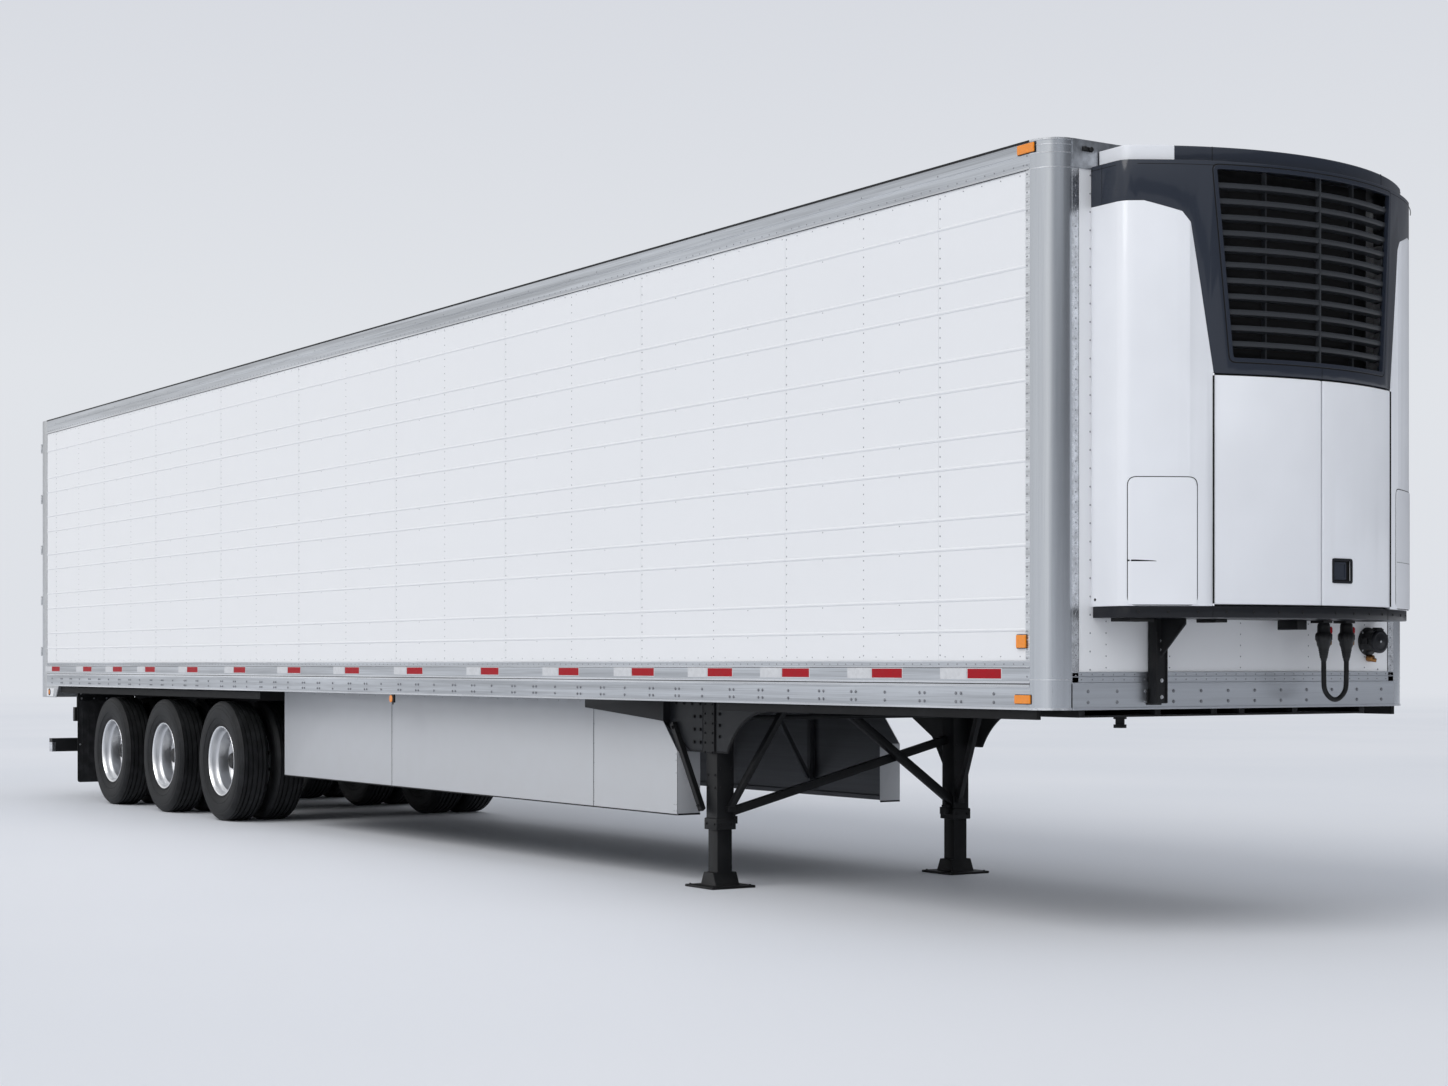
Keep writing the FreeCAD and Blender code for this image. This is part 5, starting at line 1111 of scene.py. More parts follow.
@dataclass
class Connectors:
    """Two power connectors, the round socket and the fitting below it.

    Args:
        ahead: Their axis, along the trailer.
        places: The connectors, across the trailer.
        base: Height of the unit's underside.
        nose: Height of their lower ends.
        socket: The round socket's middle, across and up.
    """

    ahead: float = 8.106
    places: tuple[float, float] = (0.400, 0.570)
    base: float = 1.616
    nose: float = 1.406
    socket: tuple[float, float] = (0.955, 1.510)

    def build(self, fixings: Fixings) -> None:
        """Makes connectors, sleeves, socket and fitting."""
        self.make_bodies()
        self.make_sleeves()
        self.make_socket(fixings)

    def make_bodies(self) -> None:
        """Turns the moulded bodies with their grips and tapering noses."""
        shape = Shape()
        for y in self.places:
            profile = [
                (0.0005, 0.210), (0.024, 0.210), (0.026, 0.196), (0.031, 0.192), (0.033, 0.178),
                (0.0335, 0.150), (0.036, 0.146), (0.0405, 0.142), (0.0410, 0.104), (0.0370, 0.098),
                (0.0355, 0.082), (0.0300, 0.070), (0.0265, 0.058), (0.0275, 0.054), (0.0265, 0.050),
                (0.0240, 0.048), (0.0250, 0.043), (0.0240, 0.038), (0.0220, 0.036), (0.0228, 0.031),
                (0.0220, 0.026), (0.0200, 0.024), (0.0205, 0.019), (0.0195, 0.014), (0.0170, 0.012),
                (0.0155, 0.001), (0.0130, -0.003), (0.0005, -0.003),
            ]
            shape.turned(profile, (self.ahead, y, self.nose), Axis.UP, 36)
            for turn in range(10):
                a = 2 * math.pi * turn / 10
                x, across = self.ahead + 0.0405 * math.cos(a), y + 0.0405 * math.sin(a)
                shape.rod((x, across, self.nose + 0.108), (x, across, self.nose + 0.138), 0.0035, 8)
            low, high = self.base - 0.014, self.base - 0.0005
            shape.block((self.ahead - 0.060, y - 0.034, low), (self.ahead + 0.030, y + 0.034, high))
        node = "front_connectors"
        shape.piece("connector_bodies", Finishes.plug, bevel=0.0012, crease=50, stands_for=(node,))

    def make_sleeves(self) -> None:
        """Adds the brass fittings and red seals behind the bodies."""
        brass, red = Shape(), Shape()
        fitting = [
            (0.0005, -0.030), (0.013, -0.030), (0.015, -0.012), (0.012, -0.006), (0.016, 0.0),
            (0.016, 0.026), (0.0005, 0.030),
        ]
        seal = [
            (0.0005, 0.028), (0.015, 0.028), (0.018, 0.040), (0.018, 0.058), (0.012, 0.066), (0.0005, 0.066),
        ]
        for y in self.places:
            middle = (self.ahead - 0.004, y + 0.044, self.nose + 0.112)
            brass.turned(fitting, middle, Axis.UP, 18)
            red.turned(seal, middle, Axis.UP, 18)
        y, z = self.socket
        brass.rod((FRONT_FACE - SUNK, y, z - 0.090), (FRONT_FACE + 0.040, y, z - 0.090), 0.020, 6)
        elbow, mouth = (FRONT_FACE + 0.020, y - 0.010, z - 0.096), (FRONT_FACE + 0.050, y + 0.014, z - 0.102)
        brass.rod(elbow, mouth, 0.011, 16)
        brass.piece("brass_fittings", Finishes.brass, crease=50)
        red.piece("plug_seals", Finishes.red_tape, crease=50)

    def make_socket(self, fixings: Fixings) -> None:
        """Builds the round socket with its sprung lid."""
        y, z = self.socket
        body, lid = Shape(), Shape()
        profile = [
            (0.0005, -0.001), (0.076, -0.001), (0.076, 0.008), (0.060, 0.011), (0.056, 0.016), (0.056, 0.058),
            (0.060, 0.060), (0.060, 0.072), (0.050, 0.076), (0.0005, 0.076),
        ]
        body.turned(profile, (FRONT_FACE, y, z), Axis.ALONG, 44)
        cover = [
            (0.0005, 0.074), (0.060, 0.074), (0.0635, 0.077), (0.0635, 0.087), (0.060, 0.092), (0.048, 0.094),
            (0.046, 0.0915), (0.018, 0.0915), (0.015, 0.0935), (0.0005, 0.0945),
        ]
        lid.turned(cover, (FRONT_FACE, y, z), Axis.ALONG, 44)
        lid.block((FRONT_FACE + 0.062, y - 0.026, z + 0.050), (FRONT_FACE + 0.090, y + 0.026, z + 0.068))
        hinge = FRONT_FACE + 0.068
        body.rod((hinge, y - 0.034, z + 0.068), (hinge, y + 0.034, z + 0.068), 0.007, 14)
        body.block((FRONT_FACE + 0.010, y - 0.064, z - 0.016), (FRONT_FACE + 0.052, y - 0.052, z + 0.016))
        body.piece("socket_body", Finishes.plug, bevel=0.0015, crease=50)
        lid.piece("socket_lid", Finishes.base, bevel=0.0012, crease=50)
        turns = [math.pi * (k / 2 + 0.25) for k in range(4)]
        ring = [(0.067 * math.cos(a), 0.067 * math.sin(a)) for a in turns]
        spots = [((FRONT_FACE + 0.008, y + across, z + up), AHEAD) for across, up in ring]
        fixings.bolts("socket_bolts", spots, Finishes.zinc, radius=0.007, height=0.004)
        spots = [((FRONT_FACE + 0.0935, y, z), AHEAD)]
        fixings.rivets("lid_rivet", spots, Finishes.zinc, radius=0.008, height=0.004)


@dataclass
class UnitSupports:
    """Post, gusset and brackets under the unit.

    Args:
        nodes: The CAD nodes by name.
        across: The post's middle.
        front: The post's front face.
    """

    nodes: dict[str, bpy.types.Object]
    across: float = -0.617
    front: float = 7.972

    def build(self, fixings: Fixings) -> None:
        """Softens the supports and bolts them on."""
        shape = Shape().copied(self.nodes["unit_supports"])
        for side in (-1, 1):
            low, high = sorted((self.across + side * 0.0375, self.across + side * 0.0300))
            shape.block((self.front - SUNK, low, 1.192), (self.front + 0.005, high, 1.55))
        foot = (self.across - 0.050, self.across + 0.050)
        shape.block((FRONT_FACE + 0.004, foot[0], 1.182), (FRONT_FACE + 0.014, foot[1], 1.262))
        shape.piece("support_skin", Finishes.chassis, bevel=0.0025, crease=40, stands_for=("unit_supports",))
        spots = [((self.front, self.across, up), AHEAD) for up in (1.222, 1.306, 1.46, 1.506)]
        fixings.bolts("support_bolts", spots, Finishes.zinc, radius=0.011, height=0.006)


# --------------------------------------------------------------------------- box body


SEAMS = (
    7.026, 6.356, 5.616, 4.846, 4.016, 3.116, 2.186, 1.236, 0.416, -0.514,
    -1.454, -2.384, -3.204, -4.064, -4.884, -5.594, -6.394, -7.194, -7.944,
)


@dataclass
class SideSkin:
    """Outer sheets of both side walls, with their beads and rivets.

    Args:
        beads: Heights of the pressed beads.
        sheet: Thickness of the sheet over the wall.
        proud: How far a bead stands out.
        half: Half the height of a bead.
        rivet_pitch: From one rivet of a seam to the next.
    """

    beads: tuple[float, ...] = (
        1.558, 1.717, 1.980, 2.137, 2.397, 2.551, 2.797, 2.956, 3.211, 3.362, 3.646,
    )
    sheet: float = 0.0012
    proud: float = 0.0046
    half: float = 0.009
    rivet_pitch: float = 0.052

    def build(self, fixings: Fixings) -> None:
        """Makes the sheets of both sides."""
        for side in Side:
            self.make_sheets(side)
            self.make_rivets(side, fixings)
            self.make_edge(side, fixings)

    def section(self, lift: float) -> list[tuple[float, float]]:
        """The sheet's outline across the trailer, as (distance out, height)."""
        face = SKIN + self.sheet + lift
        outline = [(SKIN - SUNK, RAIL_TOP), (face, RAIL_TOP)]
        for height in self.beads:
            outline += [
                (face, height - self.half),
                (face + self.proud * 0.75, height - self.half * 0.45),
                (face + self.proud, height + self.half * 0.15),
                (face + self.proud * 0.7, height + self.half * 0.62),
                (face, height + self.half),
            ]
        return [*outline, (face, TOP_RAIL_FOOT), (SKIN - SUNK, TOP_RAIL_FOOT)]

    def make_sheets(self, side: Side) -> None:
        """Lays sheet after sheet between the seams, each a shade prouder than its neighbour."""
        shape = Shape()
        ends = [POST_EDGE - 0.004, *SEAMS, REAR_END + 0.004]
        for number, (ahead, behind) in enumerate(zip(ends, ends[1:])):
            outline = [(side.value * out, up) for out, up in self.section(0.0007 * (number % 2))]
            shape.prism(outline, Axis.ALONG, behind + 0.0006, ahead)
        shape.piece(f"side_sheets_{side.label}", Finishes.panel, crease=18)

    def make_rivets(self, side: Side, fixings: Fixings) -> None:
        """Rivets every seam, the edges of the sheets and, sparsely, the beads."""
        out = side.value * (SKIN + self.sheet + 0.0007)
        way = side.outward
        heights = steps(RAIL_TOP + 0.03, TOP_RAIL_FOOT - 0.03, self.rivet_pitch)
        spots = [((seam + 0.014, out, up), way) for seam in SEAMS for up in heights]
        fixings.rivets(f"seam_rivets_{side.label}", spots, Finishes.rivet)
        middles = [(a + b) / 2 for a, b in zip(SEAMS, SEAMS[1:])]
        small = [((x, out, up - 0.016), way) for x in middles for up in self.beads]
        for up in (RAIL_TOP + 0.022, TOP_RAIL_FOOT - 0.022):
            small += [((x, out, up), way) for x in steps(REAR_END + 0.06, POST_EDGE - 0.08, 0.15)]
        fixings.rivets(f"sheet_rivets_{side.label}", small, Finishes.rivet, radius=0.0036, height=0.0016)

    def make_edge(self, side: Side, fixings: Fixings) -> None:
        """Puts a cover strip with close rivets beside the corner post."""
        shape = Shape()
        face = side.value * RAIL_FACE
        inner = side.value * (SKIN - SUNK)
        for rear, front, proud in ((0.034, 0.0015, 0.0), (0.008, 0.0, 0.001)):
            start, end, outer = POST_EDGE - rear, POST_EDGE - front, face + side.value * proud
            outline = [(start, inner), (end, inner), (end, outer), (start, outer)]
            shape.prism(outline, Axis.UP, RAIL_TOP, TOP_RAIL_FOOT)
        shape.piece(f"corner_strip_{side.label}", Finishes.bright, bevel=0.001)
        heights = steps(RAIL_FOOT + 0.03, TOP - 0.03, 0.045)
        spots = [((POST_EDGE - 0.022, face, up), side.outward) for up in heights]
        fixings.rivets(f"corner_rivets_{side.label}", spots, Finishes.rivet, radius=0.0055, height=0.0025)


def lay_strip(shape: Shape, side: Side, face: float, span: Span, band: Span, proud: float = 0.002) -> None:
    """Adds a strip on an upright face of a side.

    Args:
        shape: The shape it joins.
        side: The side of the trailer.
        face: The face's distance from the centreline.
        span: The strip's rear and front end.
        band: Its foot and top.
        proud: How far it stands out from the face.
    """
    shape.mirrored(side, span, (face - SUNK, face + proud), band)


@dataclass
class Rails:
    """Trim, tape, rivets and bolts of the rails along the sides.

    Args:
        lips: The extrusions' raised lips, as (foot, top, how far out).
        seals: Their dark lines, in the same way.
        tape: Forward ends of the red pieces of tape.
        red: Length of a red piece.
        white: Length of a white piece, behind each red one.
        tape_band: Foot and top of the tape.
        nose: Rear and front end of the black band of painted shade under the nose.
        rivet_rows: Heights of the two close rows of rivets.
        bolt_rows: Heights of the two rows of bolts.
        bolt_pitch: From one pair of bolts to the next, as the crossmembers lie.
    """

    lips: tuple[tuple[float, float, float], ...] = (
        (RAIL_FOOT, RAIL_LIP, 0.004), (1.2725, 1.2865, 0.003), (1.291, 1.302, 0.002), (1.3705, 1.3755, 0.003),
        (1.399, RAIL_TOP + 0.002, 0.002), (TOP_RAIL_FOOT - 0.001, 3.846, 0.003), (3.906, 3.9085, 0.002),
    )
    seals: tuple[tuple[float, float, float], ...] = (
        (1.2865, 1.291, 0.0006), (1.3675, 1.3705, 0.0006),
        (TOP_RAIL_FOOT - 0.004, TOP_RAIL_FOOT - 0.001, 0.0004), (3.969, TOP, 0.003),
    )
    tape: tuple[float, ...] = (
        -7.794, -6.754, -5.824, -4.884, -3.754, -2.604, -1.394, -0.234,
        0.896, 2.106, 3.236, 4.186, 5.076, 5.866, 6.726, 7.546,
    )
    red: float = 0.28
    white: float = 0.22
    tape_band: Span = (1.311, 1.368)
    nose: Span = (4.90, 7.80)
    rivet_rows: Span = (1.388, 3.862)
    bolt_rows: Span = (1.195, 1.238)
    bolt_pitch: float = 0.3036

    def build(self, fixings: Fixings) -> None:
        """Makes the trim of both sides."""
        for side in Side:
            self.make_trim(side)
            self.make_tape(side)
            self.make_fixings(side, fixings)

    def make_trim(self, side: Side) -> None:
        """Adds the raised lips of the extrusions, their dark lines, and a band of painted shade under the nose.
        """
        span = (REAR_END, POST_EDGE - 0.002)
        for name, finish, bevel, table in (
            ("rail_lips", Finishes.bright, 0.0012, self.lips),
            ("rail_seals", Finishes.seal, 0.0003, self.seals),
        ):
            shape = Shape()
            for low, high, proud in table:
                lay_strip(shape, side, RAIL_FACE, span, (low, high), proud)
            shape.piece(f"{name}_{side.label}", finish, bevel=bevel)
        # A black band under the rail at the nose: painted shade where the underside is dark.
        band = Shape().mirrored(side, self.nose, (1.262, 1.288), (1.112, RAIL_FOOT + SUNK))
        band.piece(f"nose_band_{side.label}", Finishes.liner, bevel=0.002)

    def make_tape(self, side: Side) -> None:
        """Lays the reflective tape, each red piece with a pale border."""
        red, white = Shape(), Shape()
        low, high = self.tape_band
        for end in self.tape:
            start = end - self.red
            behind = (start - self.white, start - 0.004)
            lay_strip(white, side, RAIL_FACE, (start, end), (low, high), 0.0008)
            lay_strip(red, side, RAIL_FACE, (start + 0.006, end - 0.006), (low + 0.004, high - 0.004), 0.0012)
            lay_strip(white, side, RAIL_FACE, behind, (low, high), 0.0008)
        red.piece(f"red_tape_{side.label}", Finishes.red_tape, bevel=0.0002)
        white.piece(f"white_tape_{side.label}", Finishes.white_tape, bevel=0.0002)

    def make_fixings(self, side: Side, fixings: Fixings) -> None:
        """Rivets both rails and bolts the lower one to every crossmember."""
        way = side.outward
        face = side.value * RAIL_FACE
        span = steps(REAR_END + 0.05, POST_EDGE - 0.05, 0.075)
        small = [((x, face, up), way) for up in self.rivet_rows for x in span]
        small += [((x, face, 3.925), way) for x in (*SEAMS, *(s + 0.35 for s in SEAMS[1:]))]
        fixings.rivets(f"rail_rivets_{side.label}", small, Finishes.rivet, radius=0.0048, height=0.0022)
        spots: list[Spot] = []
        for number, x in enumerate(steps(REAR_END + 0.18, POST_EDGE - 0.28, self.bolt_pitch)):
            for up in self.bolt_rows:
                spots.append(((x, face, up), way))
                if number % 3:
                    spots.append(((x + 0.042, face, up), way))
        fixings.bolts(f"rail_bolts_{side.label}", spots, Finishes.rivet, radius=0.0095, height=0.005)


@dataclass
class CornerPosts:
    """Smooth front corner posts, with the bands that cross them.

    Args:
        bands: The bands, as (foot, top, how far out).
        facets: Flat faces round a corner.
    """

    bands: tuple[tuple[float, float, float], ...] = (
        (RAIL_FOOT, RAIL_LIP, 0.005), (1.309, 1.313, 0.003), (3.832, TOP_RAIL_FOOT, 0.0032),
        (3.906, 3.910, 0.0032), (3.946, 3.950, 0.0032), (3.970, TOP, 0.0045),
    )
    facets: int = 28

    def build(self, fixings: Fixings) -> None:
        """Makes both posts."""
        for side in Side:
            self.make_post(side)
            self.make_bands(side)
        self.make_front_strips(fixings)

    def arc(self, side: Side, radius: float) -> list[Span]:
        """Points round the corner in plan, from the front face to the side."""
        x, y = POST_EDGE, side.value * (RAIL_FACE - CORNER)
        angles = [math.radians(90.0 * k / self.facets) for k in range(self.facets + 1)]
        return [(x + radius * math.cos(a), y + side.value * radius * math.sin(a)) for a in angles]

    def skin(self, shape: Shape, side: Side, depth: Span, band: Span) -> None:
        """Adds a skin round the corner.

        Args:
            shape: The shape it joins.
            side: The corner's side.
            depth: How far it reaches into the post and stands out of it.
            band: Its foot and top.
        """
        sunk, proud = depth
        outline = [*self.arc(side, CORNER + proud), *reversed(self.arc(side, CORNER - sunk))]
        shape.prism(outline, Axis.UP, *band)

    def make_post(self, side: Side) -> None:
        """Lays a rounded skin over the post."""
        shape = Shape()
        self.skin(shape, side, (0.003, 0.0012), (RAIL_FOOT, TOP))
        shape.piece(f"corner_post_{side.label}", Finishes.post, crease=40)

    def make_bands(self, side: Side) -> None:
        """Carries the rails' lines round the corner."""
        shape = Shape()
        for low, high, proud in self.bands:
            self.skin(shape, side, (SUNK, proud), (low, high))
        shape.piece(f"corner_bands_{side.label}", Finishes.bright, crease=40)

    @staticmethod
    def make_front_strips(fixings: Fixings) -> None:
        """Covers the joints between the posts and the front wall."""
        bright, dark = Shape(), Shape()
        spots: list[Spot] = []
        for side in Side:
            edge = side.value * (RAIL_FACE - CORNER)
            for near, far, shape, proud in ((0.0, 0.042, bright, 0.003), (0.042, 0.045, dark, 0.002)):
                low, high = sorted((edge - side.value * near, edge - side.value * far))
                shape.block((FRONT_FACE - 0.002, low, RAIL_FOOT), (FRONT_FACE + proud, high, 3.978))
            place = edge - side.value * 0.024
            spots += [((FRONT_FACE + 0.003, place, up), AHEAD) for up in steps(1.18, 3.95, 0.05)]
            inner = edge - side.value * 0.12
            spots += [((FRONT_FACE, inner, up), AHEAD) for up in steps(1.36, 3.90, 0.09)]
        bright.piece("front_strips", Finishes.bright, bevel=0.001)
        dark.piece("front_seals", Finishes.seal, bevel=0.0005)
        fixings.rivets("front_strip_rivets", spots, Finishes.rivet, radius=0.005, height=0.0024)


@dataclass
class FrontWall:
    """Rail, rivets and seams of the front wall.

    Args:
        half: Half the width between the corner posts.
        rail_top: Top of the rail across the front.
        lines: Foot and top of the raised lip that parts the strip above the rail.
        strip_top: Top of the strip above the rail.
        columns: The wall's columns of rivets, across the trailer.
    """

    half: float = RAIL_FACE - CORNER
    rail_top: float = 1.290
    lines: Span = (1.3235, 1.3265)
    strip_top: float = 1.345
    columns: tuple[float, ...] = (-0.93, -0.50, 0.0, 0.50, 0.93)

    def build(self, fixings: Fixings) -> None:
        """Makes the rail's lips and all fixings of the wall."""
        lips, flat = Shape(), Shape()
        lip_top, flush, strip, rail = 1.296, 0.006, 0.003, 0.0072
        for low, high, proud in (
            (RAIL_FOOT, RAIL_LIP, 0.006), (self.rail_top, lip_top, 0.004),
            (*self.lines, 0.003), (self.strip_top, 1.349, 0.003),
        ):
            self.band(lips, low, high, flush + proud)
        for low, high, proud in (
            (lip_top, self.lines[0], strip), (self.lines[1], self.strip_top, strip),
            (RAIL_LIP, self.rail_top, rail),
        ):
            self.band(flat, low, high, proud)
        lips.piece("front_rail_lips", Finishes.front, bevel=0.0012)
        flat.piece("front_rail_strip", Finishes.front, bevel=0.0008)
        across = steps(-self.half + 0.06, self.half - 0.06, 0.07)
        spots = [((FRONT_FACE + strip, y, up), AHEAD) for y in across for up in (1.310, 1.336)]
        for column in self.columns:
            spots += [((FRONT_FACE, column, up), AHEAD) for up in steps(1.37, 1.60, 0.055)]
        fixings.rivets("front_rivets", spots, Finishes.rivet, radius=0.0042, height=0.002)
        across = steps(-self.half + 0.1, self.half - 0.1, 0.2)
        bolts = [((FRONT_FACE + rail, y, up), AHEAD) for y in across for up in (1.198, 1.252)]
        fixings.bolts("front_bolts", bolts, Finishes.rivet, radius=0.0095, height=0.005)

    def band(self, shape: Shape, low: float, high: float, proud: float) -> None:
        """Adds a band across the front wall, between two heights and so far proud of it."""
        shape.block((FRONT_FACE - SUNK, -self.half, low), (FRONT_FACE + proud, self.half, high))


@dataclass
class RoofSheet:
    """The roof's skin: crosswise sheets with lapped seams.

    Args:
        top: Height of the roof under the skin.
        half: Half its width.
        sheets: How many sheets cover it.
    """

    top: float = 3.972
    half: float = 1.199
    sheets: int = 14

    def build(self, fixings: Fixings) -> None:
        """Lays the sheets and rivets their seams and edges."""
        shape = Shape()
        seams = steps(REAR_END + 0.004, FRONT_FACE - 0.115, (FRONT_FACE - REAR_END) / self.sheets)
        for number, (behind, ahead) in enumerate(zip(seams, seams[1:])):
            face = self.top + 0.0012 + 0.0012 * (number % 2)
            crown = [(self.half * k / 6, face + 0.004 * (1 - (k / 6) ** 2)) for k in range(-6, 7)]
            outline = [(-self.half, self.top - 0.001), *crown, (self.half, self.top - 0.001)]
            shape.prism(outline, Axis.ALONG, behind, ahead + (0.02 if ahead < seams[-1] else 0.0))
        shape.piece("roof_sheets", Finishes.panel, crease=20)
        spots: list[Spot] = []
        for seam in seams[1:-1]:
            for y in steps(-self.half + 0.03, self.half - 0.03, 0.08):
                rise = 0.0024 + 0.004 * (1 - (y / self.half) ** 2)
                spots.append(((seam + 0.01, y, self.top + rise), UPWARD))
        fixings.rivets("roof_rivets", spots, Finishes.rivet)


@dataclass
class Lamps:
    """Lamps with lenses, bezels and brackets in place of the plain CAD ones.

    Args:
        markers: The side markers, as (rear end, foot, length, height).
        front: The front lamps' places across the trailer.
        front_up: Height of the front lamps' middle.
        hanging: Middle of the lamps under the rails: along, out from the centreline, up.
    """

    markers: tuple[tuple[float, float, float, float], ...] = (
        (7.673, 3.917, 0.126, 0.047), (7.652, 1.191, 0.119, 0.043), (7.665, 1.468, 0.073, 0.065),
    )
    front: Span = (-1.06, 1.06)
    front_up: float = 3.934
    hanging: Place = (0.345, 1.292, 1.127)

    def build(self, fixings: Fixings) -> None:
        """Makes every lamp that shows."""
        lenses, rims = Shape(), Shape()
        for side in Side:
            for x, low, wide, high in self.markers:
                rims.mirrored(
                    side, (x - 0.003, x + wide + 0.003), (RAIL_FACE - 0.006, RAIL_FACE + 0.003),
                    (low - 0.003, low + high + 0.003),
                )
                lens = (RAIL_FACE + 0.001, RAIL_FACE + 0.0115)
                lenses.mirrored(side, (x, x + wide), lens, (low, low + high))
        for y in self.front:
            self.front_lamp(rims, y)
        lenses.piece("marker_lenses", Finishes.amber, bevel=0.004, segments=3, stands_for=("marker_lamps",))
        rims.piece("marker_rims", Finishes.seal, bevel=0.0015)
        self.hanging_lamps()

    def front_lamp(self, rims: Shape, y: float) -> None:
        """Adds a small dark clearance lamp at the top of the front wall."""
        up = self.front_up
        rims.block((FRONT_FACE, y - 0.034, up - 0.012), (FRONT_FACE + 0.007, y + 0.034, up + 0.012))
        for across in (y - 0.020, y + 0.020):
            rims.rod((FRONT_FACE + 0.006, across, up), (FRONT_FACE + 0.022, across, up), 0.0125, 20)

    def hanging_lamps(self) -> None:
        """Hangs a round turn lamp under each rail, on a bracket."""
        lens, bracket, eye = Shape(), Shape(), Shape()
        dome = [(0.0005, 0.012), (0.018, 0.010), (0.027, 0.002), (0.028, -0.012), (0.0005, -0.012)]
        button = [(0.0005, 0.0145), (0.009, 0.0125), (0.011, 0.004), (0.0005, 0.004)]
        x, out, up = self.hanging
        for side in Side:
            y = side.value * 1.288
            bracket.block((0.352, y - 0.014, 1.098), (0.392, y + 0.002, 1.164))
            bracket.rod((0.350, y, 1.120), (0.352, y, 1.082), 0.005)
            middle = (x, side.value * out, up)
            lens.turned(dome, middle, Axis.ACROSS, 28)
            eye.turned(button, middle, Axis.ACROSS, 20)
        lens.piece("turn_lenses", Finishes.amber)
        eye.piece("turn_lens_eyes", Finishes.red)
        bracket.piece("turn_lamp_brackets", Finishes.chassis, bevel=0.002)


# --------------------------------------------------------------------------- running gear


AXLES = {"rear": -6.244, "middle": -4.764, "front": -3.284}


@dataclass(frozen=True)
class DiscGrid:
    """Grid of a rim's dished disc, in which squares near a hand hole are drawn round it.

    Args:
        holes: Hand holes in the disc.
        rows: Its profile from the rim inwards, as (radius, run).
        thick: Its thickness.
        per_hole: Squares round the disc for each hole.
        half: Half a hole's width, in squares.
        first: The row where the holes start.
        last: The row where they end.
        reach: Half a hole's width, in metres.
    """

    holes: int
    rows: tuple[Span, ...] = (
        (0.2575, -0.052), (0.252, -0.066), (0.243, -0.080), (0.232, -0.092), (0.220, -0.104),
        (0.208, -0.117), (0.197, -0.130), (0.187, -0.144), (0.178, -0.156), (0.168, -0.1610),
        (0.110, -0.1610),
    )
    thick: float = 0.009
    per_hole: int = 12
    half: int = 2
    first: int = 2
    last: int = 6
    reach: float = 0.023

    @property
    def count(self) -> int:
        """Squares all round the disc."""
        return self.holes * self.per_hole

    def solid(self, k: int, row: int) -> bool:
        """Whether a square, counted round the disc and inwards, is metal."""
        beside = abs(k % self.per_hole + 0.5 - self.per_hole // 2)
        hole = beside < self.half and self.first <= row < self.last
        return 0 <= row < len(self.rows) - 1 and not hole

    def spot(self, k: int, row: int, way: int, depth: float) -> Place:
        """A corner of the grid.

        Args:
            k: Its number round the disc.
            row: Its row.
            way: The direction that the disc's hollow faces.
            depth: How far it lies under the front skin.

        Returns:
            Its place from the wheel's middle.
        """
        radius, run = self.rows[row]
        turn = 2 * math.pi * k / self.count
        offset = (k % self.per_hole) - self.per_hole // 2
        if abs(offset) <= self.half and self.first <= row <= self.last:
            middle = (self.first + self.last) / 2
            up = row - middle
            size = max(abs(offset), abs(up))
            length = math.hypot(offset, up) or 1.0
            turn += (offset / length * size / self.half * self.reach / radius) - offset * 2 * math.pi / self.count
            share = middle + up / length * size
            low = min(int(share), len(self.rows) - 2)
            (near, start), (far, end) = self.rows[low : low + 2]
            radius = near + (far - near) * (share - low)
            run = start + (end - start) * (share - low)
        return radius * math.cos(turn), way * (run - depth), radius * math.sin(turn)


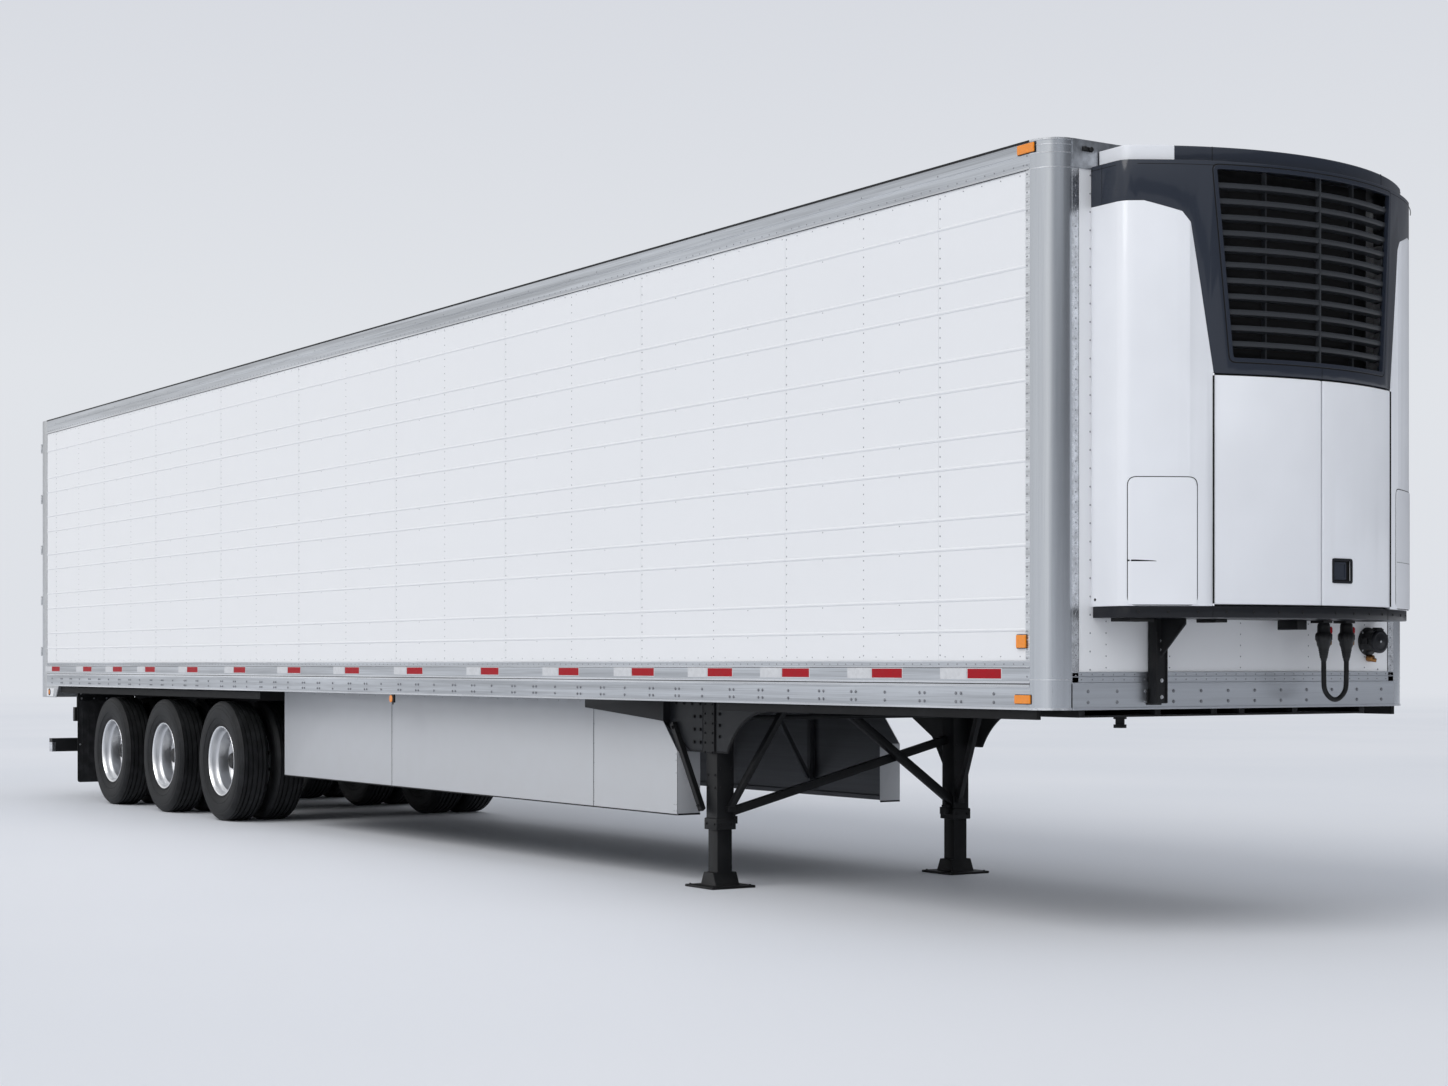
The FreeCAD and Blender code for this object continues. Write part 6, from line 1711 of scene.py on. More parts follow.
@dataclass
class Wheels:
    """Twin tyres, rims, hubs and drums of the six wheel bodies.

    Args:
        middle: Distance of a wheel's middle from the centreline.
        height: Height of the axles.
        twin: Half the distance between twin tyres.
        holes: Hand holes in a rim's disc.
        nuts: Wheel nuts.
        nut_circle: Radius of the circle of wheel nuts.
        cap_circle: Radius of the circle of the hub cap's bolts.
    """

    middle: float = 0.975
    height: float = 0.530
    twin: float = 0.170
    holes: int = 10
    nuts: int = 10
    nut_circle: float = 0.1425
    cap_circle: float = 0.084

    def build(self, fixings: Fixings) -> None:
        """Makes all six wheels."""
        for name, x in AXLES.items():
            for side in Side:
                body = f"wheel_{name}_{side.label}"
                centre = (x, side.value * self.middle, self.height)
                self.make_tyres(body, f"tyres_{name}_{side.label}", centre)
                self.make_rims(body, centre, side)
                self.make_hub(body, centre, side, fixings)

    @staticmethod
    def tyre_half() -> list[tuple[float, float]]:
        """Half of a tyre's outline, from its bead to the middle of the tread, as (radius, run)."""
        wall = [
            (0.290, 0.098), (0.297, 0.109), (0.314, 0.1165), (0.322, 0.1195), (0.325, 0.1165),
            (0.329, 0.1165), (0.332, 0.1205), (0.352, 0.1265), (0.374, 0.1325), (0.377, 0.1310),
            (0.381, 0.1310), (0.384, 0.1350), (0.412, 0.1392), (0.436, 0.1400), (0.458, 0.1385),
            (0.461, 0.1360), (0.466, 0.1360), (0.469, 0.1375), (0.488, 0.1345), (0.4905, 0.1310),
            (0.4940, 0.1310), (0.4965, 0.1330), (0.5090, 0.1270), (0.5190, 0.1180), (0.5255, 0.1060),
        ]
        tread = []
        for place, half in ((0.100, 0.0025), (0.066, 0.0065), (0.024, 0.0065)):
            tread += [
                (0.5292, place + half + 0.001), (0.5150, place + half),
                (0.5150, place - half), (0.5298, place - half - 0.001),
            ]
        return wall + tread

    def make_tyres(self, body: str, node: str, centre: Place) -> None:
        """Turns a twin pair of tyres."""
        half = self.tyre_half()
        outline = [*half, *((radius, -run) for radius, run in reversed(half))]
        shape = Shape()
        for way in (1, -1):
            middle = (centre[0], centre[1] + way * self.twin, centre[2])
            shape.turned(outline, middle, Axis.ACROSS, 88)
        shape.piece(f"tyre_pair_{body[6:]}", Finishes.tyre, body, crease=30, stands_for=(node,))

    def make_rims(self, body: str, centre: Place, side: Side) -> None:
        """Makes two rims with their discs back to back."""
        barrel = [
            (0.3100, 0.1075), (0.3100, 0.1120), (0.3070, 0.1150), (0.3020, 0.1145), (0.2960, 0.1080),
            (0.2890, 0.1000), (0.2850, 0.0850), (0.2830, 0.0600), (0.2760, 0.0500), (0.2620, 0.0400),
            (0.2580, 0.0200), (0.2570, -0.0500), (0.2600, -0.0620), (0.2780, -0.0850), (0.2850, -0.0980),
            (0.2960, -0.1080), (0.3020, -0.1145), (0.3070, -0.1150), (0.3100, -0.1120), (0.3100, -0.1075),
            (0.3000, -0.1030), (0.2895, -0.0975), (0.2890, -0.0850), (0.2650, -0.0500), (0.2650, 0.0200),
            (0.2690, 0.0400), (0.2890, 0.0600), (0.2895, 0.0975), (0.3000, 0.1030),
        ]
        shape = Shape()
        for way in (side.value, -side.value):
            far = way == side.value
            middle = (centre[0], centre[1] + side.value * (self.twin if far else -self.twin), centre[2])
            shape.turned([(radius, way * run) for radius, run in barrel], middle, Axis.ACROSS, 96)
            self.add_disc(shape, middle, way)
        shape.piece(f"rims_{body[6:]}", Finishes.rim, body, crease=40)
        flange = Shape()
        outer = (centre[0], centre[1] + side.value * self.twin, centre[2])
        lip = [
            (0.2890, 0.1000), (0.2965, 0.1085), (0.3020, 0.1150), (0.3075, 0.1156), (0.3108, 0.1122),
            (0.3108, 0.1078), (0.2995, 0.1028),
        ]
        flange.turned([(radius, side.value * run) for radius, run in lip], outer, Axis.ACROSS, 96)
        flange.piece(f"rim_flange_{body[6:]}", Finishes.flange, body, crease=40)

    def add_disc(self, shape: Shape, middle: Place, way: int) -> None:
        """Adds a dished disc with round hand holes, as a skin on both faces and in the holes.

        Args:
            shape: The shape it joins.
            middle: The middle of its tyre.
            way: The direction its hollow faces, along +Y or against it.
        """
        disc = DiscGrid(self.holes)
        rings = []
        for depth in (0.0, disc.thick):
            ring = []
            for k in range(disc.count):
                spots = [disc.spot(k, row, way, depth) for row in range(len(disc.rows))]
                ring.append([shape.mesh.verts.new([m + s for m, s in zip(middle, spot)]) for spot in spots])
            rings.append(ring)
        made = []
        for k in range(disc.count):
            after = (k + 1) % disc.count
            for n in range(len(disc.rows) - 1):
                if not disc.solid(k, n):
                    continue
                for ring in rings:
                    corners = (ring[k][n], ring[after][n], ring[after][n + 1], ring[k][n + 1])
                    made.append(shape.mesh.faces.new(corners))
                for closed, a, b in (
                    (disc.solid(k - 1, n), (k, n), (k, n + 1)),
                    (disc.solid(after, n), (after, n), (after, n + 1)),
                    (disc.solid(k, n - 1), (k, n), (after, n)),
                    (disc.solid(k, n + 1), (k, n + 1), (after, n + 1)),
                ):
                    if not closed:
                        corners = [rings[skin][i][j] for skin, (i, j) in ((0, a), (0, b), (1, b), (1, a))]
                        made.append(shape.mesh.faces.new(corners))
        for face in made:
            for loop in face.loops:
                spot = loop.vert.co - Vector(middle)
                turn = math.atan2(spot.z, spot.x) / (2 * math.pi)
                loop[shape.turn].uv = (turn, math.hypot(spot.x, spot.z))
        bmesh.ops.recalc_face_normals(shape.mesh, faces=made)

    def make_hub(self, body: str, centre: Place, side: Side, fixings: Fixings) -> None:
        """Turns the hub, its cap and the drum, and puts the wheel nuts on."""
        out = side.value
        hub = [
            (0.030, -0.012), (0.1085, -0.012), (0.1085, 0.012), (0.098, 0.020), (0.090, 0.034),
            (0.086, 0.140), (0.094, 0.148), (0.094, 0.158), (0.074, 0.162), (0.066, 0.190),
            (0.058, 0.198), (0.022, 0.200), (0.018, 0.196), (0.0005, 0.196), (0.0005, 0.170),
            (0.030, 0.160),
        ]
        drum = [
            (0.110, -0.012), (0.190, -0.012), (0.206, -0.03), (0.206, -0.05), (0.215, -0.055),
            (0.215, -0.080), (0.206, -0.085), (0.206, -0.225), (0.215, -0.230), (0.215, -0.270),
            (0.196, -0.270), (0.196, -0.04), (0.110, -0.03),
        ]
        shape = Shape()
        for profile in (hub, drum):
            shape.turned([(radius, out * run) for radius, run in profile], centre, Axis.ACROSS, 48)
        shape.piece(f"hub_{body[6:]}", Finishes.hub, body, crease=32, stands_for=(body,))
        nuts = [2 * math.pi * (k + 0.5) / self.nuts for k in range(self.nuts)]
        spots = self.circle(centre, side, out * 0.0095, self.nut_circle, nuts)
        fixings.bolts(f"wheel_nuts_{body[6:]}", spots, Finishes.zinc, body, radius=0.022, height=0.026)
        cap = [2 * math.pi * k / 6 for k in range(6)]
        small = self.circle(centre, side, out * 0.158, self.cap_circle, cap)
        fixings.bolts(f"cap_bolts_{body[6:]}", small, Finishes.zinc, body, radius=0.008, height=0.005)

    @staticmethod
    def circle(centre: Place, side: Side, out: float, radius: float, angles: Sequence[float]) -> list[Spot]:
        """Places for bolts in a circle round a wheel's axis.

        Args:
            centre: The wheel's middle.
            side: The wheel's side, which the bolts face.
            out: How far from the wheel's middle they sit, along +Y.
            radius: The circle's radius.
            angles: Their angles.

        Returns:
            The spots.
        """
        x, y, z = centre
        return [((x + radius * math.cos(a), y + out, z + radius * math.sin(a)), side.outward) for a in angles]


@dataclass
class RunningGear:
    """Air springs, and the fittings of the axles.

    Args:
        nodes: The CAD nodes by name.
        lag: How far an air spring stands behind its axle.
        out: Its distance from the centreline.
    """

    nodes: dict[str, bpy.types.Object]
    lag: float = 0.380
    out: float = 0.460

    def build(self, fixings: Fixings) -> None:
        """Makes the bellows and the fittings round them."""
        for node in ("suspension_hangers", "trailing_arms", "brake_chambers", "axles"):
            Softening(node, Finishes.chassis, 0.003).build(self.nodes)
        bellows, metal = Shape(), Shape()
        spots: list[Spot] = []
        for x in AXLES.values():
            for side in Side:
                y = side.value * self.out
                self.add_spring(bellows, metal, (x - self.lag, y, 0.0))
                for turn in (45, 135, 225, 315):
                    a = math.radians(turn)
                    spots.append(((x + 0.085 * math.cos(a), y + 0.036 * math.sin(a), 0.646), UPWARD))
                ring = [(0.0805, -0.012), (0.089, -0.010), (0.089, 0.010), (0.0805, 0.012)]
                metal.turned(ring, (x + 0.115, side.value * 0.27, 0.68), Axis.ALONG, 28)
        bellows.piece("air_bellows", Finishes.bellows, crease=60, stands_for=("air_springs",))
        metal.piece("spring_fittings", Finishes.zinc, crease=40)
        fixings.bolts("axle_clamp_bolts", spots, Finishes.zinc, radius=0.016, height=0.014)

    @staticmethod
    def add_spring(bellows: Shape, metal: Shape, foot: Place) -> None:
        """Adds one rolling bellows with its piston below and its plate above."""
        roll = [
            (0.0005, 0.600), (0.095, 0.600), (0.098, 0.640), (0.090, 0.720), (0.096, 0.728), (0.112, 0.716),
            (0.124, 0.722), (0.1295, 0.745), (0.130, 0.790), (0.1285, 0.860), (0.130, 0.900), (0.127, 0.950),
            (0.112, 0.982), (0.095, 0.992), (0.0005, 0.992),
        ]
        bellows.turned(roll, foot, Axis.UP, 40)
        plate = [(0.0005, 0.990), (0.104, 0.990), (0.108, 0.995), (0.108, 1.005), (0.0005, 1.005)]
        metal.turned(plate, foot, Axis.UP, 40)


# --------------------------------------------------------------------------- refrigeration unit


def rounded(corners: Outline, radius: float, count: int = 5) -> list[tuple[float, float]]:
    """A closed outline with its corners rounded.

    Args:
        corners: The sharp corners, in order.
        radius: How far from a corner its rounding starts.
        count: How many runs make one corner.

    Returns:
        The rounded outline.
    """
    made = []
    for number, corner in enumerate(corners):
        before, after = Vector(corners[number - 1]), Vector(corners[(number + 1) % len(corners)])
        here = Vector(corner)
        start = here + (before - here).normalized() * radius
        end = here + (after - here).normalized() * radius
        for k in range(count + 1):
            t = k / count
            made.append(tuple(start * (1 - t) ** 2 + here * (2 * t * (1 - t)) + end * t**2))
    return made


def divided(outline: Outline, length: float) -> list[tuple[float, float]]:
    """A closed outline whose long runs are divided into pieces no longer than the length."""
    made = []
    for here, after in zip(outline, [*outline[1:], outline[0]]):
        count = max(1, math.ceil(math.dist(here, after) / length))
        made += [tuple(Vector(here).lerp(Vector(after), k / count)) for k in range(count)]
    return made


@dataclass(frozen=True)
class Bow:
    """Plan of the unit's bowed front, followed from the wall on one side.

    Args:
        half: Half the unit's width.
        corner: Radius of its corners.
        radius: Radius of its front.
        centre: Middle of the front's arc, along the trailer.
    """

    half: float = 1.030
    corner: float = 0.090
    radius: float = 1.750
    centre: float = 6.716

    @property
    def middle(self) -> tuple[float, float]:
        """Middle of a corner's arc: along, and out from the centreline."""
        across = self.half - self.corner
        return self.centre + math.sqrt((self.radius - self.corner) ** 2 - across**2), across

    @property
    def slope(self) -> float:
        """Angle at which the corner meets the front."""
        along, across = self.middle
        return math.atan2(across, along - self.centre)

    @property
    def bend_end(self) -> float:
        """Run from the wall to the corner's end."""
        return self.middle[0] - FRONT_FACE + self.corner * (math.pi / 2 - self.slope)

    def spot(self, run: float, up: float, out: float = 0.0, side: Side = Side.RIGHT) -> Place:
        """A point on the bow.

        Args:
            run: How far along the plan it is from the wall.
            up: Its height.
            out: How far it stands out of the surface.
            side: The side that the run starts from.

        Returns:
            The point.
        """
        along, across = self.middle
        straight = along - FRONT_FACE
        if run < straight:
            return FRONT_FACE + run, side.value * (self.half + out), up
        if run < self.bend_end:
            angle = math.pi / 2 - (run - straight) / self.corner
            reach = self.corner + out
            return along + reach * math.cos(angle), side.value * (across + reach * math.sin(angle)), up
        angle = self.slope - (run - self.bend_end) / self.radius
        reach = self.radius + out
        return self.centre + reach * math.cos(angle), side.value * reach * math.sin(angle), up

    def run_at(self, across: float) -> float:
        """The run to the place on the front that is this far from the centreline."""
        return self.bend_end + self.radius * (self.slope - math.asin(across / self.radius))

    def patch(
        self, shape: Shape, runs: Sequence[float], band: tuple[float, float], depth: tuple[float, float],
        side: Side = Side.RIGHT, drop: Sequence[float] = (),
    ) -> None:
        """Adds a curved plate.

        Args:
            shape: The shape that it joins.
            runs: The runs at which it is drawn.
            band: Its foot and top.
            depth: Its inner and outer face.
            side: The side that the runs start from.
            drop: How far its top is lowered at each run.
        """
        low, high = band
        inner, outer = depth
        drops = drop or [0.0] * len(runs)
        shape.loft([
            [
                self.spot(run, low, inner, side), self.spot(run, low, outer, side),
                self.spot(run, high - less, outer, side), self.spot(run, high - less, inner, side),
            ]
            for run, less in zip(runs, drops)
        ])

    def ring(
        self, shape: Shape, outline: Outline, width: float, depth: Span, side: Side = Side.RIGHT
    ) -> None:
        """Adds a band along a closed outline.

        Args:
            shape: The shape that it joins.
            outline: Points as (run, height), in order.
            width: How far the band reaches inwards from the outline.
            depth: Its inner and outer face.
            side: The side that the runs start from.
        """
        count = len(outline)
        area = sum(a[0] * b[1] - b[0] * a[1] for a, b in zip(outline, [*outline[1:], outline[0]]))
        turn = 1.0 if area > 0 else -1.0
        loops = []
        for number, here in enumerate(outline):
            way = Vector(outline[(number + 1) % count]) - Vector(outline[number - 1])
            way.normalize()
            inside = (here[0] - way.y * turn * width, here[1] + way.x * turn * width)
            corners = ((here, depth[0]), (here, depth[1]), (inside, depth[1]), (inside, depth[0]))
            loops.append([shape.mesh.verts.new(self.spot(p[0], p[1], out, side)) for p, out in corners])
        made = []
        for number, loop in enumerate(loops):
            ahead = loops[(number + 1) % count]
            for k in range(4):
                after = (k + 1) % 4
                made.append(shape.mesh.faces.new((loop[k], loop[after], ahead[after], ahead[k])))
        bmesh.ops.recalc_face_normals(shape.mesh, faces=made)


@dataclass
class CoolingUnit:
    """The refrigeration unit on the front wall.

    Args:
        nodes: The CAD nodes by name.
        bow: Its plan.
        door: Distance of a door's outer edge from the centreline.
        hinge: Distance of a hinge's axis from the centreline.
        low: Foot of the doors and panels.
        door_top: Top of the doors.
        grille: Foot and top of the opening.
        grille_half: Half the opening's width at its foot and at its top.
        louvres: How many louvres it has.
    """

    nodes: dict[str, bpy.types.Object]
    bow: Bow = field(default_factory=Bow)
    door: float = 0.630
    hinge: float = 0.63065
    low: float = 1.672
    door_top: float = 2.808
    grille: tuple[float, float] = (2.886, 3.815)
    grille_half: tuple[float, float] = (0.532, 0.618)
    louvres: int = 11

    def build(self, fixings: Fixings) -> None:
        """Makes the unit from the inside out."""
        self.soften()
        self.make_grille()
        self.make_louvres()
        self.make_seams()
        self.make_hatches()
        self.make_latch()
        self.make_cap()
        self.make_screws(fixings)

    def soften(self) -> None:
        """Rounds the edges of the panels, doors, shroud and base."""
        for node, finish, body, round_off in (
            ("unit_side_panels", Finishes.white, BODY, 0.007),
            ("unit_door_left", Finishes.white, "unit_door_left", 0.007),
            ("unit_door_right", Finishes.white, "unit_door_right", 0.007),
            ("unit_shroud", Finishes.slate, BODY, 0.004),
            ("unit_base", Finishes.base, BODY, 0.004),
        ):
            shape = Shape().copied(self.nodes[node])
            shape.piece(f"{node}_skin", finish, body, round_off, 40, 3, (node,))

    def opening(self, out: float = 0.0) -> list[tuple[float, float]]:
        """The grille's outline as (run, height), grown outwards, with rounded corners."""
        (low, high), (foot, top) = self.grille, self.grille_half
        centre = self.bow.run_at(0.0)
        foot_run = centre - self.bow.run_at(foot + out)
        top_run = centre - self.bow.run_at(top + out)
        corners = [
            (centre - foot_run, low - out), (centre + foot_run, low - out),
            (centre + top_run, high + out), (centre - top_run, high + out),
        ]
        return divided(rounded(corners, 0.035), 0.05)

    def make_grille(self) -> None:
        """Lays the seal and the thin rim round the opening."""
        seal, rim = Shape(), Shape()
        self.bow.ring(seal, self.opening(0.022), 0.006, (-0.006, 0.0006))
        self.bow.ring(rim, self.opening(0.016), 0.020, (-0.02, 0.0025))
        seal.piece("grille_seal", Finishes.core, bevel=0.0002)
        rim.piece("grille_rim", Finishes.slate, bevel=0.0016, crease=50)

    def make_louvres(self) -> None:
        """Sets the curved louvres into the opening."""
        low, high = self.grille
        blade = Shape()
        section = [
            (-0.004, 0.0125), (0.002, 0.0085), (0.003, -0.006), (-0.001, -0.0135),
            (-0.048, -0.019), (-0.050, -0.015), (-0.050, 0.003), (-0.046, 0.005),
        ]
        places = [k / 24 - 0.5 for k in range(25)]
        blade.loft([[(x, y, z) for x, z in section] for y in places])
        mesh = bpy.data.meshes.new("blade")
        blade.mesh.to_mesh(mesh)
        blade.mesh.free()
        self.louvre_plan().run(
            mesh, "louvre_blades", Finishes.louvre, crease=40, Count=self.louvres,
            Low=low + (high - low) / (self.louvres + 1), High=high - (high - low) / (self.louvres + 1),
            Foot_width=2 * self.grille_half[0] + 0.03, Top_width=2 * self.grille_half[1] + 0.01,
            Radius=self.bow.radius - 0.016, Centre=self.bow.centre,
        )
        bars = Shape()
        for across, out, wide in ((0.0, -0.010, 0.010), (-0.31, -0.050, 0.008), (0.31, -0.050, 0.008)):
            x = self.bow.centre + math.sqrt((self.bow.radius + out) ** 2 - across**2)
            bars.block((x - 0.03, across - wide / 2, low - 0.01), (x, across + wide / 2, high + 0.01))
        bars.piece("louvre_posts", Finishes.louvre, bevel=0.002, stands_for=("unit_grille",))

    @staticmethod
    def louvre_plan() -> NodePlan:
        """The tree that stacks the blades, widens them upwards and bends them round the bow."""
        number, whole = "NodeSocketFloat", "NodeSocketInt"
        plan = NodePlan("louvres", {
            "Count": (whole, 11), "Low": (number, 2.9), "High": (number, 3.8),
            "Foot width": (number, 1.0), "Top width": (number, 1.2),
            "Radius": (number, 1.7), "Centre": (number, 6.7), "Finish": ("NodeSocketMaterial", None),
        })

        def maths(operation: str, first: Any, second: Any = 0.0) -> bpy.types.NodeSocket:
            """One Math node."""
            return plan.add("ShaderNodeMath", {"operation": operation}, {0: first, 1: second})

        last = maths("SUBTRACT", plan["Count"], 1.0)
        share = maths("DIVIDE", plan.add("GeometryNodeInputIndex"), last)
        rise = maths("SUBTRACT", plan["High"], plan["Low"])
        up = maths("ADD", plan["Low"], maths("MULTIPLY", rise, share))
        spread = maths("SUBTRACT", plan["Top width"], plan["Foot width"])
        width = maths("ADD", plan["Foot width"], maths("MULTIPLY", spread, share))
        place = plan.add("ShaderNodeCombineXYZ", {}, {2: up})
        points = plan.add("GeometryNodePoints", {}, {"Count": plan["Count"], "Position": place})
        scale = plan.add("ShaderNodeCombineXYZ", {}, {0: 1.0, 1: width, 2: 1.0})
        values = {"Points": points, "Instance": plan["Geometry"], "Scale": scale}
        stack = plan.add("GeometryNodeInstanceOnPoints", {}, values)
        real = plan.add("GeometryNodeRealizeInstances", {}, {0: stack})
        split = plan.add("ShaderNodeSeparateXYZ", {}, {0: plan.add("GeometryNodeInputPosition")}, "Y")
        reach = maths("MULTIPLY", plan["Radius"], plan["Radius"])
        square = maths("SUBTRACT", reach, maths("MULTIPLY", split, split))
        ahead = maths("ADD", plan["Centre"], maths("SQRT", square))
        bend = plan.add("ShaderNodeCombineXYZ", {}, {0: ahead})
        plan.finish(plan.add("GeometryNodeSetPosition", {}, {"Geometry": real, "Offset": bend}))
        return plan

    def make_seams(self) -> None:
        """Backs the gaps round the doors, sleeves the hinges, and scores the shroud and base."""
        shape = Shape()
        run, middle = self.bow.run_at(self.door), self.bow.run_at(0.0)
        low, top, half, depth = self.low, self.door_top, 0.012, (-0.0335, -0.0295)
        for side in Side:
            self.bow.patch(shape, [run - half, run + half], (low, top), depth, side)
            for band in ((low + 0.001, low + 0.018), (top - 0.014, top + 0.006)):
                self.bow.patch(shape, steps(run - half, middle, 0.06), band, depth, side)
        self.bow.patch(shape, [middle - half, middle + half], (low, top), depth)
        shape.piece("unit_seals", Finishes.seal, bevel=0.0004)
        barrel = Shape()
        bore, skin = 0.00437, 0.00448
        low, high = self.low + 0.012, self.door_top - 0.008
        for side in Side:
            across = side.value * self.hinge
            foot = (self.bow.centre + math.sqrt(self.bow.radius**2 - across**2), across, 0.0)
            barrel.turned([(bore, low), (skin, low), (skin, high), (bore, high)], foot, Axis.UP, 16)
        barrel.piece("hinge_sleeves", Finishes.core, crease=50)
        score, shallow = Shape(), (-0.004, 0.0003)
        for side in Side:
            self.bow.patch(score, [0.078, 0.0805], (3.655, 3.85), shallow, side)
            self.bow.patch(score, [run, run + 0.003], (1.616, 1.671), (-0.02, -0.0115), side)
        self.bow.patch(score, [middle - 0.0015, middle + 0.0015], (2.814, 2.862), shallow)
        self.bow.patch(score, steps(0.0, 2 * middle, 0.06), (3.8275, 3.8305), shallow)
        score.piece("unit_scores", Finishes.core, bevel=0.0002)

    def make_hatches(self) -> None:
        """Sets a service hatch into each side panel."""
        lid, gap, dark = Shape(), Shape(), Shape()
        low, high, curve = self.low + 0.006, 2.300, 0.045
        for side, start in ((Side.RIGHT, 0.246), (Side.LEFT, 0.124)):
            end = 0.588
            runs = steps(start, end, 0.012)
            drops = []
            for run in runs:
                inset = min(run - start, end - run)
                drops.append(curve - math.sqrt(max(0.0, curve**2 - max(0.0, curve - inset) ** 2)))
            self.bow.patch(lid, runs, (low, high), (-0.004, 0.0042), side, drops)
            outline = divided(rounded([(start, low), (end, low), (end, high), (start, high)], curve, 6), 0.04)
            self.bow.ring(gap, self.grown(outline, 0.0042), 0.0042, (-0.004, 0.0008), side)
        slit = (0.002, 0.0046)
        taper = (0.0, 0.0, 0.0, 0.001, 0.002, 0.003, 0.004, 0.006)
        self.bow.patch(dark, steps(0.246, 0.385, 0.02), (1.889, 1.898), slit, Side.RIGHT, taper)
        self.bow.patch(dark, steps(0.126, 0.586, 0.03), (1.918, 1.921), slit, Side.LEFT)
        self.bow.patch(dark, steps(0.150, 0.200, 0.01), (2.105, 2.245), (0.002, 0.0075), Side.LEFT)
        lid.piece("hatch_lids", Finishes.white, bevel=0.0028, crease=50, segments=3)
        gap.piece("hatch_gaps", Finishes.seal, bevel=0.0002)
        dark.piece("hatch_grips", Finishes.core, bevel=0.0012, crease=50)

    @staticmethod
    def grown(outline: Outline, out: float) -> list[tuple[float, float]]:
        """A convex outline grown outwards from its middle."""
        columns = []
        for numbers in zip(*outline):
            middle = sum(numbers) / len(numbers)
            size = max(numbers) - min(numbers)
            factor = (size + 2 * out) / size
            columns.append([middle + (number - middle) * factor for number in numbers])
        return list(zip(*columns))

    @staticmethod
    def window(runs: Span, band: Span, radius: float) -> list[Span]:
        """A small rounded rectangle between two runs and two heights, divided to follow the bow."""
        (near, far), (low, high) = runs, band
        return divided(rounded([(near, low), (far, low), (far, high), (near, high)], radius), 0.03)

    def make_latch(self) -> None:
        """Fits the flush latch of the left door: frame, tray and paddle."""
        frame, tray, paddle = Shape(), Shape(), Shape()
        near, far = self.bow.run_at(0.231), self.bow.run_at(0.078)
        low, high = 1.798, 1.915
        outline = self.window((near, far), (low, high), 0.016)
        self.bow.ring(frame, self.grown(outline, 0.004), 0.013, (-0.004, 0.0026), Side.LEFT)
        self.bow.patch(tray, steps(near, far, 0.03), (low, high), (-0.0135, -0.0112), Side.LEFT)
        inner = self.window((near + 0.045, far - 0.014), (low + 0.014, high - 0.014), 0.008)
        self.bow.ring(paddle, inner, 0.010, (-0.012, -0.002), Side.LEFT)
        runs, band = steps(near + 0.05, far - 0.018, 0.02), (low + 0.018, high - 0.018)
        self.bow.patch(paddle, runs, band, (-0.012, -0.005), Side.LEFT)
        frame.piece("latch_frame", Finishes.base, "unit_door_left", 0.0012, 50)
        tray.piece("latch_tray", Finishes.core, "unit_door_left", 0.0005)
        paddle.piece("latch_paddle", Finishes.slate, "unit_door_left", 0.0018, 50)

    def make_cap(self) -> None:
        """Covers the top edge: dark over the front, pale beside the right-hand end."""
        dark = Shape().copied(self.nodes["unit_cap"])
        dark.piece(
            "unit_cap_skin", Finishes.slate, bevel=0.010, crease=40, segments=4, stands_for=("unit_cap",)
        )
        pale = Shape()
        runs = steps(0.012, self.bow.run_at(0.80), 0.03)
        self.bow.patch(pale, runs, (3.8505, 3.9305), (-0.06, -0.0425), Side.RIGHT)
        pale.piece("cap_end_cover", Finishes.white, bevel=0.004, crease=50)
        seam = Shape()
        for side in Side:
            run = self.bow.run_at(0.62)
            self.bow.patch(seam, [run, run + 0.003], (3.851, 3.929), (-0.06, -0.0440), side)
        seam.piece("cap_seams", Finishes.core, bevel=0.0002)

    def make_screws(self, fixings: Fixings) -> None:
        """Puts screws into the panels, the base and the cover."""
        spots = [(self.bow.spot(0.030, 1.706, 0.0, side), side.outward) for side in Side]
        fixings.rivets("panel_screws", spots, Finishes.core, radius=0.008, height=0.003)
        small: list[Spot] = []
        up = 1.644
        for side in Side:
            for run in steps(0.30, 1.20, 0.15):
                a, b = self.bow.spot(run, up, 0.0, side), self.bow.spot(run, up, 1.0, side)
                way = (b[0] - a[0], b[1] - a[1], 0.0)
                small.append((self.bow.spot(run, up, -0.012, side), way))
        fixings.bolts("base_bolts", small, Finishes.plug, radius=0.008, height=0.004)


# --------------------------------------------------------------------------- under the body


@dataclass(frozen=True)
class Softening:
    """How a CAD node is shown again with its edges rounded.

    Args:
        node: The CAD node.
        finish: The finish of the copy.
        bevel: Width of the rounding.
        body: The body that it rides on.
    """

    node: str
    finish: Finish
    bevel: float = 0.003
    body: str = BODY

    def build(self, nodes: dict[str, bpy.types.Object]) -> None:
        """Makes the rounded copy in the node's place."""
        shape = Shape().copied(nodes[self.node])
        shape.piece(f"{self.node}_skin", self.finish, self.body, self.bevel, 40, 2, (self.node,))


